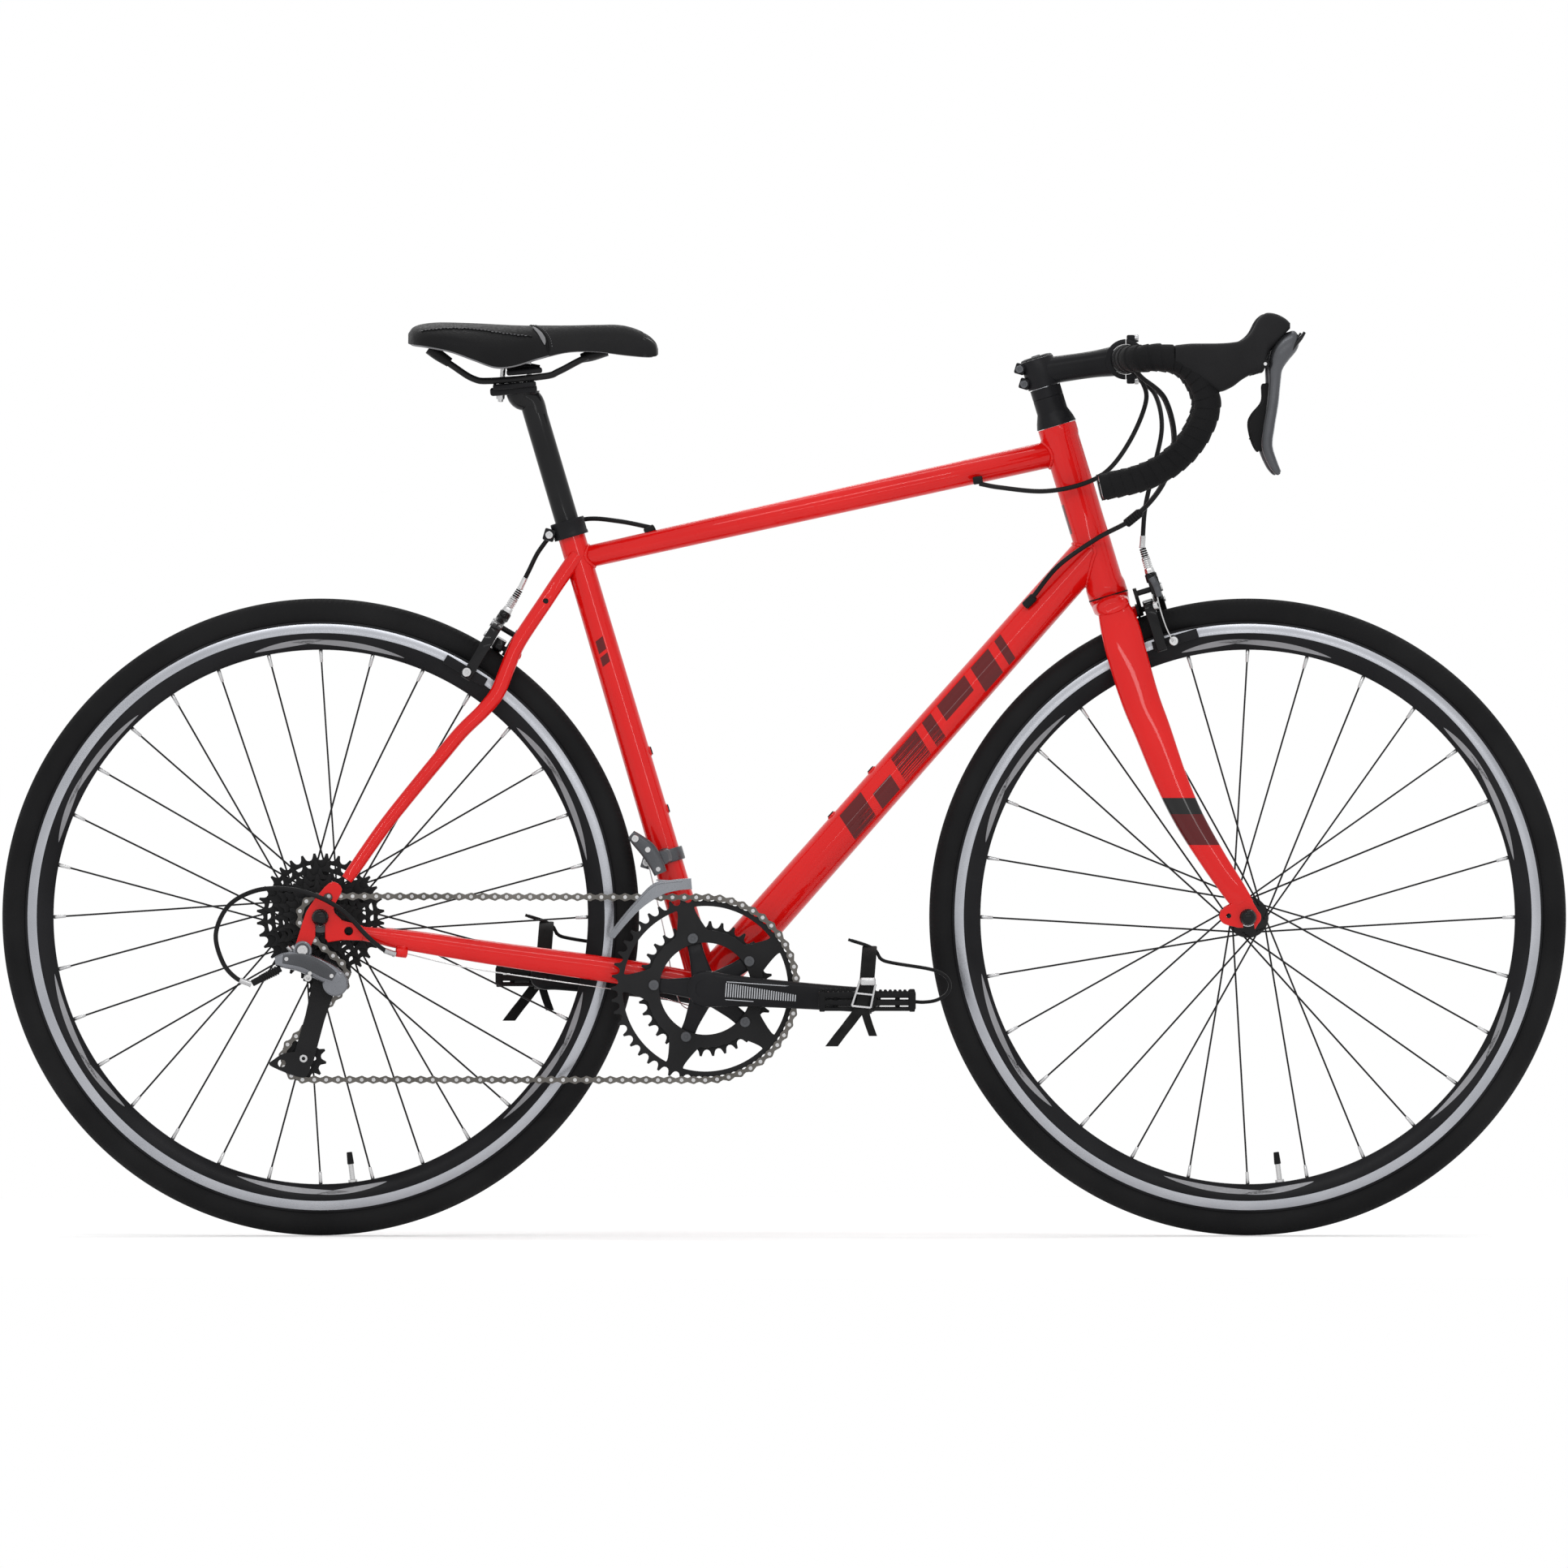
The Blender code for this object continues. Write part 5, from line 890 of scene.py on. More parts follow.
def on_saddle(x, lift, steps, index):
    return saddle_arch(row_at(x), lift, steps)[index]


def panel_edge(share):
    """Where the front panel's curved rear edge lies along the saddle, across its width."""
    return -0.27 + 0.02 * abs(math.cos(math.pi * share)) ** 1.5


def closed_shell(name, arches, thick):
    """Turns a sheet of arches into a shell of even thickness below it."""
    rings = []
    for arch in arches:
        centre = sum(arch, Vector()) / len(arch)
        inner = []
        for point in reversed(arch):
            way = centre - point
            way.x = 0
            inner.append(point + way.normalized() * min(thick, way.length * 0.6))
        rings.append(arch + inner)
    return skin(name, rings)


def make_saddle():
    cover = closed_shell("cover", [saddle_arch(row, 0.0, 40) for row in SADDLE_ROWS], 0.012)
    put("saddle_cover", cover, "seat", "saddle", black_leather, 60)
    rings = []
    for k in range(41):
        share = k / 40
        ring = []
        for lift in (0.0005, -0.0012):
            span = []
            for j in range(61):
                start = panel_edge(j / 60)
                x = start + (-0.15 - start) * share
                span.append(on_saddle(x, lift, 60, j))
            ring += span if lift > 0 else span[::-1]
        rings.append(ring)
    put("saddle_front_panel", skin("panel", rings), "seat", "saddle", grey_leather, 60)

    seams, stitches, stripes = [], [], []
    for offset, shapes, size in ((-0.0014, seams, 0.0006), (0.001, seams, 0.00045)):
        line = [on_saddle(panel_edge(j / 60) + offset, 0.0005, 60, j) for j in range(1, 60)]
        shapes.append(wire("seam", line, size, 8))
    line = [on_saddle(panel_edge(j / 120) + 0.0034, 0.0007, 120, j) for j in range(3, 118)]
    stitches += [wire("stitch", line[k:k + 2], 0.00035, 6) for k in range(0, 112, 3)]
    for sign in (-1, 1):
        edge = [on_saddle(-0.386 + 0.118 * k / 60, 0.0006, 80,
                          40 - sign * (26 - round(6 * math.sin(math.pi * k / 60))))
                for k in range(61)]
        seams.append(wire("side_seam", edge, 0.0006, 8))
        stitches += [wire("stitch", [point + Vector((0, sign * 0.0016, 0.0003))
                                     for point in edge[k:k + 2]], 0.00035, 6)
                     for k in range(0, 58, 2)]
        band = [on_saddle(panel_edge(j / 120) - 0.004, 0.001, 120, j)
                for j in (range(8, 44, 3) if sign > 0 else range(112, 76, -3))]
        stripes.append(ribbon("stripe", band, AHEAD,
                              [0.0004, 0.0016, 0.0022, 0.0026, 0.0026, 0.0026, 0.0026, 0.0024,
                               0.0022, 0.0018, 0.0012, 0.0004], 0.0004, 4))
    put("saddle_seams", seams, "seat", "saddle", black_leather)
    put("saddle_stitches", stitches, "seat", "saddle", thread)
    put("saddle_stripes", stripes, "seat", "saddle", light_trim)

    trim = closed_shell("nose", [saddle_arch(row, 0.0004, 30)[:9]
                                 + saddle_arch(row, 0.0004, 30)[22:]
                                 for row in saddle_rows(-0.16, -0.1345)], 0.002)
    put("saddle_nose_trim", trim, "seat", "saddle", gloss_black, 60)

    piping = []
    rings = []
    for row in saddle_rows(-0.396, -0.14):
        x, top, skirt, half = row
        ring = []
        for k in range(41):
            angle = math.pi * k / 40
            ring.append(Vector((x, half * 0.955 * math.cos(angle),
                                skirt + 0.0012 + min(0.014, top - skirt - 0.008)
                                * math.sin(angle) ** 0.7)))
        low = [point - Vector((0, 0, 0.0016)) for point in reversed(ring)]
        rings.append(ring + low)
    put("saddle_base", skin("tray", rings), "seat", "saddle", gloss_black, 60)

    for sign in (-1, 1):
        edge = [(row[0], sign * (row[3] - 0.0006), row[2] + 0.0003)
                for row in saddle_rows(-0.396, -0.14)]
        piping.append(wire(f"piping_{sign}", edge, 0.0009, 10))
    put("saddle_piping", piping, "seat", "saddle", light_trim)


# ------------------------ wheels


def tyre(name, axle, body, node):
    """Tyre with a rounded crown, cut by angled grooves on both shoulders."""
    middle, half = 0.325, 0.014
    steps, across = 1420, 33
    points, faces = [], []
    for k in range(steps):
        turn = TURN * k / steps
        c, s = math.cos(turn), math.sin(turn)
        for j in range(across):
            swing = math.radians(-146 + 292 * j / (across - 1))
            depth = 0.0
            flank = abs(swing)
            if 0.28 < flank < 1.05:
                phase = (k / 4 + (flank - 0.28) * 5.2) % 1.0
                fade = smooth_step(0.28, 0.38, flank) * (1 - smooth_step(0.92, 1.05, flank))
                depth = 0.0005 * fade * (1 if phase < 0.42 else 0)
            if 0.17 < flank < 0.24:
                depth = 0.00035
            if 1.35 < flank < 1.42:
                depth = -0.00018
            size = half - depth - 0.0001
            radius = middle + size * math.cos(swing)
            points.append(axle + Vector((radius * c, size * math.sin(swing), radius * s)))
    for k in range(steps):
        near, far = k * across, (k + 1) % steps * across
        for j in range(across):
            after = (j + 1) % across
            faces.append((near + j, near + after, far + after, far + j))
    shape = from_lists(name, points, faces)
    return put(name, tidy_mesh(shape), body, node, tyre_rubber, 50)


def rim_side(radius):
    """Half width of the rim at a radius."""
    for (a, wa), (b, wb) in zip(RIM, RIM[1:]):
        if a >= radius >= b:
            return wa + (wb - wa) * (a - radius) / (a - b)
    return RIM[-1][1]


RIM = [(0.3146, 0.01), (0.314, 0.0104), (0.299, 0.0106), (0.2975, 0.0103), (0.285, 0.0052),
       (0.2843, 0.0042)]


def swoosh(axle, side, start, sweep, low, high):
    """Slim painted crescent on the rim's flank."""
    rings = []
    for k in range(33):
        share = k / 32
        angle = start + sweep * share
        fat = math.sin(math.pi * share) ** 0.7
        middle = low + (high - low) * share
        ring = []
        for lift in (0.0001, -0.0003):
            span = [middle + 0.003 * fat * (j / 4 - 1) for j in range(9)]
            for radius in span if lift > 0 else reversed(span):
                wide = side * (rim_side(radius) + lift)
                ring.append(axle + around(radius, angle, wide))
        rings.append(ring)
    return skin("swoosh", rings)


def make_wheel(place, axle, spokes, crossing, hub_half, flanges, flange_radius):
    body = f"{place}_wheel"
    tyre(f"{place}_tyre_tread", axle, body, f"{place}_tyre")
    profile = RIM + [(r, -w) for r, w in reversed(RIM)] + [(0.3146, -0.0084), (0.31, -0.0078),
            (0.309, -0.004), (0.3082, 0), (0.309, 0.004), (0.31, 0.0078), (0.3146, 0.0084)]
    rim = turned("rim", profile, axle, LEFT, 240)
    put(f"{place}_rim_shell", rim, body, f"{place}_rim", black, 50)

    tracks = [turned(f"track_{s}", [(0.312, 0.0105), (0.3118, 0.01066), (0.3026, 0.01076),
                                    (0.3022, 0.01074), (0.302, 0.01), (0.312, 0.01)], axle,
                     LEFT * s, 240) for s in (-1, 1)]
    put(f"{place}_brake_tracks", tracks, body, f"{place}_rim", track, 50)

    marks = []
    for side in (-1, 1):
        for k in range(6):
            start = TURN * (k + 0.2) / 6
            marks.append(swoosh(axle, side, start, 0.42, 0.2895, 0.2935))
            marks.append(swoosh(axle, side, start + 0.3, 0.26, 0.2945, 0.29))
    put(f"{place}_rim_graphics", marks, body, f"{place}_rim", graphic_grey, 60)

    valve_way = around(1, VALVE_ANGLE)
    foot = axle + valve_way * 0.285
    valve = [rod("stem", foot, foot - valve_way * 0.026, 0.0028),
             rod("nut", foot - valve_way * 0.0006, foot - valve_way * 0.0036, 0.0048, sides=6)]
    put(f"{place}_valve", valve, body, f"{place}_rim", bolt_steel)

    cap = [rod("cap", foot - valve_way * 0.02, foot - valve_way * 0.033, 0.0036, 0.003)]
    put(f"{place}_valve_cap", cap, body, f"{place}_rim", resin)

    make_hub(place, axle, body, hub_half, flanges, flange_radius)
    wires, nipples = [], []
    per_set = spokes // 4
    for flange_y, phase in ((flanges[0], 0), (flanges[1], 1)):
        for lean in (1, -1):
            for k in range(per_set):
                rim_angle = TURN * (4 * k + 2 * (lean > 0) + phase) / spokes
                hub_angle = rim_angle + lean * crossing
                hole = flange_radius - 0.0035
                start = axle + around(hole, hub_angle, flange_y + lean * 0.0024)
                end = axle + around(SPOKE_END, rim_angle, 0.0016 if flange_y > 0 else -0.0016)
                way = (end - start).normalized()
                head = start - LEFT * lean * 0.0052
                wires.append(wire("spoke", [head, start - LEFT * lean * 0.0012,
                        start + way * 0.0012, start + way * 0.006, end], 0.001, 8))
                wires.append(rod("spoke_head", head - LEFT * lean * 0.0008, head, 0.0019,
                                 sides=10))
                nipples.append(rod("nipple", end - way * 0.0125, end + way * 0.0006, 0.0017,
                                   0.0021, sides=8, edge=0.0003))
    put(f"{place}_spokes", wires, body, f"{place}_hub", spoke_steel, 50)
    put(f"{place}_spoke_nipples", nipples, body, f"{place}_hub", bolt_steel, 50)


def make_hub(place, axle, body, hub_half, flanges, flange_radius):
    left, right = flanges
    end = hub_half - 0.0002
    fr = flange_radius
    outer = 0.016 if place == "rear" else 0.0098
    profile = [(0.008, end), (0.0092, end - 0.001), (0.0098, left + 0.006), (0.013, left + 0.0035),
               (fr - 0.0008, left + 0.0016), (fr, left + 0.0009), (fr, left - 0.0009),
               (fr - 0.0008, left - 0.0016), (0.0145, left - 0.003), (0.0126, left - 0.008),
               (0.012, (left + right) / 2), (0.0126, right + 0.008), (0.0145, right + 0.003),
               (fr - 0.0008, right + 0.0016), (fr, right + 0.0009), (fr, right - 0.0009),
               (fr - 0.0008, right - 0.0016), (0.0165, right - 0.003), (outer, right - 0.0045),
               (outer, -end + 0.0052), (0.0092, -end + 0.0042), (0.008, -end), (0.0054, -end),
               (0.0054, end)]
    shell = turned("hub", profile, axle, LEFT, 96)
    put(f"{place}_hub_shell", shell, body, f"{place}_hub", gloss_black, 40)

    rings = [turned(f"seal_{k}", [(0.009, y + 0.0007), (0.01, y), (0.009, y - 0.0007),
                                  (0.007, y - 0.0007), (0.007, y + 0.0007)], axle, LEFT, 48)
             for k, y in enumerate((end - 0.0022, -end + 0.0022))]
    put(f"{place}_hub_seals", rings, body, f"{place}_hub", bolt_steel)


def make_skewer(place, axle, body, hub_half, lever_body, lever_way):
    face = hub_half + 0.0066
    cam = face + 0.009
    nut = turned("nut", [(0, -face - 0.012), (0.004, -face - 0.012), (0.006, -face - 0.0108),
                         (0.0074, -face - 0.008), (0.0088, -face - 0.0062),
                         (0.0088, -face - 0.0006), (0.0084, -face), (0.0047, -face),
                         (0.0047, face), (0.0084, face), (0.0088, face + 0.0006),
                         (0.0088, face + 0.005), (0.0078, face + 0.0074), (0.0056, cam), (0, cam)],
                 axle, LEFT, 64)
    teeth = [block("tooth", axle + around(0.0086, a, s * (face + 0.0012)), (0.001, 0.002, 0.0014),
                   -a, 0.0002) for s in (-1, 1) for a in angles(20)]
    put(f"{place}_skewer", [nut, *teeth], body, f"{place}_axle", gloss_black, 40)

    way = Vector(lever_way).normalized()
    across = way.cross(LEFT)
    root = axle + Vector((0, cam + 0.0045, 0))
    barrel = rod("barrel", root - across * 0.0065, root + across * 0.0065, 0.004)
    rows = [(0.0, 0.0, 0.0055, 0.003), (0.014, 0.001, 0.005, 0.0024),
            (0.034, 0.004, 0.006, 0.0022), (0.048, 0.0058, 0.0066, 0.002),
            (0.053, 0.0062, 0.005, 0.0015), (0.054, 0.0062, 0.002, 0.0006)]
    blade = limb("blade", [(*root + way * run + LEFT * rise, wide, thick)
                           for run, rise, wide, thick in rows], 6, 32, 2.6, across)
    put(f"{place}_quick_release_handle", [barrel, blade], lever_body, f"{place}_qr_lever",
        gloss_black, 50)


# ------------------------ drive


def pitch_radius(teeth):
    return PITCH / 2 / math.sin(math.pi / teeth)


def tooth_outline(teeth, start=0.0, worn=1.0):
    """Outline of a toothed wheel: rounded valleys for the rollers and blunt tips."""
    pitch = pitch_radius(teeth)
    step = TURN / teeth
    points = []
    for k in range(teeth):
        middle = start + step * k
        valley = [(pitch * math.cos(middle) + 0.004 * math.cos(middle + math.pi + a),
                   pitch * math.sin(middle) + 0.004 * math.sin(middle + math.pi + a))
                  for a in (1.15, 0.6, 0.0, -0.6, -1.15)]
        points += valley
        crown = middle + step / 2
        tip = pitch + 0.0033 * worn
        for share in (-0.085, 0.085):
            angle = crown + step * share
            points.append(polar(tip, angle))
    return points


def crank_way(sign):
    return -sign * Vector((math.cos(math.radians(4)), 0, -math.sin(math.radians(4))))


def ring_frame(y):
    """Matrix for plates in the crankset: X along the right crank, Z to the right."""
    along, normal = crank_way(-1), -LEFT
    turn = Matrix((along, normal.cross(along), normal)).transposed().to_4x4()
    return Matrix.Translation(Vector((BRACKET.x, y, BRACKET.z))) @ turn


def window(middle, half, inner, outer):
    """Rounded cut-out between two radii of a chainring, narrower towards the centre."""
    far = [(outer, middle + half * (k / 8 - 1)) for k in range(17)]
    near = [(inner, middle + half * 0.66 * (1 - k / 6)) for k in range(13)]
    raw = [polar(r, a) for r, a in far + near]
    for _ in range(2):
        raw = [point for a, b in zip(raw, raw[1:] + raw[:1])
               for point in ((a[0] * 0.75 + b[0] * 0.25, a[1] * 0.75 + b[1] * 0.25),
                             (a[0] * 0.25 + b[0] * 0.75, a[1] * 0.25 + b[1] * 0.75))]
    return raw


ARM_ANGLES = [math.radians(36 + 72 * k) for k in range(5)]


def make_crankset():
    windows = [window(angle + math.radians(36), math.radians(31), 0.0625, 0.088)
               for angle in ARM_ANGLES]
    tabs = [circle(polar(BOLT_CIRCLE, a), 0.0044, 20) for a in ARM_ANGLES]
    outer = plate("outer", [tooth_outline(48), circle((0, 0), 0.049, 64)] + windows + tabs, 0.0024,
                  ring_frame(OUTER_Y), 0.0004)
    ramps = []
    for k in range(16):
        angle = TURN * (k + 0.3) / 16
        spot = ring_frame(OUTER_Y) @ Vector((*polar(0.091, angle), -0.0012))
        ramps.append(rod("pin", spot + LEFT * 0.0008, spot, 0.0016, sides=12))
    put("outer_chainring_teeth", [outer, *ramps], "crankset", "chainring_outer", dark_steel)

    inner_windows = [window(angle + math.radians(36), math.radians(24), 0.0545, 0.059)
                     for angle in ARM_ANGLES]
    inner = plate("inner", [tooth_outline(34), circle((0, 0), 0.049, 64)] + inner_windows, 0.0024,
                  ring_frame(INNER_Y), 0.0004)
    put("inner_chainring_teeth", inner, "crankset", "chainring_inner", dark_steel)

    spindle = turned("spindle", [(0, 0.056), (0.0116, 0.056), (0.012, 0.055), (0.012, -0.0395),
                                 (0.0116, -0.04), (0, -0.04)], BRACKET, LEFT, 64)
    put("crank_spindle", spindle, "crankset", "bb_spindle", dark_steel)

    spider = []
    for angle in ARM_ANGLES:
        at = ring_frame(0) @ Matrix.Rotation(angle, 4, "Z")
        spider.append(limb("arm", [(*at @ Vector((run, 0, level)), wide, thick)
                                   for run, level, wide, thick in ((0.012, 0.056, 0.012, 0.0085),
                                           (0.026, 0.051, 0.0098, 0.0058),
                                           (0.04, 0.045, 0.008, 0.0034),
                                           (0.052, 0.0424, 0.0078, 0.0024),
                                           (0.061, 0.0422, 0.006, 0.0022))], 5, 28, 3.0,
                           (at.to_3x3() @ Vector((0, 1, 0))).normalized()))
        eye = at @ Vector((BOLT_CIRCLE, 0, 0.0422))
        spider.append(rod("eye", eye + LEFT * 0.0024, eye - LEFT * 0.0024, 0.0074, sides=32))
    make_crank_arm("right", -1, spider)
    make_crank_arm("left", 1, [])
    bolts = []
    for angle in ARM_ANGLES:
        spot = ring_frame(0) @ Vector((*polar(BOLT_CIRCLE, angle), 0))
        bolts.append(socket_bolt("ring_bolt", spot - LEFT * 0.047, -LEFT, 0.0056, 0.0021))
        bolts.append(rod("ring_nut", spot - LEFT * 0.0352, spot - LEFT * 0.0372, 0.0056))
    put("chainring_bolts", bolts, "crankset", "crank_arm_right", dark_grey)

    for side, sign in SIDES:
        make_pedal(side, sign)


def make_crank_arm(side, sign, extra):
    """Arm that swells at both of its ends, with the pedal's spindle."""
    along = crank_way(sign)
    high = LEFT.cross(along)
    rows = [(-0.015, 0.0605, 0.006, 0.004), (-0.012, 0.0612, 0.015, 0.0064),
            (0.0, 0.0622, 0.0192, 0.0074), (0.025, 0.0632, 0.0172, 0.0072),
            (0.06, 0.0646, 0.0152, 0.007), (0.11, 0.0666, 0.014, 0.0068),
            (0.156, 0.0684, 0.0134, 0.0066), (0.1725, 0.0685, 0.014, 0.0066),
            (0.183, 0.0685, 0.01, 0.006), (0.1868, 0.0685, 0.004, 0.004)]
    arm = limb("arm", [(*BRACKET + along * run + LEFT * sign * y, tall, thick)
                       for run, y, tall, thick in rows], 8, 44, 3.2, high)
    hub_in = 0.0403 if sign < 0 else 0.0563
    hub = turned("hub", [(0.017, 0.069), (0.0183, 0.068), (0.0185, hub_in + 0.001),
                         (0.018, hub_in), (0.0124, hub_in), (0.0124, 0.064), (0.0105, 0.064),
                         (0.0105, 0.069)], BRACKET, LEFT * sign, 72)
    tip = BRACKET + along * CRANK_LENGTH
    collar = turned("eye", [(0.0078, 0.0775), (0.0084, 0.0768), (0.0084, 0.07), (0.0052, 0.07),
                            (0.0052, 0.0775)], tip, LEFT * sign, 40)
    put(f"crank_arm_{side}_forging", [arm, hub, collar, *extra], "crankset", f"crank_arm_{side}",
        black, 40)

    spindle = turned("spindle", [(0, 0.146), (0.0042, 0.146), (0.005, 0.144), (0.005, 0.062),
                                 (0.0038, 0.0612), (0, 0.0612)], tip, LEFT * sign, 32)
    flats = turned("flats", [(0.0066, 0.0812), (0.007, 0.0806), (0.007, 0.078), (0.005, 0.0776),
                             (0.005, 0.0812)], tip, LEFT * sign, 6)
    put(f"pedal_spindle_{side}", [spindle, flats], "crankset", f"crank_arm_{side}", dark_steel)

    cap = [socket_bolt("bolt", BRACKET + LEFT * sign * 0.064, LEFT * sign, 0.0088, 0.0046, 0.8),
           turned("washer", [(0.0104, 0.066), (0.0104, 0.0645), (0.0086, 0.0645), (0.0086, 0.066)],
                  BRACKET, LEFT * sign, 48)]
    put(f"crank_bolt_{side}", cap, "crankset", f"crank_arm_{side}", bolt_steel)

    if sign > 0:
        return
    hatches = []
    at = ring_frame(0)
    for k in range(30):
        share = k / 29
        run = 0.022 + 0.074 * share
        tall = 0.015 - 0.008 * share
        level = 0.0706 + 0.0343 * (run - 0.025)
        hatches.append(block("hatch", (run, 0.0005 - 0.0035 * share, level),
                             (0.0013, tall, 0.0006), 0, 0.0001, at, 1))
    for high, reach in ((0.0098, 0.07), (-0.0105, 0.03)):
        start = 0.022 + reach / 2
        hatches.append(block("hatch", (start, high * 0.93, 0.0706 + 0.0343 * (start - 0.025)),
                             (reach, 0.0009, 0.0006), 0, 0.0001, at, 1))
    put("crank_arm_hatching", hatches, "crankset", "crank_arm_right", silver)


def make_pedal(side, sign):
    """Resin body with a serrated cage, a toe clip and a buckled strap."""
    axle = BRACKET + crank_way(sign) * CRANK_LENGTH
    centre = Vector((axle.x, sign * 0.126, axle.z))
    node, body = f"pedal_{side}", f"pedal_{side}_body"

    def at(x, y, z):
        return centre + Vector((x, y, z))
    barrel = turned("barrel", [(0.011, 0.03), (0.0125, 0.024), (0.0105, 0.01), (0.0105, -0.012),
                               (0.012, -0.026), (0.011, -0.04), (0.0056, -0.04), (0.0056, 0.03)],
                    centre, LEFT * sign, 48)
    shapes = [barrel]
    for x, wide in ((-0.048, 0.08), (0.0475, 0.086)):
        shapes.append(block("plate", at(x, 0, 0.0004), (0.0078, wide, 0.02), 0, 0.0022, None, 3))
        for k in range(9):
            y = wide * (k / 8 - 0.5) * 0.88
            for up in (-1, 1):
                shapes.append(block("cleat", at(x, y, 0.0004 + up * 0.0104),
                                    (0.006, 0.0042, 0.0028), 0, 0.0008, None, 1))
    for y in (-0.0375, 0.0375):
        for z, thick in ((0.0066, 0.0034), (-0.0018, 0.003), (-0.0086, 0.002)):
            shapes.append(limb("rail", [(*at(-0.05, y * 0.96, z), 0.0036, thick),
                                        (*at(-0.02, y, z), 0.0034, thick),
                                        (*at(0.02, y, z), 0.0034, thick),
                                        (*at(0.048, y * 1.02, z), 0.0036, thick)], 4, 20, 3.5))
        for k in range(7):
            shapes.append(block("tooth", at(0.014 + 0.0052 * k, y, 0.0104),
                                (0.0034, 0.006, 0.0026), 0, 0.0008, None, 1))
            shapes.append(block("tooth", at(-0.018 - 0.0052 * k, y * 0.97, 0.0112),
                                (0.0034, 0.006, 0.004), 0, 0.0008, None, 1))
    for x in (-0.034, -0.014, 0.032):
        shapes.append(block("rib", at(x, 0, -0.0004), (0.005, 0.074, 0.017), 0, 0.0015, None, 2))
    shapes.append(block("core", at(-0.01, 0, 0.0004), (0.048, 0.02, 0.014), 0, 0.003, None, 3))
    shapes.append(rod("cap", at(0, sign * 0.03, 0), at(0, sign * 0.0425, 0), 0.0118, 0.01))
    put(f"{node}_cage", shapes, body, node, resin, 40)

    path = [(0.05, -0.001), (0.06, -0.0015), (0.073, 0.0005), (0.084, 0.007), (0.0878, 0.016),
            (0.0845, 0.0245), (0.076, 0.0305), (0.062, 0.0345), (0.028, 0.04), (0.015, 0.044),
            (0.009, 0.053), (0.0, 0.0585), (-0.017, 0.064)]
    half = [0.0125, 0.013, 0.015, 0.018, 0.0195, 0.0195, 0.018, 0.015, 0.01, 0.009, 0.0085, 0.0085,
            0.0085]
    spine = [at(x, 0, z) for x, z in path]
    clips = []
    for offset in (-1, 1):
        edge = [place + LEFT * offset * wide for place, wide in zip(spine, half)]
        clips.append(ribbon("side", edge, LEFT, [0.005] * 11 + [0.004, 0.003], 0.0018, 5))
    for k in (0, 1, 4, 5, 7, 9, 12):
        way = (spine[min(k + 1, 12)] - spine[max(k - 1, 0)]).normalized()
        ends = [spine[k] - way * 0.0034, spine[k], spine[k] + way * 0.0034]
        clips.append(ribbon("bar", ends, LEFT, [half[k] + 0.0052] * 3, 0.0016, 3))
    put(f"{node}_toe_clip", clips, body, node, resin, 50)

    loop = [(0.0405, 0.0), (0.044, 0.01), (0.0415, 0.03), (0.03, 0.048), (0.012, 0.056),
            (-0.012, 0.056), (-0.03, 0.048), (-0.0415, 0.03), (-0.044, 0.01), (-0.0405, 0.0),
            (-0.037, -0.01), (0.0, -0.0128), (0.037, -0.01), (0.0405, 0.0)]
    strap = [ribbon("strap", [at(0.0024 - 0.08 * (0.056 - z), y, z) for y, z in loop], AHEAD,
                    [0.0078] * 14, 0.0013, 6)]
    long_tail = [(-0.003, 0.018), (-0.006, -0.004), (-0.018, -0.022), (-0.029, -0.036),
                 (-0.038, -0.048)]
    short_tail = [(-0.004, 0.01), (-0.003, -0.008), (0.001, -0.023), (0.006, -0.037)]
    for tail, wide in ((long_tail, 0.0068), (short_tail, 0.0044)):
        strap.append(ribbon("tail", [at(x, sign * (0.0448 - 0.001 * k), z)
                                     for k, (x, z) in enumerate(tail)], AHEAD, [wide] * len(tail),
                            0.0013, 6))
    put(f"{node}_strap", strap, body, node, webbing, 50)

    front = sign * 0.046
    corners = [(-0.0165, -0.005), (0.0035, -0.007), (0.0085, 0.018), (-0.0075, 0.0225)]
    buckle = [rod("side", at(x, front, z), at(to_x, front, to_z), 0.0013)
              for (x, z), (to_x, to_z) in zip(corners, corners[1:] + corners[:1])]
    buckle.append(rod("middle_bar", at(-0.012, front, 0.0085), at(0.0062, front, 0.0066), 0.0013))
    buckle.append(block("press_plate", at(0.0006, front + sign * 0.0012, 0.0208),
                        (0.0162, 0.0046, 0.0086), 0, 0.0022, None, 3))
    put(f"{node}_buckle", buckle, body, node, bolt_steel)


def belt():
    """Pitch line of the chain in the side view: for each of its four wheels, the points of its
    wrap and of the straight run that leaves it.
    """
    circles = [(BRACKET, pitch_radius(48), 1), (REAR_AXLE, pitch_radius(11), 1),
               (GUIDE, pitch_radius(11), -1), (TENSION, pitch_radius(11), 1)]
    flat = [(Vector((c.x, c.z)), r, turn) for c, r, turn in circles]
    tangents = []
    for k, (near, near_r, near_turn) in enumerate(flat):
        far, far_r, far_turn = flat[(k + 1) % 4]
        gap = far - near
        angle = math.atan2(gap.y, gap.x) - math.asin((far_turn * far_r - near_turn * near_r)
                / gap.length)
        normal = Vector((-math.sin(angle), math.cos(angle)))
        tangents.append((near - normal * near_turn * near_r, far - normal * far_turn * far_r))
    parts = []
    for k, (centre, radius, turn) in enumerate(flat):
        start, end = tangents[k - 1][1] - centre, tangents[k][0] - centre
        first = math.atan2(start.y, start.x)
        sweep = turn * (math.atan2(end.y, end.x) - first) % TURN
        arc = [centre + Vector((math.cos(first + turn * sweep * j / 120),
                                math.sin(first + turn * sweep * j / 120))) * radius
               for j in range(121)]
        straight = [tangents[k][0].lerp(tangents[k][1], j / 120) for j in range(1, 120)]
        parts.append((arc, straight))
    return parts


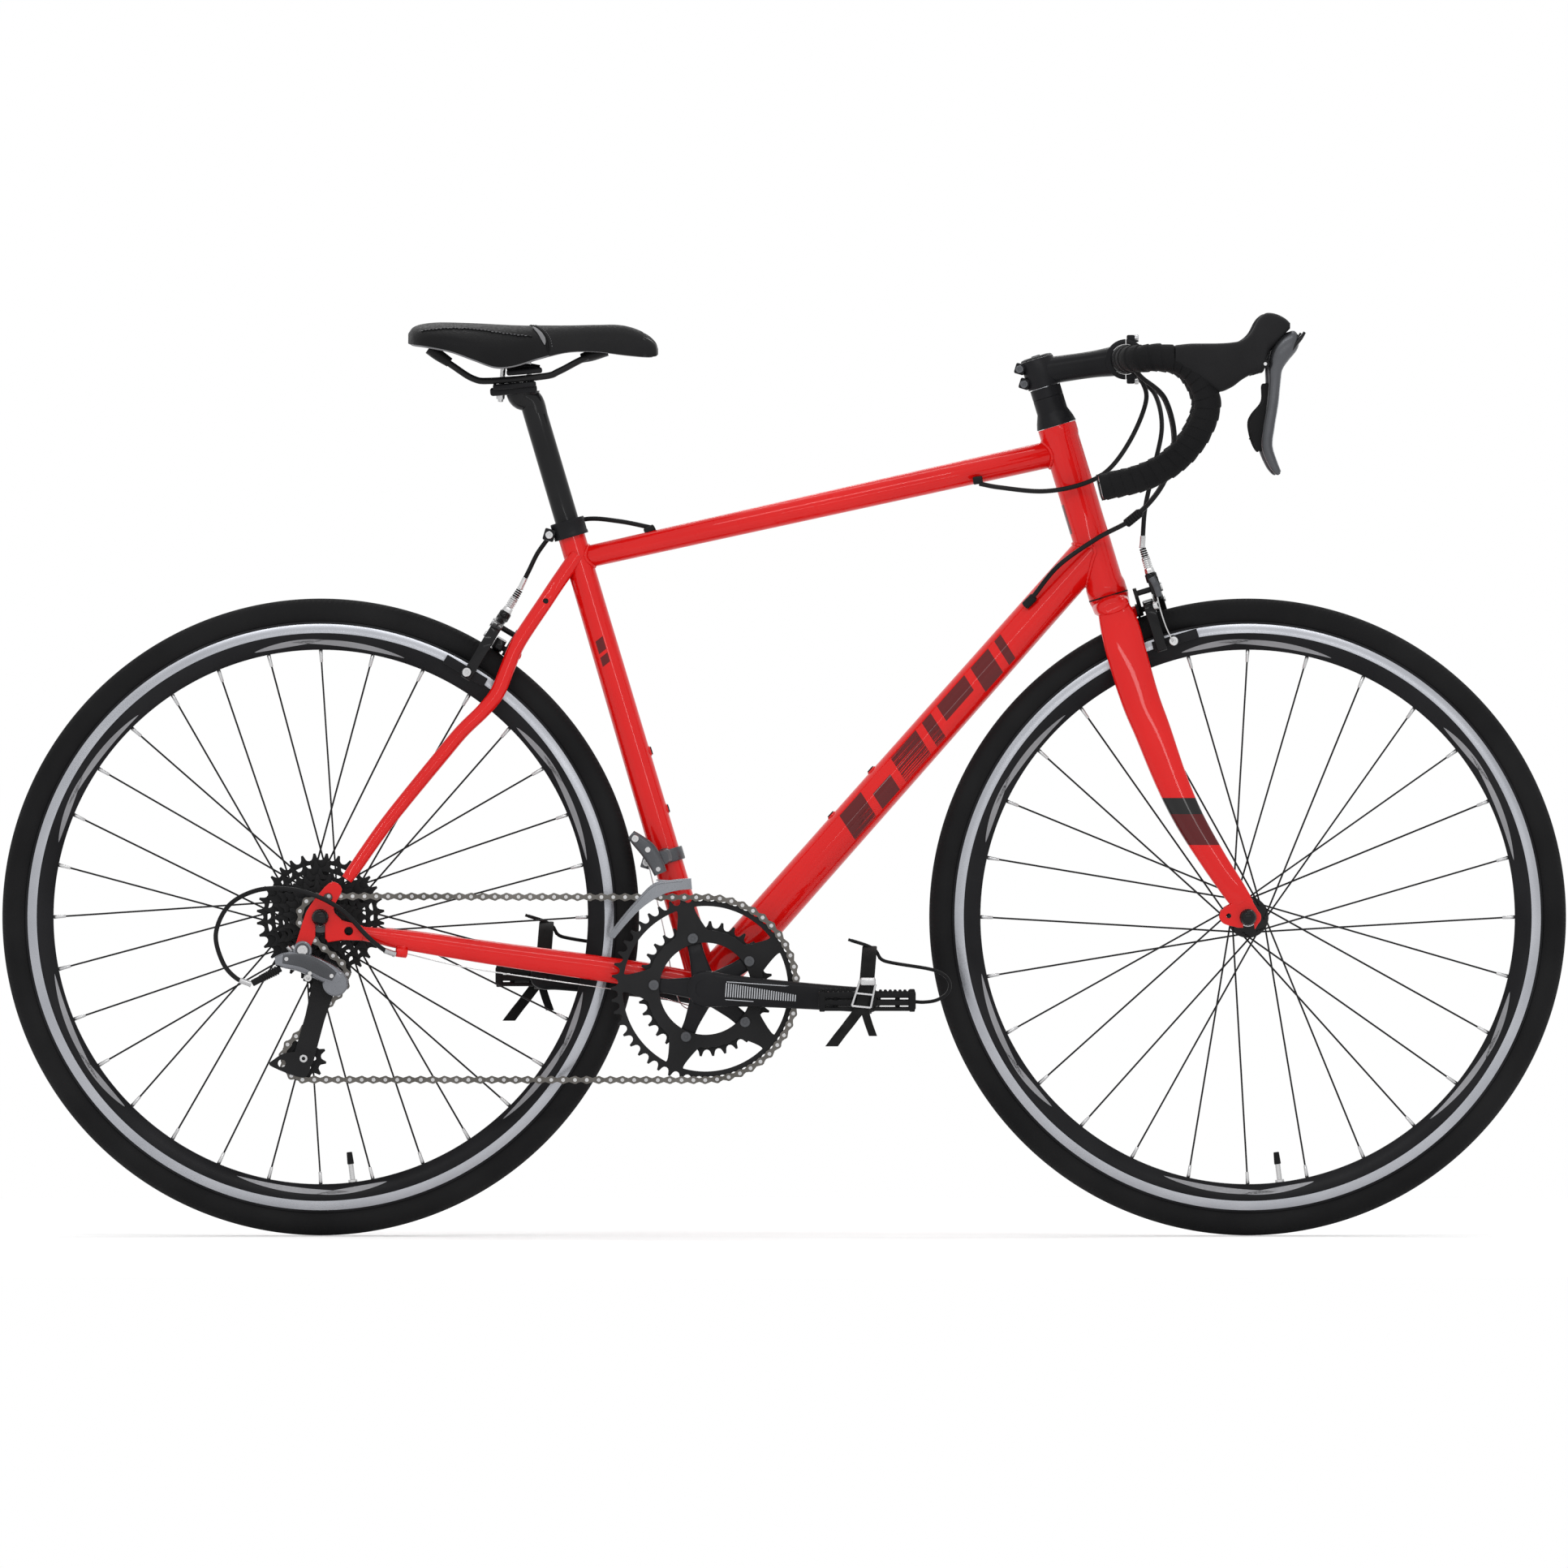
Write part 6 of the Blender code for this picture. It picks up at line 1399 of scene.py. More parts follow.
def chain_y(x):
    share = min(max((x + 0.455) / 0.34, 0), 1)
    return COG_Y + (OUTER_Y - COG_Y) * share


def link_plate(name, near, far, y, wide):
    """Waisted plate of one chain link."""
    way = far - near
    angle = math.atan2(way.y, way.x)
    half = way.length / 2
    middle = (near + far) / 2
    size = 0.0043 if wide else 0.004
    local = circle((half, 0), size, 9, -math.pi / 2,
                   math.pi) + [(0, size * 0.5)] + circle((-half, 0), size, 9, math.pi / 2,
                           math.pi) + [(0, -size * 0.5)]
    c, s = math.cos(angle), math.sin(angle)
    turned_points = [(middle.x + u * c - v * s, middle.y + u * s + v * c) for u, v in local]
    points = [(x, y + side * 0.00045, z) for side in (-1, 1) for x, z in turned_points]
    count = len(local)
    faces = [tuple(range(count)), tuple(range(count, 2 * count))]
    faces += [(k, (k + 1) % count, count + (k + 1) % count, count + k) for k in range(count)]
    shape = from_lists(name, points, faces)
    return tidy_mesh(shape)


def make_chain():
    """Rollers, pins and waisted plates along the pitch line, in four lengths."""
    parts = belt()
    line, marks = [], []
    for k, (arc, straight) in enumerate(parts):
        for point in arc:
            line.append(point)
            marks.append(("wrap", k))
        for point in straight:
            line.append(point)
            marks.append(("run", k))
    total = sum(((b - a).length for a, b in zip(line, line[1:] + line[:1])))
    count = 2 * round(total / PITCH / 2)
    step, spots, run, target = total / count, [], 0.0, 0.0
    for k, point in enumerate(line):
        after = line[(k + 1) % len(line)]
        length = (after - point).length
        while target < run + length - 1e-09 and len(spots) < count:
            spots.append((point.lerp(after, (target - run) / length), marks[k]))
            target += step
        run += length
    group = {("wrap", 0): "front", ("run", 0): "front", ("wrap", 1): "front", ("run", 1): "feed",
             ("wrap", 2): "cage", ("run", 2): "cage", ("wrap", 3): "cage", ("run", 3): "return"}
    shapes = {part: [] for part in ("front", "feed", "cage", "return")}
    pins = {part: [] for part in shapes}
    for k in range(count):
        near, mark = spots[k]
        far = spots[(k + 1) % count][0]
        y = chain_y((near.x + far.x) / 2)
        wide = k % 2 == 0
        gap = 0.0029 if wide else 0.0018
        home = shapes[group[mark]]
        home.append(link_plate("plate", near, far, y - gap, wide))
        home.append(link_plate("plate", near, far, y + gap, wide))
        here = chain_y(near.x)
        for name, reach, radius, sides in (("roller", 0.0014, 0.0038, 12),
                ("pin", 0.0036, 0.0022, 10)):
            pins[group[mark]].append(rod(name, (near.x, here - reach, near.y),
                    (near.x, here + reach, near.y), radius, sides=sides, edge=0.0002))
    for name, body in (("front", "frame"), ("cage", "cage")):
        put(f"chain_{name}_links", shapes[name], body, "chain", chain_steel, 40)
        put(f"chain_{name}_pins", pins[name], body, "chain", bolt_steel, 40)
    last_wrap, feed, back = parts[1][0][-1], parts[2][0][0], parts[3][0][-1]
    for name, start, end in (("feed", last_wrap, feed), ("return", Vector((-0.33, 0.17)), back)):
        bend = ("frame", "cage", (start.x, COG_Y, start.y), (end.x, COG_Y, end.y))
        put(f"chain_{name}_links", shapes[name], bend, "chain", chain_steel, 40)
        put(f"chain_{name}_pins", pins[name], bend, "chain", bolt_steel, 40)


COGS = (32, 28, 24, 21, 18, 15, 13, 11)


def make_cassette():
    shapes, spacers = [], []
    for k, teeth in enumerate(COGS):
        y = -0.0251 - (0.0585 - 0.0251) * k / 7
        pitch = pitch_radius(teeth)
        outlines = [tooth_outline(teeth, 0.2 * k)]
        if teeth > 20:
            inner = pitch - 0.0155
            arms = 6 if teeth > 22 else 5
            for j in range(arms):
                outlines.append(window(TURN * (j + 0.2 * k) / arms, math.pi / arms * 0.66,
                                       max(inner * 0.5, 0.0215), pitch - 0.0085))
        outlines.append(circle((0, 0), 0.0166, 40))
        shapes.append(side_disc("cog", outlines, REAR_AXLE, y, 0.0019))
        if k:
            spacers.append(sleeve("spacer", 0.019, 0.0166, 0.0009,
                                  REAR_AXLE + LEFT * (y + 0.0024)))
    put("cassette_sprockets", shapes, "cassette_body", "cassette", dark_steel, 40)

    ring = turned("lockring", [(0.0164, -0.0598), (0.0164, -0.0606), (0.01, -0.0606),
                               (0.01, -0.059), (0.0164, -0.059)], REAR_AXLE, LEFT, 64)
    teeth = [block("spline", REAR_AXLE + around(0.0104, a, -0.0603), (0.0018, 0.0014, 0.0016), -a,
                   0.0003) for a in angles(12)]
    put("cassette_lockring", [ring, *teeth, *spacers], "cassette_body", "cassette", dark_grey)


def side_disc(name, outlines, centre, y, thick, edge=0.0003):
    """Plate about an axle along Y."""
    moved = [[(centre.x + u, centre.z + v) for u, v in outline] for outline in outlines]
    return side_plate(name, moved, y, thick, edge)


def make_rear_derailleur():
    out = -0.0716
    mid = out - 0.009
    body = [cross_rod("b_knuckle", HANGER, out - 0.015, out, 0.01, sides=48, edge=0.0012),
            limb("link", [(-0.541, mid, 0.2925, 0.005, 0.005), (-0.53, mid, 0.2935, 0.007, 0.0088),
                          (-0.515, mid - 0.001, 0.2925, 0.008, 0.0108),
                          (-0.498, mid - 0.001, 0.286, 0.0082, 0.0112),
                          (-0.482, mid, 0.278, 0.008, 0.0112), (-0.472, mid, 0.272, 0.007, 0.009)],
                 8, 40, 3.0), cross_rod("p_knuckle", CAGE_PIVOT, out - 0.016, out + 0.0008, 0.0135,
                                        sides=56, edge=0.0016)]
    put("rear_derailleur_body", body, "frame", "rear_derailleur", grey_alloy, 40)

    outer = [limb("outer_link", [(-0.533, mid - 0.0078, 0.295, 0.0014, 0.0048),
                                 (-0.51, mid - 0.0096, 0.293, 0.0016, 0.0074),
                                 (-0.49, mid - 0.0094, 0.283, 0.0016, 0.0072),
                                 (-0.478, mid - 0.008, 0.276, 0.0014, 0.005)], 8, 32, 3.0),
             cross_rod("ring", HANGER, out - 0.0158, out - 0.014, 0.0078, sides=48)]
    put("rear_derailleur_link", outer, "frame", "rear_derailleur", dark_grey, 40)

    bolts = [socket_bolt("hanger_bolt", Vector((HANGER.x, out - 0.0156, HANGER.z)), -LEFT, 0.0056,
                         0.002, 0.8), *[cross_rod("pin", (x, 0, z), mid - 0.0106, mid - 0.008,
                                 0.0022) for x, z in ((-0.529, 0.295), (-0.481, 0.277),
                                         (-0.504, 0.28))], rod("limit_screw",
                                                 (-0.518, mid - 0.004, 0.303),
                                                 (-0.523, mid - 0.004, 0.309), 0.0018),
             rod("limit_screw", (-0.522, mid + 0.003, 0.302), (-0.528, mid + 0.003, 0.308),
                 0.0018), socket_bolt("cable_clamp", Vector((-0.506, mid - 0.006, 0.276)),
                                      (0, -1, -0.3), 0.0042, 0.004)]
    put("rear_derailleur_bolts", bolts, "frame", "rear_derailleur", bolt_steel)

    foot, head = Vector((-0.535, mid, 0.285)), Vector((-0.5655, mid, 0.269))
    way = (head - foot).normalized()
    barrel = [rod("barrel", foot + way * (0.004 + 0.0026 * k), foot + way * (0.0062 + 0.0026 * k),
                  0.0048 - 0.0001 * k) for k in range(8)]
    barrel.append(rod("core", foot, head, 0.0036))
    put("rear_derailleur_barrel", barrel, "frame", "rear_derailleur", resin)

    down = math.atan2(TENSION.z - GUIDE.z, TENSION.x - GUIDE.x)
    upper = circle((GUIDE.x, GUIDE.z), 0.013, 20, down + math.pi / 2, math.pi)
    lower = circle((TENSION.x, TENSION.z), 0.011, 20, down - math.pi / 2, math.pi)
    waist = Vector((TENSION.x + GUIDE.x, TENSION.z + GUIDE.z)) / 2
    side = Vector((-math.sin(down), math.cos(down))) * 0.0105
    outline = upper + [(waist.x - side.x, waist.y - side.y)] + lower + [(waist.x + side.x,
            waist.y + side.y)]
    plates = [side_plate("cage", [outline], y, 0.0018, 0.0004) for y in (-0.0641, -0.0529)]
    guard = smooth([(-0.503, 0.196), (-0.5297, 0.195), (-0.544, 0.187), (-0.5475, 0.1835),
                    (-0.544, 0.18), (-0.525, 0.172), (-0.5098, 0.169), (-0.504, 0.176)], 5)
    plates.append(side_plate("guard", [[tuple(point) for point in guard],
                                       circle((-0.534, 0.1838), 0.0042, 20)], -0.0646, 0.0016,
                             0.0004))
    plates.append(cross_rod("stop", (waist.x + 0.0085, 0, waist.y + 0.03), -0.0645, -0.0525,
                            0.0022))
    plates.append(cross_rod("boss", CAGE_PIVOT, out + 0.0013, -0.0645, 0.011, sides=48))
    put("derailleur_cage_plates", plates, "cage", "derailleur_cage", dark_steel)

    axles = [socket_bolt("axle", Vector((c.x, -0.065, c.z)), -LEFT, 0.0042, 0.0016, 0.8)
             for c in (GUIDE, TENSION)]
    axles += [cross_rod("sleeve", c, -0.0636, -0.0524, 0.0028) for c in (GUIDE, TENSION)]
    put("pulley_bolts", axles, "cage", "derailleur_cage", bolt_steel)

    for node, body, centre in (("guide_pulley", "guide_wheel", GUIDE),
                               ("tension_pulley", "tension_wheel", TENSION)):
        holes = [circle(polar(0.0112, a), 0.0021, 12) for a in angles(6)]
        wheel = side_disc("wheel", [tooth_outline(11, 0.1, 0.6), circle((0, 0), 0.006, 24)]
                          + holes, centre, COG_Y, 0.002)
        rim = sleeve("boss", 0.016, 0.014, 0.0016, centre)
        put(f"{node}_teeth", [wheel, rim], body, node, resin)
        bush = sleeve("bush", 0.0066, 0.0033, 0.0024, centre, 32)
        put(f"{node}_bearing", bush, body, node, bolt_steel)


def make_front_derailleur():
    height = 0.146
    foot = seat_at(height)
    bore = SEAT_FOOT_RADIUS - 0.0019 * (height - 0.007) / SEAT_LENGTH + 0.0001
    band = turned("band", [(bore + 0.0026, 0.007), (bore + 0.0032, 0.0062),
                           (bore + 0.0032, -0.0062), (bore + 0.0026, -0.007), (bore, -0.007),
                           (bore, 0.007)], foot, SEAT_UP, 72)
    lugs = [block("lug", foot + Vector((-0.0215, s * 0.003, -0.006)), (0.01, 0.0046, 0.013), 0.29,
                  0.001) for s in (-1, 1)]
    arm = limb("arm", [(*foot + Vector((-0.002, -0.0165, 0.0)), 0.007, 0.008),
                       (-0.127, -0.024, 0.404, 0.0075, 0.0085),
                       (-0.13, -0.032, 0.402, 0.007, 0.0075)], 6, 32, 2.6, (1, 0, 0.3))
    put("front_derailleur_band", [band, *lugs, arm], "frame", "front_derailleur", dark_grey, 40)

    link = [limb("link_arm", [(-0.163, -0.0345, 0.427, 0.005, 0.0052),
                              (-0.155, -0.0345, 0.42, 0.0066, 0.0072),
                              (-0.1451, -0.0348, 0.4107, 0.007, 0.0088),
                              (-0.1375, -0.0348, 0.399, 0.0064, 0.0082),
                              (-0.1315, -0.0345, 0.3855, 0.0056, 0.007)], 7, 32, 2.8)]
    put("front_derailleur_links", link, "frame", "front_derailleur", dark_grey, 40)

    bolts = [socket_bolt("clamp_bolt", foot + Vector((-0.0215, -0.0056, -0.006)), -LEFT, 0.0042,
                         0.004), socket_bolt("cable_bolt", Vector((-0.1585, -0.04, 0.4225)), -LEFT,
                                 0.004, 0.0034), cross_rod("pivot", (-0.1451, 0, 0.4107), -0.0428,
                                         -0.04, 0.003), cross_rod("pivot", (-0.134, 0, 0.39),
                                                 -0.0414, -0.039, 0.0026)]
    put("front_derailleur_bolts", bolts, "frame", "front_derailleur", bolt_steel)

    upper = smooth([(-0.099, 0.3806), (-0.118, 0.379), (-0.139, 0.375), (-0.16, 0.354),
                    (-0.176, 0.335), (-0.188, 0.319)], 6)
    lower = smooth([(-0.1806, 0.3165), (-0.166, 0.334), (-0.15, 0.35), (-0.1304, 0.3625),
                    (-0.115, 0.3672), (-0.098, 0.369)], 6)
    outline = [tuple(point) for point in upper + lower]
    cage = [side_plate("cage", [outline], y, 0.0014, 0.0003) for y in (-0.0535, -0.0405)]
    cage.append(block("shelf", (-0.119, -0.047, 0.3776), (0.034, 0.013, 0.0014), 0.06, 0.0003))
    cage.append(cross_rod("tail", (-0.1838, 0, 0.319), -0.054, -0.04, 0.0022))
    ridge = [Vector((x, -0.0545, z - 0.0022)) for x, z in upper[3:-4]]
    cage.append(wire("ridge", ridge, 0.0009, 10))
    put("front_derailleur_cage_plates", cage, "front_cage", "front_derailleur_cage", grey_alloy,
        40)


# ------------------------ fork and cockpit


def make_fork():
    stations = [(0.349, 0.671, 0.028, 0.0165, 0.0085), (0.3567, 0.6491, 0.032, 0.0205, 0.0095),
                (0.364, 0.62, 0.035, 0.0212, 0.0095), (0.3787, 0.5713, 0.0385, 0.0203, 0.0092),
                (0.3921, 0.5368, 0.041, 0.0192, 0.009), (0.4116, 0.485, 0.0445, 0.0172, 0.0083),
                (0.431, 0.443, 0.0475, 0.0155, 0.0076), (0.456, 0.401, 0.0505, 0.0138, 0.0066),
                (0.4759, 0.371, 0.0525, 0.0128, 0.0055), (0.487, 0.3545, 0.0533, 0.0115, 0.0032)]
    shapes = [limb(f"blade_{s}", mirrored(stations, s), 8, 44, 2.3) for s in (-1, 1)]
    crown = [(0.35, -0.0395, 0.668, 0.005, 0.011), (0.35, -0.0375, 0.669, 0.0072, 0.014),
             (0.3495, -0.032, 0.6695, 0.0105, 0.0175), (0.348, -0.015, 0.6705, 0.011, 0.0196),
             (0.348, 0, 0.671, 0.011, 0.02), (0.348, 0.015, 0.6705, 0.011, 0.0196),
             (0.3495, 0.032, 0.6695, 0.0105, 0.0175), (0.35, 0.0375, 0.669, 0.0072, 0.014),
             (0.35, 0.0395, 0.668, 0.005, 0.011)]
    rings = [oval((x, y, z), LEFT, HEAD_AHEAD, deep, high, 48, 2.4)
             for x, y, z, high, deep in smooth(crown, 6)]
    shapes.append(skin("crown", rings))
    shapes.append(turned("race", [(0, -0.001), (0.0213, -0.001), (0.0213, -0.003),
                                  (0.0204, -0.006), (0.0195, -0.015), (0, -0.015)], HEAD_FOOT,
                         HEAD_UP, 72))
    spot = caliper_spot("front")
    shapes.append(rod("boss", spot(0, 0, -0.03), spot(0, 0, -0.012), 0.0062))
    x, z = FRONT_AXLE.x, FRONT_AXLE.z
    slot = 0.0052
    arch = circle((x, z), slot, 13, math.pi, -math.pi)
    rest = [(x + slot + 0.002, z - 0.013)] + circle((x + 0.005, z), 0.009, 8, math.radians(-50),
            math.radians(100)) + outline_of(smooth([(x + 0.006, z + 0.015), (x + 0.001, z + 0.021),
                    (x - 0.022, z + 0.012), (x - 0.03, z + 0.004), (x - 0.027, z - 0.006),
                    (x - 0.011, z - 0.011)], 5)) + [(x - slot, z - 0.011)]
    eyelet = [circle((x - 0.0205, z + 0.0015), 0.0026, 20)]
    shapes += [side_plate("end", [arch + rest] + eyelet, s * 0.0533, 0.0058, 0.0008)
               for s in (-1, 1)]
    put("fork_blades", shapes, "steering", "fork", fork_paint, 50)

    steerer = rod("steerer", head_at(-0.01), head_at(HEAD_LENGTH + 0.07), 0.0142, sides=64)
    put("fork_steerer", steerer, "steering", "fork", silver)
    put("front_brake_mount", brake_mount("front", -0.028), "steering", "fork", dark_steel)


def make_cockpit():
    base = HEAD_LENGTH
    cone = turned("cone", [(0.0165, base + 0.0428), (0.0165, base + 0.0322),
                           (0.0161, base + 0.0318), (0.0165, base + 0.0314),
                           (0.0165, base + 0.0165), (0.0178, base + 0.013), (0.02, base + 0.007),
                           (0.021, base + 0.003), (0.0215, base + 0.001), (0.0212, base + 0.0004),
                           (0.0146, base + 0.0004), (0.0146, base + 0.0428)], HEAD_FOOT, HEAD_UP,
                  72)
    lower = turned("lower_seal", [(0.0214, 0.0006), (0.0216, -0.0003), (0.0214, -0.001),
                                  (0.015, -0.001), (0.015, 0.0006)], HEAD_FOOT, HEAD_UP, 72)
    put("headset_spacers", cone, "steering", "headset_cover", black, 30)
    put("headset_lower_seal", lower, "steering", "headset_cover", resin)

    clamp = turned("clamp", [(0.018, base + 0.0735), (0.0172, base + 0.0745),
                             (0.015, base + 0.0745), (0.015, base + 0.0435),
                             (0.0172, base + 0.0435), (0.018, base + 0.0443)], HEAD_FOOT, HEAD_UP,
                   72)
    start, end = head_at(base + 0.06), Vector((0.352, 0, 0.9305))
    way = (end - start).normalized()
    arm = limb("arm", [(*start + way * 0.004, 0.0165, 0.015),
                       (*start.lerp(end, 0.3), 0.015, 0.0142),
                       (*start.lerp(end, 0.7), 0.0152, 0.0142), (*end, 0.0185, 0.016)], 8, 48, 2.5)
    collar = turned("collar", [(0.0215, 0.0205), (0.0209, 0.021), (0.0162, 0.021),
                               (0.0162, -0.021), (0.0209, -0.021), (0.0215, -0.0205)], BAR, LEFT,
                    96)
    back_half = cut_half(collar, BAR, 1)
    ears = [block(f"ear_{k}_{s}", head_at(base + h) + Vector((-0.019, s * 0.0065, -0.0056)),
                  (0.011, 0.0085, 0.0115), 0.29, 0.0018, None, 3)
            for k, h in enumerate((0.0525, 0.069)) for s in (-1, 1)]
    cap = turned("cap", [(0, base + 0.0772), (0.012, base + 0.0772), (0.016, base + 0.0764),
                         (0.0172, base + 0.0752), (0.0172, base + 0.0746), (0, base + 0.0746)],
                 HEAD_FOOT, HEAD_UP, 72)
    put("stem_forging", [clamp, arm, back_half, *ears, cap], "steering", "stem", black, 40)

    bolts = []
    for h in (0.0525, 0.069):
        spot = head_at(base + h) + Vector((-0.0195, 0, -0.0058))
        bolts += [socket_bolt("head", spot - LEFT * 0.0102, -LEFT, 0.0042, 0.003),
                  rod("bolt", spot - LEFT * 0.0105, spot + LEFT * 0.011, 0.0024)]
    bolts.append(socket_bolt("cap_bolt", head_at(base + 0.0768), HEAD_UP, 0.0048, 0.0014))
    put("stem_bolts", bolts, "steering", "stem", dark_grey)

    face = turned("face", [(0.0212, 0.02), (0.0206, 0.0205), (0.0162, 0.0205), (0.0162, -0.0205),
                           (0.0206, -0.0205), (0.0212, -0.02)], BAR, LEFT, 96)
    shapes = [cut_half(face, BAR, -1)]
    shapes += [block(f"ear_{y}_{z}", BAR + Vector((0.0052, y, z)), (0.0086, 0.011, 0.009), 0,
                     0.0016, None, 3) for y in (-0.014, 0.014) for z in (-0.0215, 0.0215)]
    put("faceplate_half", shapes, "steering", "stem_faceplate", black, 40)

    heads = [socket_bolt("head", BAR + Vector((0.0095, y, z)), AHEAD, 0.0042, 0.004)
             for y in (-0.014, 0.014) for z in (-0.0225, 0.0225)]
    put("faceplate_bolts", heads, "steering", "stem_faceplate", bolt_steel)

    side = bar_line(14)
    middle = [(BAR.x, y, BAR.z) for y in (0.0, 0.02, 0.029, 0.033, 0.04, 0.044)]
    half = [Vector(point) for point in middle[1:]] + side
    route = [Vector((p.x, -p.y, p.z)) for p in reversed(half)] + [Vector(middle[0])] + half

    def bar_radius(run, angle):
        from_centre = abs(run - bar_length / 2)
        return BAR_RADIUS + 0.004 * (1 - smooth_step(0.028, 0.046, from_centre))
    bar_length = sum(((b - a).length for a, b in zip(route, route[1:])))
    put("handlebar_tube", wire("bar", route, bar_radius, 40), "steering", "handlebar", black)

    for name, sign in SIDES:
        make_tape(name, sign)
        make_hood(name, sign)
        make_lever(name, sign)


def cut_half(obj, centre, side):
    """Keeps the half of a shape behind a centre, or in front of it if side is -1."""
    bm = bmesh.new()
    bm.from_mesh(obj.data)
    cut = bmesh.ops.bisect_plane(bm, geom=bm.verts[:] + bm.edges[:] + bm.faces[:],
                                 plane_co=centre + AHEAD * (-0.0004 * side), plane_no=AHEAD * side,
                                 clear_outer=True)
    rims = [item for item in cut["geom_cut"] if isinstance(item, bmesh.types.BMEdge)]
    bmesh.ops.holes_fill(bm, edges=rims)
    bmesh.ops.recalc_face_normals(bm, faces=bm.faces)
    bm.to_mesh(obj.data)
    bm.free()
    return obj


def bar_line(per):
    w = BAR_WIDE
    points = [(0.3636, 0.06, 0.9324), (0.3636, 0.14, 0.9324), (0.366, 0.18, 0.9325),
              (0.379, 0.202, 0.933), (0.4, w, 0.9342), (0.423, w, 0.929), (0.44, w, 0.912),
              (0.449, w, 0.884), (0.437, w, 0.851), (0.413, w, 0.824), (0.38, w, 0.8065),
              (0.336, w, 0.796)]
    return vectors(smooth(points, per))


def make_tape(name, sign):
    """Tape wound round the bar, each turn lapping over the last one."""
    route = [Vector((p.x, sign * p.y, p.z)) for p in bar_line(44)]
    lap = 0.0115

    def size(run, angle):
        share = (run / lap + sign * angle / TURN) % 1.0
        step = 0.0012 * (share ** 0.7 if share < 0.93 else (1 - share) / 0.07)
        wobble = 0.00012 * math.sin(run * 310 + angle * 2)
        return BAR_RADIUS + 0.0017 + step + wobble
    tape = wire("tape", route, size, 48)
    put(f"bar_tape_{name}_wrap", tape, "steering", f"bar_tape_{name}", tape_cover, 30)

    first, second = route[0], route[6]
    way = (second - first).normalized()
    band = turned("band", [(BAR_RADIUS + 0.0029, 0.012), (BAR_RADIUS + 0.003, 0.0005),
                           (BAR_RADIUS + 0.0006, 0), (BAR_RADIUS + 0.0006, 0.0125)],
                  first - way * 0.001, way, 64)
    put(f"bar_tape_{name}_finish", band, "steering", f"bar_tape_{name}", gloss_black)

    end, before = route[-1], route[-6]
    out = (end - before).normalized()
    plug = turned("plug", [(0, 0.0009), (0.0095, 0.0009), (0.0125, 0.0002), (0.0138, -0.0014),
                           (0.013, -0.003), (0, -0.003)], end, out, 56)
    put(f"bar_plug_{name}", plug, "steering", f"bar_tape_{name}", gloss_black)


HOOD = [(0.415, 0.947, 0.925, 0.0152), (0.43, 0.9486, 0.916, 0.0165),
        (0.445, 0.9488, 0.906, 0.0168), (0.46, 0.9489, 0.8975, 0.0165),
        (0.474, 0.9498, 0.902, 0.015), (0.485, 0.9522, 0.91, 0.0145),
        (0.4945, 0.96, 0.9155, 0.0145), (0.502, 0.9735, 0.9185, 0.015),
        (0.5085, 0.9798, 0.9215, 0.0152), (0.514, 0.9813, 0.94, 0.0152),
        (0.5225, 0.9798, 0.95, 0.0148), (0.531, 0.9755, 0.959, 0.013),
        (0.5365, 0.9705, 0.9645, 0.0095)]


def make_hood(name, sign):
    """Rubber hood over the lever's bracket, with ribs on its sides."""
    y = sign * BAR_WIDE
    rows = smooth(HOOD, 7)
    rings = []
    for x, top, bottom, half in rows:
        middle, tall = (top + bottom) / 2, (top - bottom) / 2
        ring = []
        for k in range(56):
            c, s = math.cos(TURN * k / 56), math.sin(TURN * k / 56)
            u = math.copysign(abs(c) ** (2 / 2.7), c)
            v = math.copysign(abs(s) ** (2 / 2.5), s)
            ribbed = smooth_step(0.445, 0.455, x) * (1 - smooth_step(0.484, 0.49, x))
            rib = 0.00035 * ribbed * (abs(math.sin(v * 16)) > 0.55) * (abs(u) > 0.8)
            ring.append(Vector((x, y + (half + rib) * u, middle + tall * v)))
        rings.append(ring)
    hood = skin("hood", rings)
    put(f"hood_{name}_rubber", hood, "steering", f"hood_{name}", hood_rubber, 60)

    inner = [[Vector((x, y + (half - 0.002) * math.cos(TURN * k / 40),
                      (top + bottom) / 2 - 0.003 + ((top - bottom) / 2 - 0.0012)
                      * math.sin(TURN * k / 40))) for k in range(40)]
             for x, top, bottom, half in rows if 0.496 <= x <= 0.526]
    bracket = [skin("bracket", inner)]
    pin_x, pin_z = 0.5101, 0.9272
    bracket.append(cross_rod("boss", (pin_x, 0, pin_z), y - 0.0118, y + 0.0118, 0.0048))
    put(f"lever_bracket_{name}", bracket, "steering", f"hood_{name}", resin, 50)

    pin = cross_rod("pin", (pin_x, 0, pin_z), y - 0.0126, y + 0.0126, 0.002)
    put(f"lever_pin_{name}", pin, "steering", f"hood_{name}", bolt_steel)


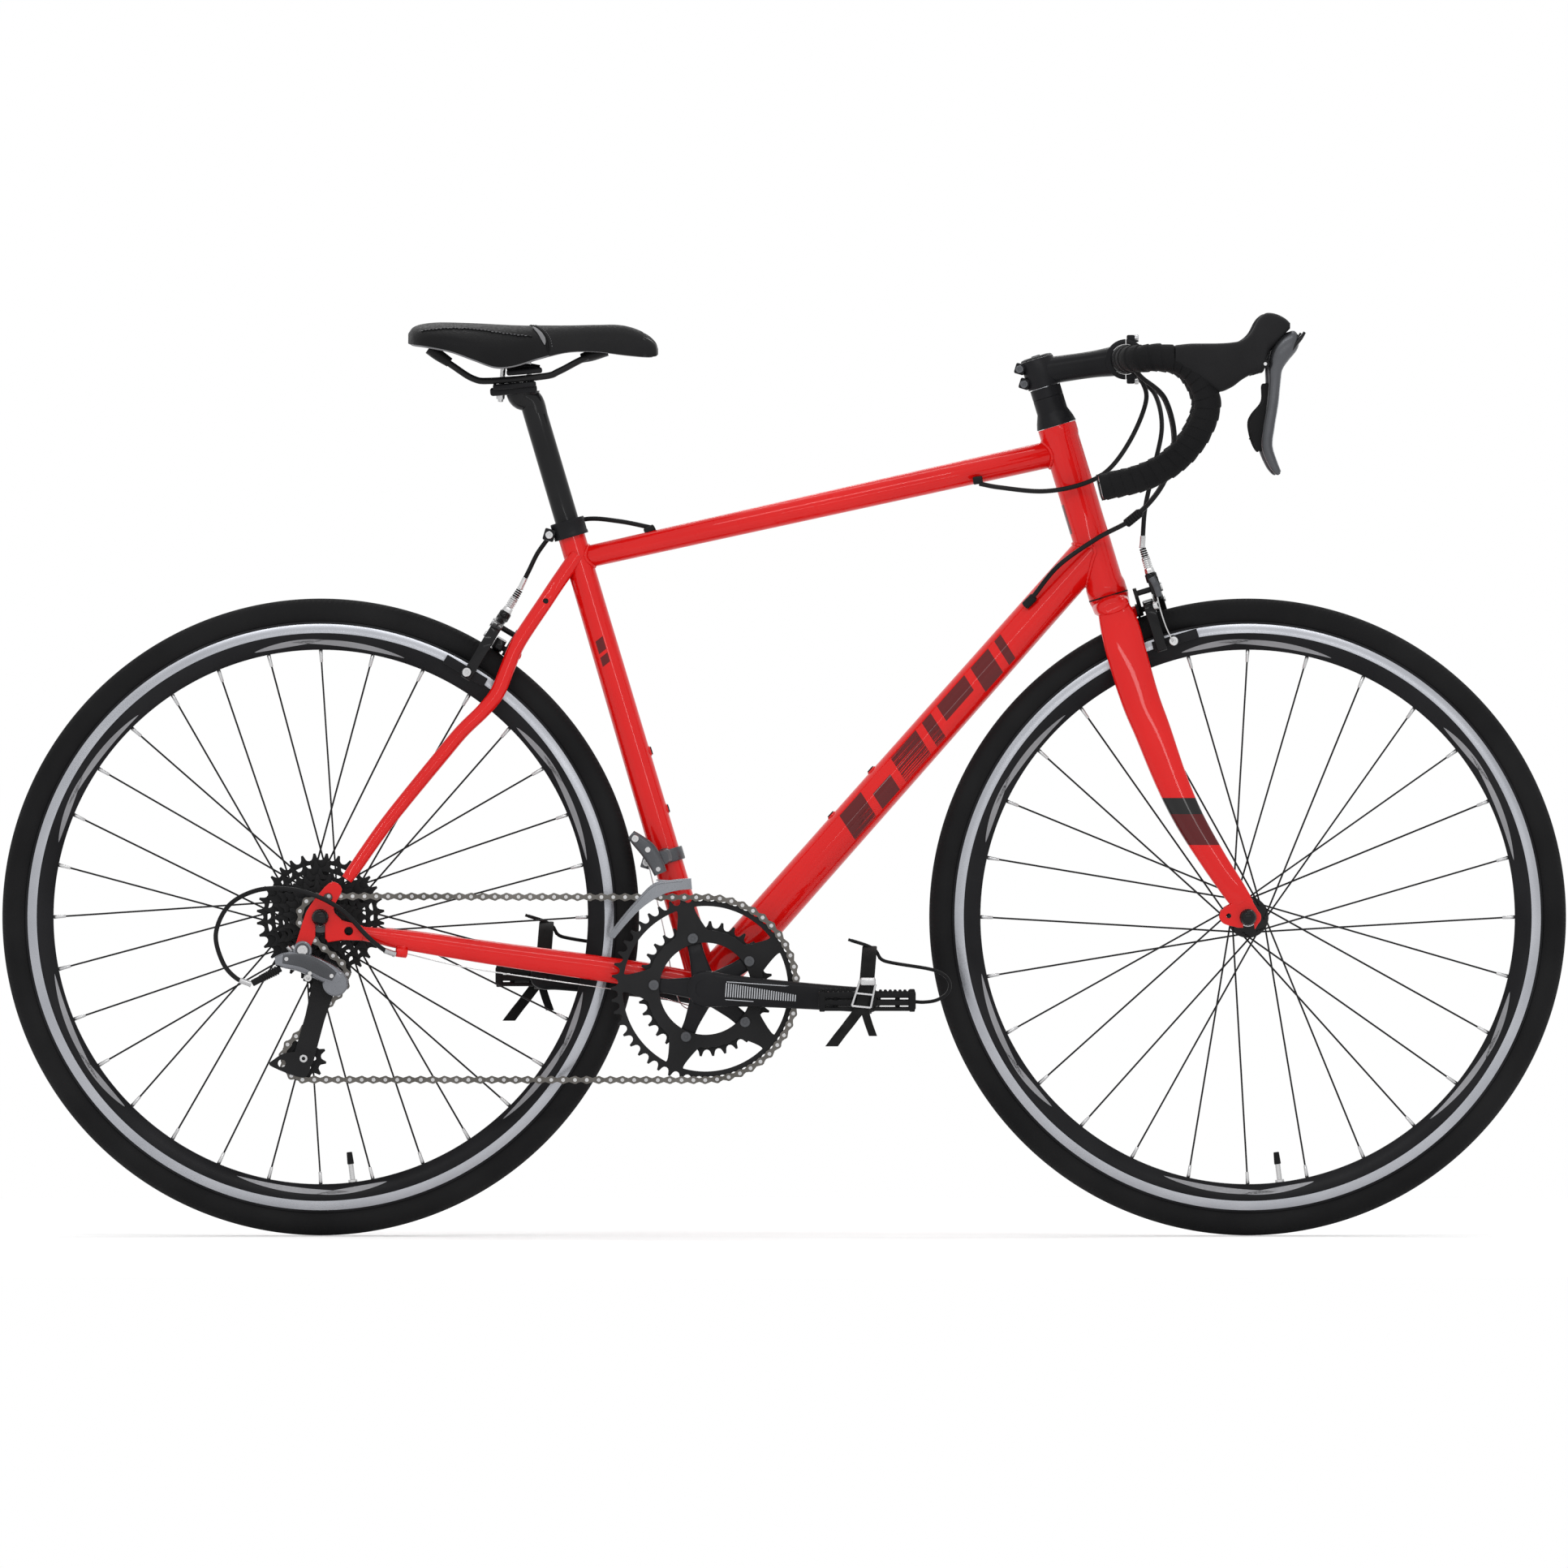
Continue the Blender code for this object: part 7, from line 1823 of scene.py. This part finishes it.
def make_lever(name, sign):
    y = sign * BAR_WIDE
    stations = [(0.544, 0.959, 0.003, 0.005), (0.5412, 0.9568, 0.007, 0.009),
                (0.535, 0.949, 0.0112, 0.0115), (0.5262, 0.937, 0.0108, 0.0115),
                (0.521, 0.9225, 0.0076, 0.0085), (0.52, 0.907, 0.0062, 0.007),
                (0.518, 0.885, 0.006, 0.0065), (0.514, 0.86, 0.006, 0.0062),
                (0.512, 0.84, 0.0058, 0.006), (0.518, 0.822, 0.005, 0.0055),
                (0.5232, 0.8125, 0.0034, 0.0044), (0.5249, 0.8098, 0.0014, 0.0024)]
    blade = limb("blade", [(x, y, z, wide, deep) for x, z, deep, wide in stations], 9, 44, 2.4)
    body = f"lever_{name}"
    put(f"brake_lever_{name}_blade", blade, body, f"brake_lever_{name}", dark_grey, 60)

    edge = []
    for x, z, deep, wide in stations[3:-1]:
        edge.append((x + deep * 0.96, y, z + 0.0004))
    strip = ribbon("strip", edge, LEFT, [0.001, 0.003, 0.0036, 0.0034, 0.0032, 0.003, 0.0026,
            0.001], 0.0006, 8)
    put(f"brake_lever_{name}_edge", strip, body, f"brake_lever_{name}", silver, 60)

    badge = limb("badge", [(0.5452, y, 0.956, 0.006, 0.0016), (0.5406, y, 0.949, 0.0098, 0.0022),
                           (0.533, y, 0.9395, 0.01, 0.0022), (0.5268, y, 0.929, 0.007, 0.0014)], 8,
                 32, 4.0)
    badge.data.transform(Matrix.Translation((0.0068, 0, 0.0048)))
    put(f"brake_lever_{name}_cap", badge, body, f"brake_lever_{name}", gloss_black, 60)

    inner = y - sign * 0.0105
    outline = smooth([(0.516, 0.906), (0.512, 0.9072), (0.509, 0.904), (0.5085, 0.888),
                      (0.4985, 0.875), (0.4945, 0.866), (0.4955, 0.854), (0.5, 0.84),
                      (0.506, 0.834), (0.512, 0.848), (0.515, 0.87), (0.5165, 0.89)], 6)
    paddle = side_plate("paddle", [[tuple(p) for p in outline]], inner, 0.0024, 0.0007)
    ribs = [block("rib", (0.4995 + 0.0012 * k, inner - sign * 0.0012, 0.8465 + 0.0048 * k),
                  (0.0075, 0.0008, 0.0014), 0.5, 0.0003) for k in range(5)]
    put(f"shift_paddle_{name}_blade", [paddle, *ribs], f"paddle_{name}", f"shift_paddle_{name}",
        resin, 50)


# ------------------------ brakes


def forged(name, outline, low, high, matrix, waist=0.0012):
    """Forged arm: a thick plate with rounded edges."""
    curve = [tuple(point[:2]) for point in smooth(outline + outline[:1], 5)][:-1]
    middle = (low + high) / 2
    return plate(name, [curve], high - low, matrix @ Matrix.Translation((0, 0, middle)), waist)


def make_brake(place, sides, bodies):
    at, spot = caliper_matrix(place), caliper_spot(place)

    def aim(*direction):
        return at.to_3x3() @ Vector(direction)
    near = [(0.0085, 0.007), (0.0078, -0.004), (-0.008, -0.006), (-0.018, -0.011), (-0.02, -0.024),
            (-0.02, -0.037), (-0.0185, -0.0465), (-0.025, -0.0475), (-0.03, -0.034),
            (-0.0335, -0.012), (-0.031, 0.003), (-0.015, 0.0085)]
    far = [(-0.029, 0.0125), (-0.015, 0.0115), (0.01, 0.008), (0.0195, -0.003), (0.0205, -0.024),
           (0.02, -0.037), (0.0185, -0.0465), (0.025, -0.0475), (0.03, -0.034), (0.034, -0.008),
           (0.0275, 0.0105), (0.012, 0.02), (-0.012, 0.024), (-0.021, 0.029), (-0.032, 0.029)]
    for side, body, outline, sign, low, high in ((sides[0], bodies[0], near, -1, -0.004, 0.0075),
            (sides[1], bodies[1], far, 1, 0.008, 0.0195)):
        node = f"{place}_brake_arm_{side}"
        arm = [forged("arm", outline, low, high, at)]
        if sign > 0:
            arm.append(rod("eye", spot(-0.027, 0.025, 0.013), spot(-0.027, 0.0345, 0.013), 0.0064))
        put(f"{node}_forging", arm, body, node, gloss_black, 50)
        pad = [block("pad", (sign * 0.0148, PAD_Y, 0.018), (0.0038, 0.0094, 0.049), 0, 0.0008, at)]
        pad += [block("groove", (sign * 0.0128, PAD_Y, z), (0.001, 0.0096, 0.008), 0, 0.0002, at,
                      1) for z in (0.001, 0.0125, 0.024, 0.0355)]
        put(f"{node}_pad", pad, body, node, hood_rubber)
        holder = [block("holder", (sign * 0.018, -0.041, 0.018), (0.0034, 0.01, 0.05), 0, 0.0009,
                        at, 3), rod("washer", spot(sign * 0.019, PAD_Y, 0.016),
                                    spot(sign * 0.029, PAD_Y, 0.016), 0.0062)]
        put(f"{node}_pad_holder", holder, body, node, black)
        bolts = [socket_bolt("pad_bolt", spot(sign * 0.029, PAD_Y, 0.016), aim(sign, 0, 0), 0.005,
                             0.0048)]
        if sign < 0:
            bolts.append(hex_nut("centre_nut", spot(0, 0, 0.0074), aim(0, 0, 1), 0.0056, 0.0004))
            bolts.append(socket_bolt("cable_bolt", spot(-0.033, 0.0, 0.0075), aim(-0.4, 0, 1),
                                     0.0046, 0.004))
        else:
            foot = spot(-0.027, 0.0345, 0.013)
            way = aim(0, 1, 0)
            bolts += [rod("collar", foot, foot + way * 0.006, 0.0054, 0.0048, 6),
                      *[rod("knurl", foot + way * (0.0066 + 0.0022 * k),
                            foot + way * (0.0084 + 0.0022 * k), 0.0046, sides=20)
                        for k in range(5)], rod("core", foot, foot + way * 0.0275, 0.003),
                      rod("pivot_cap", spot(-0.022, 0.018, 0.019), spot(-0.022, 0.018, 0.0212),
                          0.0052), socket_bolt("screw", spot(0.0265, 0.004, 0.0195), aim(0, 0, 1),
                                  0.003, 0.0016)]
        put(f"{node}_bolts", bolts, body, node, bolt_steel)
        if sign > 0:
            lever = limb("release", [(*spot(-0.0335, 0.03, 0.013), 0.0016, 0.004),
                                     (*spot(-0.0365, 0.02, 0.015), 0.0015, 0.0036),
                                     (*spot(-0.037, 0.008, 0.015), 0.0012, 0.003)], 6, 20, 3.0,
                         aim(1, 0, 0))
            put(f"{node}_release", lever, body, node, dark_grey, 50)


# ------------------------ cables


def run_cable(name, node, points, body, ends=()):
    """Housing along a smooth route, with a metal ferrule where it ends in a stop."""
    route = vectors(smooth(points, 12))
    put(f"{name}_casing", wire("casing", route, 0.0025, 16), body, node, housing_cover)

    caps = []
    for end in ends:
        first, second = (route[0], route[3]) if end == 0 else (route[-1], route[-4])
        way = (second - first).normalized()
        caps.append(rod("ferrule", first - way * 0.0012, first + way * 0.012, 0.003))
        caps.append(rod("lip", first - way * 0.0012, first + way * 0.0006, 0.0034))
    return caps


def make_cables():

    def bend(start, end):
        return ("frame", "steering", start, end)
    front = [(0.37, 0.061, 0.9235), (0.376, 0.062, 0.913), (0.395, 0.05, 0.895),
             (0.402, 0.02, 0.86), (0.393, -0.005, 0.815), (0.384, -0.02, 0.774),
             (0.3809, -0.0268, 0.7327)]
    caps = run_cable("front_brake_housing", "front_brake_housing", front, "steering", (1,))
    put("front_brake_housing_ferrule", caps, "steering", "front_brake_housing", bolt_steel)

    top = [(0.371, -0.062, 0.9235), (0.378, -0.062, 0.913), (0.385, -0.056, 0.89),
           (0.37, -0.05, 0.85), (0.345, -0.038, 0.815), (0.315, -0.03, 0.799),
           (0.275, -0.026, 0.792), (0.23, -0.023, 0.796), (0.208, -0.0165, 0.8)]
    run_cable("rear_brake_housing_front", "rear_brake_housing_front", top,
              bend((0.23, -0.023, 0.796), (0.38, -0.056, 0.89)))
    for side, sign in SIDES:
        route = [(0.3715, sign * 0.089, 0.9235), (0.38, sign * 0.09, 0.913),
                 (0.405, sign * 0.092, 0.89), (0.415, sign * 0.088, 0.845),
                 (0.403, sign * 0.074, 0.8), (0.372, sign * 0.048, 0.764),
                 (0.333, sign * 0.029, 0.742), (0.292, sign * 0.029, 0.713),
                 (0.264, sign * 0.0225, 0.679)]
        node = f"shift_housing_{side}"
        crossing = bend((0.292, sign * 0.029, 0.713), (0.415, sign * 0.088, 0.845))
        run_cable(node, node, route, crossing)
        line = vectors(smooth(route, 12))
        spot = min(range(len(line)), key=lambda k: (line[k] - Vector(route[5])).length)
        way = (line[spot + 1] - line[spot - 1]).normalized()
        adjuster = [rod("adjuster", line[spot] - way * 0.011, line[spot] + way * 0.011, 0.004)]
        adjuster += [rod("grip", line[spot] + way * (0.0034 * k - 0.002),
                         line[spot] + way * (0.0034 * k + 0.0006), 0.0048) for k in range(-2, 4)]
        put(f"{node}_adjuster", adjuster, crossing, node, resin)
    rear = [(-0.142, 0.003, 0.7535), (-0.175, 0.016, 0.76), (-0.21, 0.026, 0.7625),
            (-0.24, 0.03, 0.752), (-0.26, 0.03, 0.73), (-0.272, 0.0285, 0.707),
            (-0.2808, 0.027, 0.6888)]
    caps = run_cable("rear_brake_housing_rear", "rear_brake_housing_rear", rear, "frame", (1,))
    put("rear_brake_housing_ferrule", caps, "frame", "rear_brake_housing_rear", bolt_steel)

    loop = [(-0.415, -0.067, 0.3003), (-0.426, -0.0725, 0.305), (-0.443, -0.0775, 0.319),
            (-0.468, -0.0795, 0.345), (-0.495, -0.08, 0.361), (-0.525, -0.08, 0.369),
            (-0.56, -0.08, 0.368), (-0.59, -0.08, 0.352), (-0.604, -0.08, 0.322),
            (-0.597, -0.08, 0.292), (-0.583, -0.0803, 0.275), (-0.5675, -0.0806, 0.2684)]
    caps = run_cable("rear_derailleur_housing", "rear_derailleur_housing", loop, "frame", (0, 1))
    put("rear_derailleur_housing_ferrules", caps, "frame", "rear_derailleur_housing", bolt_steel)

    for place, body in (("front", "front_brake_far"), ("rear", "rear_brake_far")):
        spot = caliper_spot(place)
        inner = [spot(-0.027, 0.064, 0.013), spot(-0.0272, 0.04, 0.013), spot(-0.03, 0.012, 0.013),
                 spot(-0.0335, -0.004, 0.012), spot(-0.036, -0.024, 0.0125),
                 spot(-0.035, -0.042, 0.015)]
        side = "left" if place == "front" else "right"
        put(f"{place}_brake_cable", wire("cable", smooth([tuple(p) for p in inner], 8), 0.0008, 8),
            body, f"{place}_brake_arm_{side}", bolt_steel)
        boot = [rod("boot", spot(-0.027, 0.062 - 0.0024 * k, 0.013),
                    spot(-0.027, 0.0604 - 0.0024 * k, 0.013), 0.0036 + 0.0001 * k)
                for k in range(6)]
        put(f"{place}_brake_cable_boot", boot, body, f"{place}_brake_arm_{side}", resin)
    line = [(-0.0838, -0.004, 0.24), (-0.15, -0.018, 0.257), (-0.25, -0.033, 0.272),
            (-0.34, -0.048, 0.286), (-0.405, -0.062, 0.3012)]
    put("rear_shift_cable", wire("cable", smooth(line, 8), 0.0006, 8), "frame", "chainstay_right",
        bolt_steel)

    line = [(-0.0838, 0.004, 0.24), (-0.112, -0.006, 0.25), (-0.129, -0.026, 0.33),
            (-0.151, -0.036, 0.423)]
    put("front_shift_cable", wire("cable", smooth(line, 8), 0.0006, 8), "frame",
        "front_derailleur", bolt_steel)


def main():
    make_stage()
    make_frame()
    make_seat()
    make_wheel("front", FRONT_AXLE, spokes=28, crossing=math.radians(62), hub_half=0.05,
               flanges=(0.0345, -0.0345), flange_radius=0.022)
    make_wheel("rear", REAR_AXLE, spokes=32, crossing=math.radians(66), hub_half=0.065,
               flanges=(0.036, -0.0185), flange_radius=0.0235)
    make_skewer("front", FRONT_AXLE, "steering", 0.05, "front_lever", (-0.45, 0, 0.85))
    make_skewer("rear", REAR_AXLE, "frame", 0.065, "rear_lever", (0.72, 0, 0.3))
    make_crankset()
    make_chain()
    make_cassette()
    make_rear_derailleur()
    make_front_derailleur()
    make_fork()
    make_cockpit()
    make_brake("front", ("right", "left"), ("front_brake_near", "front_brake_far"))
    make_brake("rear", ("left", "right"), ("rear_brake_near", "rear_brake_far"))
    make_cables()


main()
